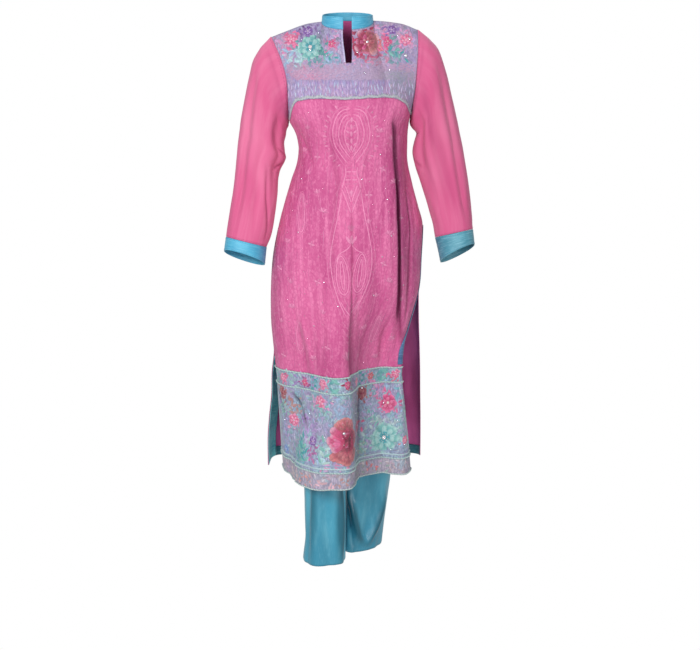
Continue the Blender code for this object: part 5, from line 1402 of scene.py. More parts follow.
def ribbon(heap, line, width, colour, crown=0.0006, base=0.0, taper=0.25, cols=3, clip=None):
    """A line of stitches along `line`, an (n, 2) array in the cloth's coordinates."""
    line = np.asarray(line, float)
    if clip is not None:
        good = clip(line[:, 0], line[:, 1])
        if good.sum() < 3:
            return
        edges = np.flatnonzero(np.diff(np.concatenate([[0], good.astype(int), [0]])))
        for lo, hi in zip(edges[::2], edges[1::2]):
            if hi - lo >= 3:
                ribbon(heap, line[lo:hi], width, colour, crown, base, taper, cols)
        return
    n = len(line)
    d = np.gradient(line, axis=0)
    d = d / np.maximum(np.linalg.norm(d, axis=1, keepdims=True), 1e-9)
    run = np.concatenate([[0], np.cumsum(np.linalg.norm(np.diff(line, axis=0), axis=1))])
    f = run / run[-1]
    w = width / 2 * np.clip(np.minimum(smooth(-0.02, taper + 1e-6, f), smooth(-0.02, taper + 1e-6, 1 - f)), 0.12, 1)
    b = np.linspace(-1, 1, cols)
    x = line[:, :1] + -d[:, 1:] * w[:, None] * b
    y = line[:, 1:] + d[:, :1] * w[:, None] * b
    h = SUNK + base + (crown + 0.0002) * (1 - np.abs(b)**2)[None, :] + 0 * x
    tone = np.asarray(colour, float)
    tone = tone[:, None, :] if tone.ndim == 2 else tone[None, None, :]
    heap.grid(x, y, h, np.clip(tone * (1 + dice.normal(0, 0.04, (n, 1, 1))) * np.ones((n, cols, 3)), 0, 1), run[:, None], w[:, None] * b * 1.0)


def knot(heap, at, size, colour, base=0.0, high=0.0010):
    """A small round knot."""
    a = np.linspace(0, 2 * pi, 8)[None, :]
    r = np.array([1.0, 0.75, 0.1])[:, None] * size
    h = SUNK + base + np.array([0.0, 0.8, 1.0])[:, None] * high
    heap.grid(at[0] + r * np.cos(a), at[1] + r * np.sin(a), h, np.asarray(colour), r + 0 * a, r * a * 0.3)


def flower(heap, at, size, layers, heart, seeds=None, turn=0.0, squash=1.0):
    """Layers of petals round a heart. Each layer: petals, reach, width, inner, outer, tip."""
    for k, (n, reach, wide, inner, outer, tip) in enumerate(layers):
        for i in range(n):
            angle = turn + 2 * pi * (i + 0.5 * (k % 2)) / n + dice.normal(0, 0.07)
            long = size * reach * dice.uniform(0.90, 1.08) * (squash + (1 - squash) * abs(np.cos(angle)))
            petal(heap, (at[0] + 0.03 * size * np.sin(angle), at[1] - 0.03 * size * np.cos(angle)), angle, long, size * wide * dice.uniform(0.92, 1.08),
                  inner, outer, p=0.70, q=0.30, crown=0.0010 + 0.00018 * k, base=0.00050 * k, tip=tip, notch=0.10, frill=0.03,
                  rows=9 if size > 0.02 else 6, cols=7 if size > 0.02 else 5)
    if heart is not None:
        lift = 0.0005 * len(layers)
        for i in range(7 if size > 0.02 else 4):
            angle = 2 * pi * i / (7 if size > 0.02 else 4)
            knot(heap, (at[0] + 0.10 * size * np.cos(angle), at[1] + 0.10 * size * np.sin(angle)), 0.055 * size, heart, lift)
        knot(heap, at, 0.075 * size, heart, lift)
    for i in range(seeds or 0):
        angle = 2 * pi * i / seeds + 0.2
        knot(heap, (at[0] + 0.27 * size * np.cos(angle), at[1] + 0.27 * size * np.sin(angle)), 0.030 * size, IVORY, 0.0005 * len(layers) + 0.0002)


def sprig(heap, start, angle, length, leaf, leaves, colours, stem, bow=0.15, lean=0.75):
    """A curving stem with leaves on both sides and one at its tip."""
    f = np.linspace(0, 1, 14)
    ca, sa = np.cos(angle), np.sin(angle)
    off = bow * length * np.sin(pi * f * 0.9)
    line = np.stack([start[0] + f * length * sa + off * ca, start[1] - f * length * ca + off * sa], 1)
    ribbon(heap, line, 0.0016, stem, 0.0005)
    for i in range(leaves):
        g = (i + 0.6) / (leaves + 0.2)
        j = int(g * 12)
        way = np.arctan2(line[j + 1, 0] - line[j, 0], -(line[j + 1, 1] - line[j, 1]))
        for side in (-1, 1):
            c = colours[(i + (side > 0)) % len(colours)]
            petal(heap, line[j], way + side * lean, leaf * (1.05 - 0.35 * g) * dice.uniform(0.88, 1.1), leaf * 0.40, np.asarray(c) * 0.72, c, p=0.75, q=0.70,
                  crown=0.0008, bend=side * 0.10, rows=7, cols=5)
    way = np.arctan2(line[-1, 0] - line[-3, 0], -(line[-1, 1] - line[-3, 1]))
    petal(heap, line[-1], way, leaf * 0.9, leaf * 0.38, np.asarray(colours[0]) * 0.72, colours[0], p=0.75, q=0.70, crown=0.0008, rows=7, cols=5)


def gem(heap, at, radius, high, base=0.0, sides=8, colour=(0.92, 0.94, 1.0), dome=0.55):
    """A faceted stone with a table on top, or a flat sequin when it is low."""
    a = np.arange(sides) * 2 * pi / sides + dice.uniform(0, 1)
    low = np.stack([at[0] + radius * np.cos(a), at[1] + radius * np.sin(a), np.full(sides, SUNK + base)], 1)
    mid = np.stack([at[0] + radius * 0.96 * np.cos(a), at[1] + radius * 0.96 * np.sin(a), np.full(sides, SUNK + base + high * 0.35)], 1)
    top = np.stack([at[0] + radius * dome * np.cos(a + pi / sides), at[1] + radius * dome * np.sin(a + pi / sides), np.full(sides, SUNK + base + high)], 1)
    cap = np.array([[at[0], at[1], SUNK + base + high * 1.01]])
    n = np.arange(sides)
    m = (n + 1) % sides
    tris = [np.stack([n, m, sides + m], 1), np.stack([n, sides + m, sides + n], 1),
            np.stack([sides + n, sides + m, 2 * sides + n], 1), np.stack([sides + m, 2 * sides + m, 2 * sides + n], 1),
            np.stack([2 * sides + n, 2 * sides + m, np.full(sides, 3 * sides)], 1)]
    heap.facets(np.concatenate([low, mid, top, cap]), np.concatenate(tris), np.asarray(colour))


RED_BLOOM = ((9, 1.00, 0.62, CRIMSON, ROSE, BLUSH), (8, 0.78, 0.50, WINE, CORAL, ROSE), (6, 0.54, 0.38, CRIMSON, HOT_PINK, BLUSH), (5, 0.30, 0.26, WINE, CORAL, None))
CORAL_BLOOM = ((8, 1.00, 0.62, CRIMSON, CORAL, SALMON), (7, 0.74, 0.48, WINE, SALMON, CORAL), (5, 0.46, 0.34, CRIMSON, CORAL, BLUSH))
TEAL_BLOOM = ((9, 1.00, 0.56, DEEP_TEAL, MINT, PALE_MINT), (7, 0.74, 0.46, TEAL_THREAD, PALE_MINT, MINT), (5, 0.46, 0.34, DEEP_TEAL, TEAL_THREAD, PALE_MINT))
PINK_SMALL = ((6, 1.00, 0.72, CRIMSON, ROSE, BLUSH), (5, 0.58, 0.46, HOT_PINK, BLUSH, None))
HOT_SMALL = ((6, 1.00, 0.72, WINE, HOT_PINK, ROSE), (5, 0.58, 0.46, CRIMSON, ROSE, None))
LILAC_SMALL = ((6, 1.00, 0.70, PURPLE, LAVENDER, LILAC), (5, 0.58, 0.44, PLUM, LILAC, None))
BLUE_SMALL = ((6, 1.00, 0.70, DEEP_BLUE, BLUE, SKY), (5, 0.58, 0.44, BLUE, SKY, None))
PURPLE_SMALL = ((6, 1.00, 0.70, PLUM, PURPLE, LAVENDER), (5, 0.58, 0.44, PURPLE, LILAC, None))
SAND_SMALL = ((6, 1.00, 0.70, SALMON, SAND, IVORY), (5, 0.55, 0.42, CORAL, BLUSH, None))
BRICK, CLAY = srgb("#A8535C"), srgb("#C98A86")
BRICK_SMALL = ((7, 1.00, 0.66, WINE, BRICK, CLAY), (5, 0.58, 0.46, WINE, CLAY, None))
CORAL_SMALL = ((6, 1.00, 0.72, WINE, CORAL, SALMON), (5, 0.58, 0.46, CRIMSON, SALMON, None))

# ---- the main border
FLOWERS = (("a", "b", "size", "kind", "turn"),
           (0.176, 0.984, 0.0380, "teal", 0.3),
           (0.182, 0.898, 0.0240, "hot", 0.6),
           (0.101, 0.866, 0.0200, "brick", 0.2),
           (-0.203, 0.868, 0.0190, "brick", 0.4),
           (-0.074, 0.869, 0.0180, "pink", 0.2),
           (-0.171, 0.931, 0.0170, "pink", 0.1),
           (-0.128, 0.918, 0.0150, "lilac", 0.3),
           (0.085, 0.940, 0.0160, "hot", 0.4),
           (-0.094, 0.966, 0.0130, "purple", 0.6),
           (0.232, 0.990, 0.0110, "pink", 0.5),
           (-0.222, 1.012, 0.0130, "blue", 0.5))
KINDS = {"red": RED_BLOOM, "coral": CORAL_BLOOM, "teal": TEAL_BLOOM, "pink": PINK_SMALL, "hot": HOT_SMALL, "lilac": LILAC_SMALL,
         "blue": BLUE_SMALL, "purple": PURPLE_SMALL, "sand": SAND_SMALL, "coral_small": CORAL_SMALL, "brick": BRICK_SMALL}
LEAVES = {"mint": (MINT, PALE_MINT), "teal": (TEAL_THREAD, MINT), "lilac": (LAVENDER, LILAC), "sky": (SKY, GREY), "sand": (SAND, MINT)}
SPRIGS = (("a", "b", "angle", "length", "leaf", "leaves", "colour", "bow"),
          (-0.148, 1.024, 0.30, 0.060, 0.024, 3, "teal", 0.15),
          (-0.118, 1.024, -0.30, 0.052, 0.020, 3, "teal", 0.15),
          (-0.068, 1.022, 0.10, 0.056, 0.022, 3, "mint", 0.15),
          (-0.200, 0.984, 0.10, 0.060, 0.016, 4, "lilac", -0.15),
          (-0.140, 0.905, -2.60, 0.036, 0.014, 2, "sky", 0.10),
          (-0.104, 0.944, 0.20, 0.042, 0.014, 3, "lilac", 0.20),
          (0.165, 0.944, -0.90, 0.040, 0.016, 3, "mint", -0.20),
          (0.226, 0.950, 0.05, 0.050, 0.015, 3, "mint", 0.20),
          (0.120, 0.925, -0.40, 0.036, 0.014, 2, "sky", 0.10),
          (0.112, 1.020, -0.20, 0.046, 0.016, 3, "mint", 0.20),
          (0.145, 0.872, 0.60, 0.030, 0.013, 2, "lilac", 0.10),
          (-0.215, 0.915, 0.20, 0.035, 0.014, 2, "mint", 0.10))

# patches of colour in the close filling: middle, half extents, ground and leaf colours
GREY_BLUE = srgb("#94AAC6")
FILL = (("a", "b", "wide", "high", "low", "light"),
        (-0.203, 0.868, 0.018, 0.016, BRICK, CLAY), (-0.163, 0.892, 0.012, 0.022, CLAY, SAND), (-0.171, 0.932, 0.018, 0.015, HOT_PINK, BLUSH),
        (-0.128, 0.922, 0.022, 0.024, LAVENDER, GREY), (-0.074, 0.868, 0.026, 0.011, ROSE, LILAC), (-0.074, 0.889, 0.026, 0.008, TEAL_THREAD, PALE_MINT),
        (-0.022, 0.880, 0.022, 0.018, GREY_BLUE, SKY), (0.101, 0.866, 0.020, 0.018, BRICK, CLAY), (0.060, 0.874, 0.014, 0.022, SLATE, GREY),
        (0.182, 0.898, 0.024, 0.020, HOT_PINK, ROSE), (0.150, 0.868, 0.016, 0.014, ROSE, LILAC), (0.220, 0.875, 0.018, 0.018, TEAL_THREAD, SKY),
        (0.136, 0.910, 0.018, 0.020, GREY_BLUE, LILAC), (0.085, 0.940, 0.018, 0.014, CRIMSON, ROSE), (0.176, 0.984, 0.036, 0.030, TEAL_THREAD, PALE_MINT),
        (0.190, 0.945, 0.028, 0.010, GREY, PALE_MINT), (0.179, 1.024, 0.042, 0.011, GREY_BLUE, GREY), (0.230, 0.950, 0.012, 0.030, MINT, LILAC),
        (0.232, 0.990, 0.011, 0.013, HOT_PINK, SALMON), (0.108, 1.008, 0.018, 0.022, MINT, SAND), (-0.136, 0.997, 0.022, 0.022, TEAL_THREAD, MINT),
        (-0.094, 0.990, 0.012, 0.022, PURPLE, ROSE), (-0.062, 0.995, 0.014, 0.020, SKY, PALE_MINT), (-0.220, 1.010, 0.014, 0.014, BLUE, SKY),
        (-0.205, 0.958, 0.018, 0.030, LAVENDER, SKY), (-0.204, 0.905, 0.014, 0.018, MINT, PALE_MINT), (-0.172, 0.980, 0.014, 0.022, LAVENDER, MINT),
        (-0.106, 0.950, 0.020, 0.018, LAVENDER, LILAC), (-0.066, 0.925, 0.020, 0.016, GREY_BLUE, LILAC), (-0.030, 1.024, 0.030, 0.010, ROSE, LILAC),
        (-0.130, 1.026, 0.040, 0.008, GREY_BLUE, SKY), (0.055, 1.000, 0.022, 0.026, SLATE, MINT), (0.050, 0.920, 0.016, 0.030, SLATE, GREY))
BAND_FILL = (("a", "b", "wide", "high", "low", "light"),
             (-0.195, 0.833, 0.014, 0.012, HOT_PINK, ROSE), (-0.160, 0.828, 0.016, 0.014, MINT, LILAC), (-0.122, 0.836, 0.013, 0.013, CRIMSON, PURPLE),
             (-0.092, 0.830, 0.014, 0.014, TEAL_THREAD, SKY), (-0.060, 0.832, 0.014, 0.011, HOT_PINK, BLUSH), (-0.026, 0.834, 0.016, 0.014, SKY, PALE_MINT),
             (0.011, 0.824, 0.015, 0.013, WINE, CRIMSON), (0.052, 0.830, 0.016, 0.016, SLATE, GREY), (0.088, 0.834, 0.014, 0.014, SLATE, MINT),
             (0.124, 0.828, 0.014, 0.012, HOT_PINK, LILAC), (0.156, 0.828, 0.014, 0.014, TEAL_THREAD, MINT), (0.189, 0.836, 0.018, 0.010, HOT_PINK, CORAL),
             (0.222, 0.828, 0.012, 0.014, MINT, PALE_MINT))
HEM_FILL = (("a", "b", "wide", "high", "low", "light"),
            (-0.170, 1.062, 0.030, 0.012, SAND, IVORY), (-0.110, 1.060, 0.022, 0.012, SALMON, SAND), (-0.060, 1.064, 0.022, 0.012, SAND, BLUSH),
            (-0.010, 1.062, 0.016, 0.012, CLAY, SAND), (0.014, 1.058, 0.012, 0.012, PURPLE, LILAC), (0.055, 1.060, 0.022, 0.012, GREY, SLATE),
            (0.105, 1.064, 0.016, 0.012, SAND, MINT), (0.140, 1.058, 0.016, 0.010, CORAL, SALMON), (0.176, 1.062, 0.018, 0.012, MINT, SAND),
            (0.215, 1.062, 0.020, 0.012, SAND, GREY))


def thicket(heap, patches, low, high, step, leaf, inside, ground, still=0.0):
    """Small leaves and petals laid close together, coloured by the patch that they
    fall in; still draws the colours toward one another."""
    table = [dict(zip(patches[0], row)) for row in patches[1:]]
    tones = np.random.default_rng(len(table))
    for y in np.arange(low[1], high[1], step):
        for x in np.arange(low[0], high[0], step):
            a, b = x + dice.uniform(-0.45, 0.45) * step, y + dice.uniform(-0.45, 0.45) * step
            if not inside(np.array([a]), np.array([b]))[0]:
                continue
            far = [((a - r["a"]) / r["wide"])**2 + ((b - r["b"]) / r["high"])**2 for r in table]
            k = int(np.argmin(far))
            pair = (np.asarray(table[k]["low"]), np.asarray(table[k]["light"])) if far[k] < dice.uniform(1.1, 2.1) else ground[dice.integers(len(ground))]
            mean = (np.asarray(pair[0]) + np.asarray(pair[1])) / 2
            f = dice.uniform(0, 1)
            inner = np.asarray(pair[0]) * (1 - f * 0.4) + np.asarray(pair[1]) * f * 0.4
            outer = np.asarray(pair[1]) * (0.55 + 0.45 * f) + np.asarray(pair[0]) * (0.45 - 0.45 * f)
            tone = tones.uniform(0.76, 1.14)
            inner, outer = (inner * (1 - still) + mean * still) * tone, np.minimum((outer * (1 - still) + mean * still) * tone, 0.95)
            long = leaf * dice.uniform(0.65, 1.25)
            petal(heap, (a, b), dice.uniform(0, 2 * pi), long, long * dice.uniform(0.36, 0.62), inner * 0.92, outer, p=0.72, q=0.62,
                  crown=0.0005, bend=dice.uniform(-0.15, 0.15), rows=6, cols=4)


def in_strip(high, low):
    def test(a, b):
        s = front.middle(b) + a / front.width(b)
        return (s > 0.030) & (s < 0.970) & (b > high + 0.005) & (b < low - 0.005)
    return test


border = Heap()


def on_border(a, b, h):
    """As the front cloth, with anything that strays drawn back inside its edges."""
    b = np.minimum(b, HEM - 0.0022)
    s = np.clip(front.middle(b) + a / front.width(b), 0.005, 0.995)
    return front_skin(s, b, h)


QUIET = ((LAVENDER, GREY), (GREY_BLUE, SKY), (MINT, GREY), (SLATE, LILAC), (GREY, PALE_MINT))
thicket(border, FILL, (-0.245, BAND_LOW), (0.250, BORDER_LOW), 0.0088, 0.0150, in_strip(BAND_LOW, BORDER_LOW), QUIET)
thicket(border, BAND_FILL, (-0.235, BORDER_TOP), (0.240, BAND_LOW), 0.0076, 0.0118, in_strip(BORDER_TOP, BAND_LOW), ((MINT, LILAC), (TEAL_THREAD, SKY), (GREY, PALE_MINT)))
thicket(border, HEM_FILL, (-0.290, BORDER_LOW), (0.290, HEM), 0.0098, 0.0120, in_strip(BORDER_LOW, HEM), ((SAND, GREY), (GREY, IVORY), (SAND, LILAC)), still=0.45)
for row in SPRIGS[1:]:
    r = dict(zip(SPRIGS[0], row))
    sprig(border, (r["a"], r["b"]), r["angle"], r["length"], r["leaf"], r["leaves"], LEAVES[r["colour"]], LEAVES[r["colour"]][0], r["bow"])
for row in FLOWERS[1:][::-1]:
    r = dict(zip(FLOWERS[0], row))
    flower(border, (r["a"], r["b"]), r["size"], KINDS[r["kind"]], WINE if r["kind"] == "brick" else IVORY, 9 if r["size"] > 0.03 else None, r["turn"])

# the large flower: coral petals in a fan above and another below, bright pink ones to
# the left, and a dark heart to the right
FANS = (("a", "b", "from", "to", "petals", "length", "width", "inner", "outer", "tip"),
        (-0.003, 0.957, -3.14, 2.60, 10, 0.031, 0.0240, WINE, CRIMSON, CRIMSON),
        (-0.004, 0.938, -0.95, 0.95, 6, 0.036, 0.0200, CRIMSON, CORAL, SALMON),
        (-0.002, 0.930, -1.30, 1.20, 5, 0.024, 0.0150, WINE, SALMON, ROSE),
        (-0.003, 0.972, 2.10, 4.10, 6, 0.046, 0.0230, WINE, CORAL, SALMON),
        (-0.002, 0.980, 2.00, 4.30, 5, 0.028, 0.0170, CRIMSON, SALMON, CORAL),
        (-0.008, 0.958, -2.35, -0.85, 5, 0.042, 0.0230, CRIMSON, HOT_PINK, BLUSH),
        (-0.014, 0.962, -2.20, -1.00, 3, 0.027, 0.0170, HOT_PINK, ROSE, BLUSH),
        (0.000, 0.956, 0.60, 2.60, 5, 0.036, 0.0220, WINE, CRIMSON, CORAL),
        (0.002, 0.956, -0.50, 3.40, 6, 0.020, 0.0140, WINE, CRIMSON, ROSE))
for k, row in enumerate(FANS[1:]):
    r = dict(zip(FANS[0], row))
    for i in range(r["petals"]):
        angle = r["from"] + (r["to"] - r["from"]) * i / (r["petals"] - 1) + dice.normal(0, 0.05)
        petal(border, (r["a"], r["b"]), angle, r["length"] * dice.uniform(0.86, 1.10), r["width"] * dice.uniform(0.9, 1.1), r["inner"], r["outer"] if i % 2 else np.asarray(r["outer"]) * 0.82,
              p=0.82, q=0.34, crown=0.0012, base=0.0003 + 0.00022 * k, tip=r["tip"], notch=0.10, frill=0.05, vein=0.16 if r["a"] < -0.006 else 0.34, rows=12, cols=9)
for k in range(9):
    angle = 2 * pi * k / 9
    knot(border, (-0.002 + 0.0125 * np.sin(angle), 0.956 + 0.0125 * np.cos(angle)), 0.0012, (BLUSH, CRIMSON, IVORY)[k % 3], 0.0024)

# ---- side trims of the border: short level stitches beside a fine line
for edge, way in ((-1, 1), (1, -1)):
    for b in np.arange(BAND_LOW + 0.004, BORDER_LOW - 0.003, 0.0032):
        lim = edge * (front.width(b) / 2) - edge * 0.0035
        mid = (0.5 - front.middle(b)) * front.width(b)
        a0, a1 = mid + lim, mid + lim - edge * 0.0130
        tone = blend_tint(LAVENDER, GREY, 0.5 + 0.5 * np.sin(b * 180)) if int(b * 1000 / 3.2) % 5 else np.asarray(PALE_MINT)
        ribbon(border, np.stack([np.linspace(a0, a1, 4), np.full(4, b)], 1), 0.0026, tone, 0.0006, taper=0.1)
    b = np.linspace(BAND_LOW + 0.002, BORDER_LOW - 0.002, 60)
    mid = (0.5 - front.middle(b)) * front.width(b)
    ribbon(border, np.stack([mid + edge * (front.width(b) / 2 - 0.0185), b], 1), 0.0020, PALE_MINT, 0.0008, taper=0.02)

# ---- the narrow band: a garland; and two stitched lines low in the main border
def garland(heap, middle, high, step, kinds, leaf_names, size, start):
    a, i = start, 0
    while a < 0.235:
        wave = 0.10 * high * np.sin(i * 1.9)
        flower(heap, (a, middle + wave), size * (1.0 if i % 2 == 0 else 0.82), KINDS[kinds[i % len(kinds)]], IVORY, None, i * 0.7)
        c = LEAVES[leaf_names[i % len(leaf_names)]]
        for side in (-1, 1):
            petal(heap, (a + 0.30 * step, middle + 0.10 * high * side), pi / 2 + side * 0.55, step * 0.42, step * 0.17, np.asarray(c[0]) * 0.75, c[1], p=0.75, q=0.70, crown=0.0008, rows=6, cols=5)
            petal(heap, (a - 0.30 * step, middle - 0.10 * high * side), -pi / 2 + side * 0.55, step * 0.42, step * 0.17, np.asarray(c[0]) * 0.75, c[0], p=0.75, q=0.70, crown=0.0008, rows=6, cols=5)
        i += 1
        a += step * (1 + 0.06 * np.sin(i * 2.3))


garland(border, (BORDER_TOP + BAND_LOW) / 2, BAND_LOW - BORDER_TOP, 0.0640, ("pink", "hot", "pink", "hot", "pink", "coral_small", "pink"), ("mint", "lilac", "teal"), 0.0125, -0.192)
for level in (BORDER_LOW - 0.0095, BORDER_LOW - 0.0165):
    s = np.linspace(0.012, 0.988, 260)
    b = np.full(260, level)
    ribbon(border, np.stack([(s - front.middle(b)) * front.width(b), b], 1), 0.0026, PALE_MINT if level > BORDER_LOW - 0.012 else GREY_BLUE, 0.0009, base=0.0004, taper=0.01)
pieces_border = border.settle("border_embroidery", on_border, THREAD, hollow=front_painted_shade)
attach(pieces_border, "root")

# ---- the yoke, laid out by distance across and below the neck point
yoke = Heap()
yoke.skip = lambda x, d: x.min() < 0.0017 and x.max() > 0.0013 and d.min() < 0.0893


def solved_spot(x, d):
    """The front's (s, t) at x across and d below the neck point, by Newton's steps."""
    s = np.clip(front.middle(0.10) + (x - 0.006) / 0.40, 0.02, 0.98)
    t = np.clip(d, 0.01, 0.20)
    e = 0.0008
    for _ in range(9):
        p = front.at(s, t)
        ds = (front.at(np.minimum(s + e, 1), t) - front.at(np.maximum(s - e, 0), t)) / (np.minimum(s + e, 1) - np.maximum(s - e, 0))[..., None]
        dt = (front.at(s, t + e) - front.at(s, np.maximum(t - e, 0))) / (t + e - np.maximum(t - e, 0))[..., None]
        rx, rz = x - p[..., 0], -d - p[..., 2]
        det = ds[..., 0] * dt[..., 2] - dt[..., 0] * ds[..., 2]
        det = np.where(np.abs(det) < 1e-4, -1e-4, det)
        s = np.clip(s + np.clip((rx * dt[..., 2] - rz * dt[..., 0]) / det, -0.06, 0.06), 0.0, 1.0)
        t = np.clip(t + np.clip((ds[..., 0] * rz - ds[..., 2] * rx) / det, -0.02, 0.02), 0.0, 0.24)
    return s, t


SPOT_X, SPOT_D = np.linspace(-0.212, 0.212, 213), np.linspace(0.0, 0.244, 123)
SPOT_S, SPOT_T = solved_spot(*np.meshgrid(SPOT_X, SPOT_D, indexing="ij"))
SPOT_AT = front.at(SPOT_S, SPOT_T)
SPOT_MISS = np.hypot(SPOT_AT[..., 0] - SPOT_X[:, None], SPOT_AT[..., 2] + SPOT_D[None, :])


def looked_up(table, x, d):
    """A table over SPOT_X and SPOT_D, read between its stations."""
    u = np.clip((np.asarray(x, float) - SPOT_X[0]) / (SPOT_X[1] - SPOT_X[0]), 0, len(SPOT_X) - 1.001)
    v = np.clip((np.asarray(d, float) - SPOT_D[0]) / (SPOT_D[1] - SPOT_D[0]), 0, len(SPOT_D) - 1.001)
    i, j = u.astype(int), v.astype(int)
    u, v = u - i, v - j
    return (table[i, j] * (1 - u) + table[i + 1, j] * u) * (1 - v) + (table[i, j + 1] * (1 - u) + table[i + 1, j + 1] * u) * v


def yoke_spot(x, d):
    return looked_up(SPOT_S, x, d), looked_up(SPOT_T, x, d)


def slit_clear(s, t, left=0.0042, right=0.0008):
    """How far (s, t) is from the neck slit's sides, less what must stay free."""
    a, b = flat_front(s, t)
    wide = column(SLIT_WIDTH, "wide", np.clip(b, 0, 0.23)) / 2
    return np.where(b < NECK_SLIT + 0.001, np.where(a < 0, -a - wide - left, a - wide - right), 1.0)


def on_yoke_xd(x, d, margin=0.004):
    """True where (x, d) lies on the yoke, clear of its edges and of the neck slit."""
    s, t = yoke_spot(x, d)
    return (looked_up(SPOT_MISS, x, d) < 0.0015) & (s > 0.010) & (s < 0.990) & (t > 0.0045) & (t < yoke_edge(s) - margin) & (slit_clear(s, t) > 0)


def on_yoke(x, d, h):
    """The front cloth under (x, d), with anything that strays drawn back onto the yoke."""
    s, t = yoke_spot(x, d)
    a, b = flat_front(s, t)
    keep_out = column(SLIT_WIDTH, "wide", np.clip(b, 0, 0.23)) / 2 + np.where(a < 0, 0.0040, 0.0006)
    a = np.where((b < NECK_SLIT) & (np.abs(a) < keep_out), np.where(a < 0, -keep_out, keep_out), a)
    b = np.maximum(b, 0.0040)
    s = np.clip(front.middle(b) + a / front.width(b), 0.008, 0.992)
    b = np.minimum(b, yoke_edge(s) - 0.0012)
    return front_skin(s, b, h)


# painted shade of the front, read at a spot on the yoke
def yoke_painted_shade(x, d):
    s, t = yoke_spot(x, d)
    return front_painted_shade(*flat_front(s, t))


# close filling of the upper part, coloured in patches
YOKE_FILL = (("a", "b", "wide", "high", "low", "light"),
             (-0.088, 0.013, 0.024, 0.011, PLUM, LAVENDER), (-0.128, 0.036, 0.018, 0.020, HOT_PINK, ROSE), (-0.158, 0.050, 0.014, 0.030, ROSE, LILAC),
             (-0.082, 0.052, 0.036, 0.022, DEEP_TEAL, MINT), (-0.118, 0.074, 0.018, 0.018, SKY, PALE_MINT), (-0.090, 0.032, 0.020, 0.008, PURPLE, LAVENDER),
             (-0.058, 0.026, 0.018, 0.014, SLATE, GREY), (-0.036, 0.046, 0.014, 0.014, CRIMSON, LILAC), (-0.034, 0.074, 0.018, 0.014, GREY_BLUE, SKY),
             (-0.060, 0.084, 0.020, 0.008, TEAL_THREAD, GREY), (-0.150, 0.088, 0.012, 0.014, GREY_BLUE, SKY),
             (0.030, 0.040, 0.020, 0.030, WINE, CRIMSON), (0.062, 0.042, 0.022, 0.020, CRIMSON, SALMON), (0.052, 0.070, 0.024, 0.010, WINE, ROSE),
             (0.090, 0.040, 0.014, 0.022, HOT_PINK, ROSE), (0.108, 0.040, 0.011, 0.020, SLATE, MINT), (0.104, 0.012, 0.020, 0.011, PURPLE, LAVENDER),
             (0.074, 0.014, 0.018, 0.012, ROSE, LILAC), (0.136, 0.038, 0.016, 0.026, ROSE, LILAC), (0.112, 0.072, 0.022, 0.012, TEAL_THREAD, GREY),
             (0.144, 0.072, 0.014, 0.018, LAVENDER, GREY), (0.078, 0.084, 0.020, 0.008, ROSE, GREY))
YOKE_QUIET = ((LAVENDER, LILAC), (GREY, LILAC), (ROSE, LILAC), (SLATE, GREY))
thicket(yoke, YOKE_FILL, (-0.180, 0.004), (0.176, 0.093), 0.0072, 0.0140, on_yoke_xd, YOKE_QUIET)

# level filling stitches of the plain band
for d in np.arange(0.0900, 0.1270, 0.0021):
    x = -0.190
    while x < 0.190:
        long = dice.uniform(0.010, 0.024)
        green = np.exp(-((x - 0.105) / 0.035)**2) * smooth(0.100, 0.112, d) + 0.6 * np.exp(-((x + 0.120) / 0.020)**2) * (d < 0.104)
        pink = np.exp(-((x + 0.090) / 0.025)**2) * smooth(0.108, 0.118, d)
        tone = blend_tint(srgb("#CBA3BF"), srgb("#B5A6C2"), (0.5 + 0.5 * np.sin(x * 21 + 1.0)) * 0.8)
        tone = blend_tint(blend_tint(tone, srgb("#96A8AC"), min(0.85 * green, 1)), srgb("#D592B4"), 0.8 * pink)
        ribbon(yoke, np.stack([np.linspace(x, x + long, 5), d + dice.normal(0, 0.0002, 5)], 1), 0.0022, tone * dice.uniform(0.93, 1.06), 0.00045, taper=0.12, clip=on_yoke_xd)
        x += long + 0.0008

# upright feather stitches below it and down both sides, with pale strokes laid over
feather = (srgb("#B09CCC"), srgb("#BCA8D4"), srgb("#9E90C2"), srgb("#A6A8D0"), srgb("#B7A0C6"))
x = -0.196
while x < 0.192:
    side = smooth(0.112, 0.150, abs(x - 0.004))
    d = 0.1265 + dice.uniform(-0.002, 0.002) - 0.020 * side
    while d < 0.236:
        long = dice.uniform(0.011, 0.022)
        lean = 0.10 * np.sin(x * 95 + d * 60)
        f = np.linspace(0, 1, 6)
        line = np.stack([x + lean * long * (f - 0.5) + 0.0006 * np.sin(f * pi), d + long * f], 1)
        tone = np.asarray(feather[dice.integers(len(feather))]) * dice.uniform(0.92, 1.05)
        if x > 0.096:
            tone = blend_tint(tone, srgb("#8E9CA6"), dice.uniform(0.3, 0.9))
        elif x < -0.112:
            tone = blend_tint(tone, srgb("#8E9AC0"), dice.uniform(0.0, 0.7))
        ribbon(yoke, line, 0.0028, tone, 0.0007, taper=0.35, clip=on_yoke_xd)
        d += long * 0.94
    x += 0.0027
x = -0.180
while x < 0.176:
    d = 0.130 + dice.uniform(0.0, 0.012)
    for _ in range(2):
        long = dice.uniform(0.010, 0.017)
        f = np.linspace(0, 1, 6)
        lean = dice.uniform(-0.25, 0.35)
        ribbon(yoke, np.stack([x + lean * long * (f - 0.5), d + long * f], 1), 0.0021, (srgb("#DCD2F0"), srgb("#CFC8EC"), srgb("#C4DCEC"))[dice.integers(3)], 0.0006, base=0.0005, taper=0.35, clip=on_yoke_xd)
        d += long * 1.25
    x += dice.uniform(0.0065, 0.0125)

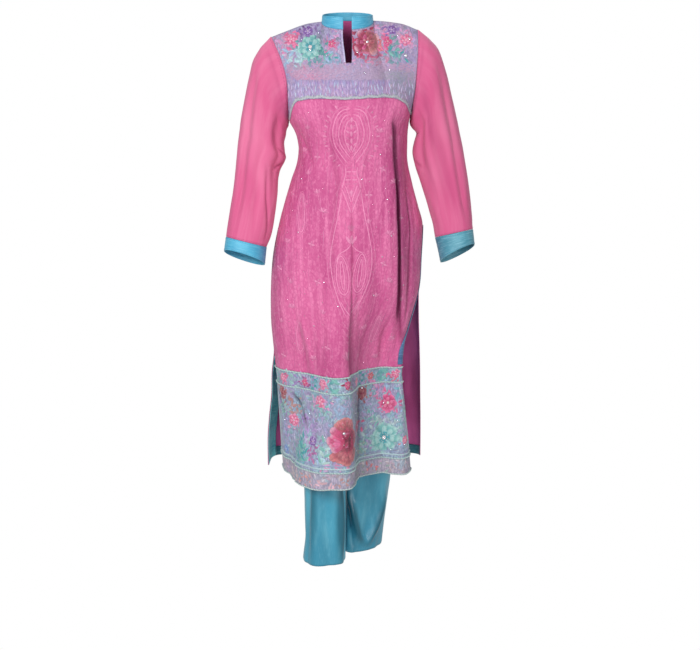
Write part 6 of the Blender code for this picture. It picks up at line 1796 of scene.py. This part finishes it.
YOKE_SPRIGS = (("a", "b", "angle", "length", "leaf", "leaves", "colour", "bow"),
               (-0.112, 0.062, -1.90, 0.034, 0.021, 2, "sky", 0.20),
               (-0.050, 0.040, 0.70, 0.024, 0.014, 1, "lilac", 0.10),
               (-0.058, 0.066, 1.90, 0.030, 0.015, 2, "teal", 0.10),
               (0.088, 0.064, 1.90, 0.044, 0.019, 3, "teal", -0.20),
               (0.084, 0.020, 0.90, 0.026, 0.012, 1, "lilac", 0.10),
               (0.128, 0.058, 0.20, 0.024, 0.012, 2, "lilac", 0.10))
YOKE_FLOWERS = (("a", "b", "size", "kind", "turn"),
                (-0.084, 0.053, 0.0300, "teal", 0.2),
                (-0.090, 0.016, 0.0130, "purple", 0.1),
                (-0.128, 0.034, 0.0150, "pink", 0.5),
                (0.104, 0.013, 0.0120, "purple", 0.3),
                (0.136, 0.036, 0.0160, "pink", 0.2),
                (0.094, 0.040, 0.0120, "hot", 0.1),
                (-0.034, 0.046, 0.0100, "hot", 0.3))
for row in YOKE_SPRIGS[1:]:
    r = dict(zip(YOKE_SPRIGS[0], row))
    sprig(yoke, (r["a"], r["b"]), r["angle"], r["length"], r["leaf"], r["leaves"], LEAVES[r["colour"]], LEAVES[r["colour"]][0], r["bow"])
for row in YOKE_FLOWERS[1:][::-1]:
    r = dict(zip(YOKE_FLOWERS[0], row))
    flower(yoke, (r["a"], r["b"]), r["size"], KINDS[r["kind"]], IVORY, None, r["turn"])

# the large flower of the yoke: dark red toward the slit, peach toward the shoulder
heart = (0.046, 0.042)
for k in range(8):
    angle = 0.15 + 2 * pi * k / 8 + dice.normal(0, 0.06)
    out = np.sin(angle)
    outer = np.asarray(SALMON if out > 0.45 else CORAL if out > -0.35 else CRIMSON)
    petal(yoke, heart, angle, (0.034 if k % 2 else 0.028) * dice.uniform(0.94, 1.06), 0.0185, WINE, outer if k % 2 else outer * 0.80, p=0.88, q=0.36, crown=0.0014, base=0.0005 + 0.00010 * (k % 2),
          tip=BLUSH if k % 2 else ROSE, notch=0.14, frill=0.07, vein=0.34, rows=11, cols=9)
for k in range(6):
    angle = 0.5 + 2 * pi * k / 6
    outer = np.asarray(CORAL if np.sin(angle) > 0 else HOT_PINK)
    petal(yoke, heart, angle, 0.0195 * dice.uniform(0.9, 1.1), 0.0128, WINE, outer if k % 2 else outer * 0.82, p=0.86, q=0.36, crown=0.0013, base=0.0011, tip=ROSE, notch=0.12, vein=0.30, rows=8, cols=7)
for k in range(5):
    petal(yoke, heart, 0.2 + 2 * pi * k / 5, 0.0105, 0.0085, CRIMSON, SALMON, p=0.84, q=0.36, crown=0.0010, base=0.0016, tip=BLUSH, vein=0.24, rows=6, cols=5)

# a fine whipped line along the yoke's lower edge, sewn in the cloth's own coordinates
yoke_work = yoke.settle("yoke_embroidery", on_yoke, THREAD, hollow=yoke_painted_shade)
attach(yoke_work, "root")
edging = Heap()
s = np.linspace(0.004, 0.996, 330)
level = yoke_edge(s) - 0.0034 - 0.0012 * np.sin(s * 74) - 0.0005 * np.sin(s * 330)
edge_line = np.stack([(s - front.middle(level)) * front.width(level), level], 1)
ribbon(edging, edge_line, 0.0042, srgb("#B9C2C6"), 0.0010, base=0.0008, taper=0.01)
for k in range(0, 326, 5):
    line = edge_line[k:k + 4] - np.stack([np.zeros(4), np.linspace(0.001, 0.0045, 4)], 1)
    ribbon(edging, line, 0.0016, (srgb("#C9D2D2"), srgb("#A8B2BC"))[k % 2], 0.0007, base=0.0009, taper=0.3)
edging_work = edging.settle("yoke_edging", on_front, THREAD)
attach(edging_work, "root")

# stones of the yoke
yoke_gems = Heap()
for x, d, r in ((-0.084, 0.060, 0.0034), (0.046, 0.042, 0.0034), (0.144, 0.034, 0.0032), (0.135, 0.072, 0.0042), (-0.150, 0.062, 0.0018), (-0.104, 0.036, 0.0018),
                (0.086, 0.062, 0.0018), (-0.046, 0.072, 0.0018), (0.118, 0.026, 0.0018), (-0.066, 0.022, 0.0018), (0.024, 0.066, 0.0018), (0.098, 0.104, 0.0016),
                (-0.080, 0.104, 0.0020), (0.040, 0.112, 0.0015)):
    gem(yoke_gems, (x, d), r, r * 0.75, base=0.0018)
yoke_stones = yoke_gems.settle("yoke_stones", on_yoke, STONE, smooth_all=False)
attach(yoke_stones, "root")

# ---- tone-on-tone work of the front panel
damask = Heap()


def on_panel(a, b, margin=0.007):
    """True where (a, b) lies on the front panel, clear of its edges."""
    s = front.middle(b) + a / front.width(b)
    side = margin / front.width(b)
    return (s > side) & (s < 1 - side) & (b > yoke_edge(np.clip(s, 0, 1)) + 0.005) & (b < BORDER_TOP - 0.006)


AXIS = 0.009                       # the pattern's own middle line


def both(line):
    """A line and its mirror about the pattern's axis."""
    line = np.asarray(line, float)
    return line + (AXIS, 0), line * (-1, 1) + (AXIS, 0)


def floss(line, width=0.0026, colour=FLOSS_MID, crown=0.0005, n=26):
    for half_line in both(line):
        pts = curve(half_line, n)
        ribbon(damask, pts, width, colour, crown, taper=0.08, clip=on_panel)


def leaf_floss(at, angle, length, width, colour=FLOSS_MID, bend=0.0):
    if on_panel(np.array([at[0]]), np.array([at[1]]), 0.012)[0]:
        petal(damask, at, angle, length, width, np.asarray(colour) * 0.94, colour, p=0.75, q=0.65, crown=0.0006, bend=bend, rows=6, cols=4)


def drop(top, wide, low, half, neck, rings, gap, width=0.0027, colours=(FLOSS_MID, FLOSS_LIGHT)):
    """Nested drop-shaped rings: top, widest level, foot, half width there and at the foot."""
    for k in range(rings):
        w = half - gap * k
        if w < 0.004:
            break
        up, foot = top + gap * 0.95 * k, low - gap * 0.9 * k
        n = max(neck - gap * k, 0.0008)
        floss(((0.0008, up), (0.40 * w, up + 0.05 * (wide - up)), (0.80 * w, up + 0.36 * (wide - up)), (w, wide),
               (0.88 * w + 0.12 * n, wide + 0.30 * (foot - wide)), (0.45 * w + 0.55 * n, wide + 0.68 * (foot - wide)), (n, foot)), width, colours[k % 2], n=40)


def oval(at, half, high, rings, gap, turn=0.0, width=0.0024):
    """Nested upright ovals drawn whole."""
    for k in range(rings):
        w, h = half - gap * k, high - gap * 1.15 * k
        if w < 0.003:
            break
        q = np.linspace(0, 2 * pi, 41)
        x, y = w * np.sin(q) * (1 - 0.16 * np.cos(q)), -h * np.cos(q)
        line = np.stack([at[0] + x * np.cos(turn) - y * np.sin(turn), at[1] + x * np.sin(turn) + y * np.cos(turn)], 1)
        ribbon(damask, line, width, FLOSS_LIGHT if k % 2 else FLOSS_MID, 0.0005, taper=0.01, clip=on_panel)


# the upper figure: a ringed drop on a barred neck with chevrons under it
drop(0.184, 0.252, 0.322, 0.049, 0.014, 6, 0.0068)
for k in range(5):
    leaf_floss((AXIS, 0.222 + 0.016 * k), 0, 0.013, 0.0066, FLOSS_LIGHT)
    for side in (-1, 1):
        leaf_floss((AXIS + side * 0.004, 0.232 + 0.014 * k), side * 0.9, 0.0115 - 0.0012 * abs(k - 1.5), 0.0052, FLOSS_LIGHT if k % 2 else FLOSS_MID)
for k in range(13):
    for side in (-1, 1):
        t = k / 12
        leaf_floss((AXIS + side * (0.0565 * np.sin(pi * (0.12 + 0.78 * t))**0.7), 0.192 + 0.124 * t), side * (0.5 + 1.7 * t), 0.0105, 0.0046, FLOSS_MID if k % 2 else FLOSS_LIGHT)
for k in range(5):
    floss(((0.0006, 0.324 + 0.0092 * k), (0.010 + 0.0012 * k, 0.324 + 0.0092 * k)), 0.0034, FLOSS_LIGHT if k % 2 else FLOSS_MID, n=6)
floss(((0.014, 0.322), (0.0125, 0.336), (0.0165, 0.352), (0.022, 0.372)), 0.0028, FLOSS_LIGHT, n=16)
floss(((0.021, 0.318), (0.0195, 0.336), (0.0235, 0.352), (0.030, 0.372), (0.036, 0.392)), 0.0024, FLOSS_MID, n=20)
for k in range(4):
    floss(((0.0008, 0.428 - 0.0125 * k), (0.011 - 0.002 * k, 0.400 - 0.0085 * k), (0.022 - 0.004 * k, 0.372 - 0.0040 * k)), 0.0028, FLOSS_LIGHT if k % 2 == 0 else FLOSS_MID, n=14)
leaf_floss((AXIS, 0.392), 0, 0.018, 0.0085, FLOSS_LIGHT)
# long side lines that open round the lower figure and close under it
for k, tone in enumerate((FLOSS_LIGHT, FLOSS_MID)):
    o = 0.0085 * k
    floss(((0.022 + o, 0.376), (0.030 + o, 0.430), (0.041 + o, 0.480), (0.048 + o, 0.525), (0.046 + o, 0.565), (0.037 + o, 0.605), (0.024 + o, 0.640), (0.010 + o, 0.668 + o)), 0.0028 - 0.0004 * k, tone, n=60)
# the lower figure: two ringed lobes side by side, with a bud over them
for side in (-1, 1):
    oval((AXIS + side * 0.0205, 0.566 + 0.004 * (side < 0)), 0.0190, 0.050, 4, 0.0050, turn=side * 0.10)
floss(((0.0008, 0.500), (0.012, 0.512), (0.026, 0.520), (0.035, 0.540)), 0.0026, FLOSS_LIGHT, n=16)
for side in (-1, 0, 1):
    leaf_floss((AXIS, 0.500), side * 0.55, 0.024, 0.0085, FLOSS_LIGHT)
    leaf_floss((AXIS, 0.470), side * 0.50, 0.018, 0.0070, FLOSS_MID)
floss(((0.0008, 0.648), (0.010, 0.636), (0.018, 0.620)), 0.0026, FLOSS_MID, n=12)
floss(((0.0008, 0.664), (0.013, 0.650), (0.026, 0.628)), 0.0024, FLOSS_LIGHT, n=12)
for k in range(3):
    floss(((0.0008, 0.700 + 0.016 * k), (0.010, 0.690 + 0.016 * k), (0.022, 0.674 + 0.016 * k)), 0.0024, FLOSS_MID, n=12)
for k in range(-2, 3):
    leaf_floss((AXIS, 0.770), 0.42 * k, 0.030, 0.0100, FLOSS_LIGHT if k % 2 else FLOSS_MID)
oval((-0.112, 0.429), 0.014, 0.049, 3, 0.0045)
oval((-0.132, 0.720), 0.013, 0.040, 3, 0.0045, turn=0.08)
oval((0.104, 0.706), 0.012, 0.038, 3, 0.0045, turn=-0.08)

# small sprays strewn either side
SPRAYS = (("a", "b", "kind"), (-0.069, 0.384, 0), (-0.057, 0.426, 1), (0.049, 0.386, 2), (0.048, 0.452, 0), (0.098, 0.478, 1), (-0.072, 0.587, 2), (-0.144, 0.594, 0),
          (-0.144, 0.652, 1), (-0.175, 0.560, 2), (0.075, 0.626, 0), (0.102, 0.590, 1), (-0.096, 0.238, 0), (-0.120, 0.290, 1), (-0.072, 0.300, 2), (0.074, 0.244, 1),
          (0.104, 0.262, 0), (0.082, 0.328, 2), (-0.096, 0.342, 0), (0.112, 0.360, 1), (-0.152, 0.500, 1), (-0.085, 0.500, 2), (0.086, 0.546, 2), (-0.062, 0.660, 0),
          (0.066, 0.700, 1), (-0.096, 0.770, 1), (-0.180, 0.690, 0), (0.148, 0.640, 0), (0.160, 0.730, 2), (-0.050, 0.736, 2), (0.060, 0.770, 0), (-0.185, 0.770, 2),
          (0.140, 0.540, 0), (0.136, 0.440, 2), (-0.150, 0.386, 2), (0.130, 0.780, 1))
for a, b, kind in SPRAYS[1:]:
    lean = dice.uniform(-0.35, 0.35)
    for k in range((3, 5, 4)[kind]):
        spread = ((-0.7, 0.0, 0.7), (-1.2, -0.6, 0.0, 0.6, 1.2), (0.3, 1.9, 3.4, 5.0))[kind][k]
        leaf_floss((a, b), lean + spread, 0.0125 if kind != 2 else 0.0090, 0.0056, FLOSS_LIGHT if k % 2 else FLOSS_MID)
    if kind != 2:
        ribbon(damask, curve(((a, b), (a - 0.003 * np.sin(lean), b + 0.008), (a + 0.002, b + 0.015)), 8), 0.0017, FLOSS_MID, 0.0004, taper=0.1, clip=on_panel)

# long upright floats, broken and uneven, in the tones of the ground
for _ in range(620):
    b0 = dice.uniform(0.185, BORDER_TOP - 0.020)
    a0 = dice.uniform(-0.47, 0.47) * float(front.width(b0))
    long = dice.uniform(0.010, 0.038)
    f = np.linspace(0, 1, 6)
    tone = (FLOSS_MID, FLOSS_DARK, srgb("#D97AAA"))[dice.integers(3)]
    ribbon(damask, np.stack([a0 * (1 + 0.12 * long * f), b0 + long * f], 1), dice.uniform(0.0009, 0.0018), tone, 0.00025, taper=0.35, clip=on_panel)

damask_work = damask.settle("panel_embroidery", on_front, FLOSS, hollow=front_painted_shade)
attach(damask_work, "root")

# ---- stones and sequins
sparkle = Heap()
STONES = (("a", "b", "radius"),
          (-0.010, 0.938, 0.0038), (0.170, 0.898, 0.0032), (-0.036, 0.862, 0.0030), (0.176, 0.984, 0.0026), (0.101, 0.852, 0.0026), (-0.171, 0.931, 0.0020),
          (0.196, 1.014, 0.0022), (-0.146, 0.972, 0.0018), (-0.190, 0.872, 0.0018), (0.128, 0.926, 0.0018), (0.206, 0.940, 0.0018), (-0.060, 0.950, 0.0018),
          (-0.205, 0.935, 0.0018), (0.060, 0.905, 0.0018), (0.075, 1.000, 0.0018), (-0.110, 0.905, 0.0018), (0.230, 1.000, 0.0018), (-0.030, 0.905, 0.0018))
for row in STONES[1:]:
    a, b, r = row
    gem(sparkle, (a, b), r, r * 0.75, base=0.0016)
PANEL_STONES = (("a", "b"), (0.076, 0.294), (0.082, 0.529), (0.093, 0.397), (-0.056, 0.587), (-0.118, 0.352), (-0.120, 0.474), (0.103, 0.481), (-0.088, 0.690),
                (0.070, 0.620), (0.034, 0.350), (-0.022, 0.640), (0.150, 0.600))
for a, b in PANEL_STONES[1:]:
    gem(sparkle, (a, b), 0.0017, 0.0010, base=0.0004)
for b in np.arange(0.200, 0.795, 0.052):
    for i, share in enumerate((-0.39, -0.31, -0.22, -0.13, 0.13, 0.22, 0.31, 0.39)):
        a = share * float(front.width(b)) + 0.004 * np.sin(b * 90 + i)
        at = b + (0.017 if i % 2 else 0.0)
        if on_panel(np.array([a]), np.array([at]), 0.012)[0]:
            gem(sparkle, (a, at), 0.0012, 0.0004, base=0.0003, sides=6, colour=srgb("#F6C2DA"), dome=0.8)
stones_work = sparkle.settle("stones_and_sequins", on_front, STONE, smooth_all=False)
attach(stones_work, "root")


# ------------------------------------------------------------- braid and stitches
def swept(name, centre, radius, strands, pitch, skin, material, tints, node, sides=6, gap=0.62, close=False):
    """A twisted braid: `strands` round cords wound about a line on the cloth. `centre`
    gives (s or a, t) stations; `skin` places them."""
    a, b, h = centre
    line = skin(a, b, h + 0 * a)
    up = skin(a, b, h + 0.002 + 0 * a) - line
    up = up / np.linalg.norm(up, axis=1, keepdims=True)
    along = np.gradient(line, axis=0)
    along = along / np.linalg.norm(along, axis=1, keepdims=True)
    out = np.cross(along, up)
    run = np.concatenate([[0], np.cumsum(np.linalg.norm(np.diff(line, axis=0), axis=1))])
    co, quads, tone, lay, n = [], [], [], [], 0
    rows = len(line)
    for k in range(strands):
        w = 2 * pi * (run / pitch + k / strands)
        mid = line + radius * gap * (np.cos(w)[:, None] * up + np.sin(w)[:, None] * out)
        q = np.linspace(0, 2 * pi, sides + 1)[:-1]
        thick = radius * (1 - gap * 0.30)
        ring = mid[:, None, :] + thick * (np.cos(q)[None, :, None] * up[:, None, :] + np.sin(q)[None, :, None] * out[:, None, :])
        i = np.arange(rows * sides).reshape(rows, sides) + n
        j = np.roll(i, -1, axis=1)
        quads.append(np.stack([i[:-1], j[:-1], j[1:], i[1:]], -1).reshape(-1, 4))
        co.append(ring.reshape(-1, 3))
        tone.append(np.broadcast_to(tints[k % len(tints)], (rows * sides, 3)) * (1 + 0.05 * np.sin(run * 900 + k))[:, None].repeat(sides, 1).reshape(-1, 1))
        lay.append(np.stack([run[:, None] + 0 * q, (q * thick)[None, :] + 0 * run[:, None], 0 * run[:, None] + 0 * q], -1).reshape(-1, 3))
        half_ring = sides // 2                          # closed ends, in strips across
        for end, order in ((0, 1), (rows - 1, -1)):
            r = i[end]
            cap = [(r[q], r[(q + 1) % sides], r[-(q + 2) % sides], r[-(q + 1) % sides]) for q in range(half_ring - 1)]
            quads.append(np.array(cap)[:, ::order])
        n += rows * sides
    o = mesh_of(name, np.concatenate(co), np.concatenate(quads), material, {"lay": np.concatenate(lay)}, {"thread": np.clip(np.concatenate(tone), 0, 1)})
    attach(o, "root")
    if node:
        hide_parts(node)
    return o


s = np.linspace(0.004, 0.996, count(500))
for name, node, t in (("cord_upper", "kameez_cord_upper", BORDER_TOP), ("cord_middle", "kameez_cord_middle", BAND_LOW), ("cord_lower", "kameez_cord_lower", BORDER_LOW)):
    swept(name, (s, t + 0 * s, 0.0019), 0.0016, 2, 0.0085, front_skin, BRAID, (srgb("#CFE2E0"), srgb("#A9CFCB")), node)
swept("cord_lower_second", (s, BORDER_LOW - 0.0085 + 0 * s, 0.0016), 0.0011, 2, 0.0065, front_skin, BRAID, (srgb("#C9DCE0"), srgb("#A9BFD2")), None)
swept("cord_hem", (s, HEM - 0.0022 + 0 * s, 0.0016), 0.0013, 2, 0.0070, front_skin, BRAID, (srgb("#D6E6E2"), srgb("#B6CFCC")), None)

stitches = Heap()


def run_stitch(heap, line, tone, long=0.0030, pause=0.0014, wide=0.0006, high=0.0004):
    """Single stitches along an (n, 2) line in cloth coordinates."""
    line = np.asarray(line, float)
    run = np.concatenate([[0], np.cumsum(np.linalg.norm(np.diff(line, axis=0), axis=1))])
    at = 0.001
    while at + long < run[-1]:
        f = np.linspace(at, at + long, 3)
        p = np.stack([np.interp(f, run, line[:, 0]), np.interp(f, run, line[:, 1])], 1)
        ribbon(heap, p, wide * 2, tone, high, base=0.0001, taper=0.3)
        at += long + pause


front_lines = Heap()
t = np.linspace(SLIT_TOP + 0.01, BORDER_TOP - 0.006, 160)
for edge in (0.0, 1.0):
    for inset in (0.0050, 0.0150):
        if edge == 1.0 and inset < 0.010:
            continue
        a = (edge - front.middle(t)) * front.width(t) + (inset if edge == 0 else -inset)
        run_stitch(front_lines, np.stack([a, t], 1), srgb("#C8487E"))
w = front_lines.settle("front_stitching", on_front, FLOSS)
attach(w, "root")

back_lines = Heap()
t = np.linspace(SLIT_TOP + 0.01, BACK_HEM - 0.004, 240)
for edge in (0.0, 1.0):
    for inset in (0.0050, 0.0215):
        a = (edge - back.middle(t)) * back.width(t) + (inset if edge == 0 else -inset)
        run_stitch(back_lines, np.stack([a, t], 1), srgb("#B03A70"))
s = np.linspace(0.012, 0.988, 300)
for t0 in (BACK_HEM - 0.0255, BACK_HEM - 0.0040):
    run_stitch(back_lines, np.stack([(s - back.middle(t0)) * back.width(t0), t0 + 0 * s], 1), srgb("#B03A70"))
w = back_lines.settle("back_stitching", on_back, FLOSS)
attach(w, "root")

for side, rows in (("left", CUFF_L), ("right", CUFF_R)):
    lines = Heap()
    u = np.linspace(0.002, 0.998, 200)
    for v in (0.0035, 0.0325):
        run_stitch(lines, np.stack([u * 0.27, v + 0 * u], 1), srgb("#2A86AC"))

    def on_cuff(a, b, h, rows=rows, side=side):
        place = lambda x, y: tube(rows, np.mod(x, 1.0), np.clip(y, 0, 0.036))
        nrm = across_down(place, a / 0.27, b, 0.004, 0.002, 1.0 if side == "left" else -1.0)
        return place(a / 0.27, b) + h[..., None] * nrm
    w = lines.settle("cuff_stitching_" + side, on_cuff, FLOSS)
    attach(w, "root")

    lines = Heap()
    u = np.linspace(0.002, 0.998, 240)
    run_stitch(lines, np.stack([u * 0.34, 0.0030 + 0.004 * np.sin(pi * u)**2], 1), srgb("#B8437A"))
    run_stitch(lines, np.stack([u * 0.34, 0.4975 + 0 * u], 1), srgb("#B8437A"))
    w = lines.settle("sleeve_stitching_" + side, lambda a, b, h, side=side: sleeve_skin(side, a / 0.34, b, h), FLOSS)
    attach(w, "root")

    lines = Heap()
    u = np.linspace(0.004, 0.996, 260)
    for v in (1.2815, 1.2600):
        run_stitch(lines, np.stack([u * 0.36, v + 0 * u], 1), srgb("#2F8098"))
    w = lines.settle("salwar_stitching_" + side, lambda a, b, h, side=side: leg_skin(side, a / 0.36, -b, h), FLOSS)
    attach(w, "root")

lines = Heap()
u = np.linspace(0.006, 0.994, 260)
for v in (0.0024, 0.0245):
    run_stitch(lines, np.stack([u * 0.33, v + 0 * u], 1), srgb("#2A86AC"))
w = lines.settle("collar_stitching", lambda a, b, h: collar(a / 0.33, b / COLLAR_FLAT, h), FLOSS)
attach(w, "root")


# ------------------------------------------------------------------- stage
scene = bpy.context.scene
scene.view_settings.view_transform = "Standard"
scene.view_settings.look = "None"

world = bpy.data.worlds.new("studio")
world.use_nodes = True
tree = world.node_tree
room = tree.nodes["Background"]
room.inputs["Color"].default_value = (1.0, 1.0, 1.0, 1.0)
room.inputs["Strength"].default_value = 0.46
paper = tree.nodes.new("ShaderNodeBackground")
paper.inputs["Color"].default_value = (1.0, 1.0, 1.0, 1.0)
paper.inputs["Strength"].default_value = 1.0
rays = tree.nodes.new("ShaderNodeLightPath")
both_worlds = tree.nodes.new("ShaderNodeMixShader")
tree.links.new(rays.outputs["Is Camera Ray"], both_worlds.inputs[0])
tree.links.new(room.outputs[0], both_worlds.inputs[1])
tree.links.new(paper.outputs[0], both_worlds.inputs[2])
tree.links.new(both_worlds.outputs[0], tree.nodes["World Output"].inputs["Surface"])
scene.world = world

def softbox(name, place, aim, size, power, colour=(1, 1, 1)):
    lamp = bpy.data.lights.new(name, "AREA")
    lamp.shape, lamp.size, lamp.energy, lamp.color = "SQUARE", size, power, colour
    o = bpy.data.objects.new(name, lamp)
    scene.collection.objects.link(o)
    o.location = place
    o.rotation_euler = (Vector(aim) - Vector(place)).to_track_quat("-Z", "Y").to_euler()


softbox("key", (-1.5, -3.2, 0.9), (0, 0, -0.66), 1.0, 82)
softbox("fill", (1.3, -3.4, -0.5), (0, 0, -1.0), 1.5, 31)
softbox("back", (0.4, 2.9, 1.2), (0, 0, -0.6), 1.8, 34)

lens = bpy.data.cameras.new("camera")
lens.lens, lens.sensor_width, lens.sensor_fit = 64.78, 36.0, "HORIZONTAL"
lens.clip_start, lens.clip_end = 0.05, 60.0
camera = bpy.data.objects.new("camera", lens)
scene.collection.objects.link(camera)
camera.location = (0.0073, -3.0, -0.168)
camera.rotation_euler = (radians(90 - 10.2), 0.0, 0.0)
scene.camera = camera
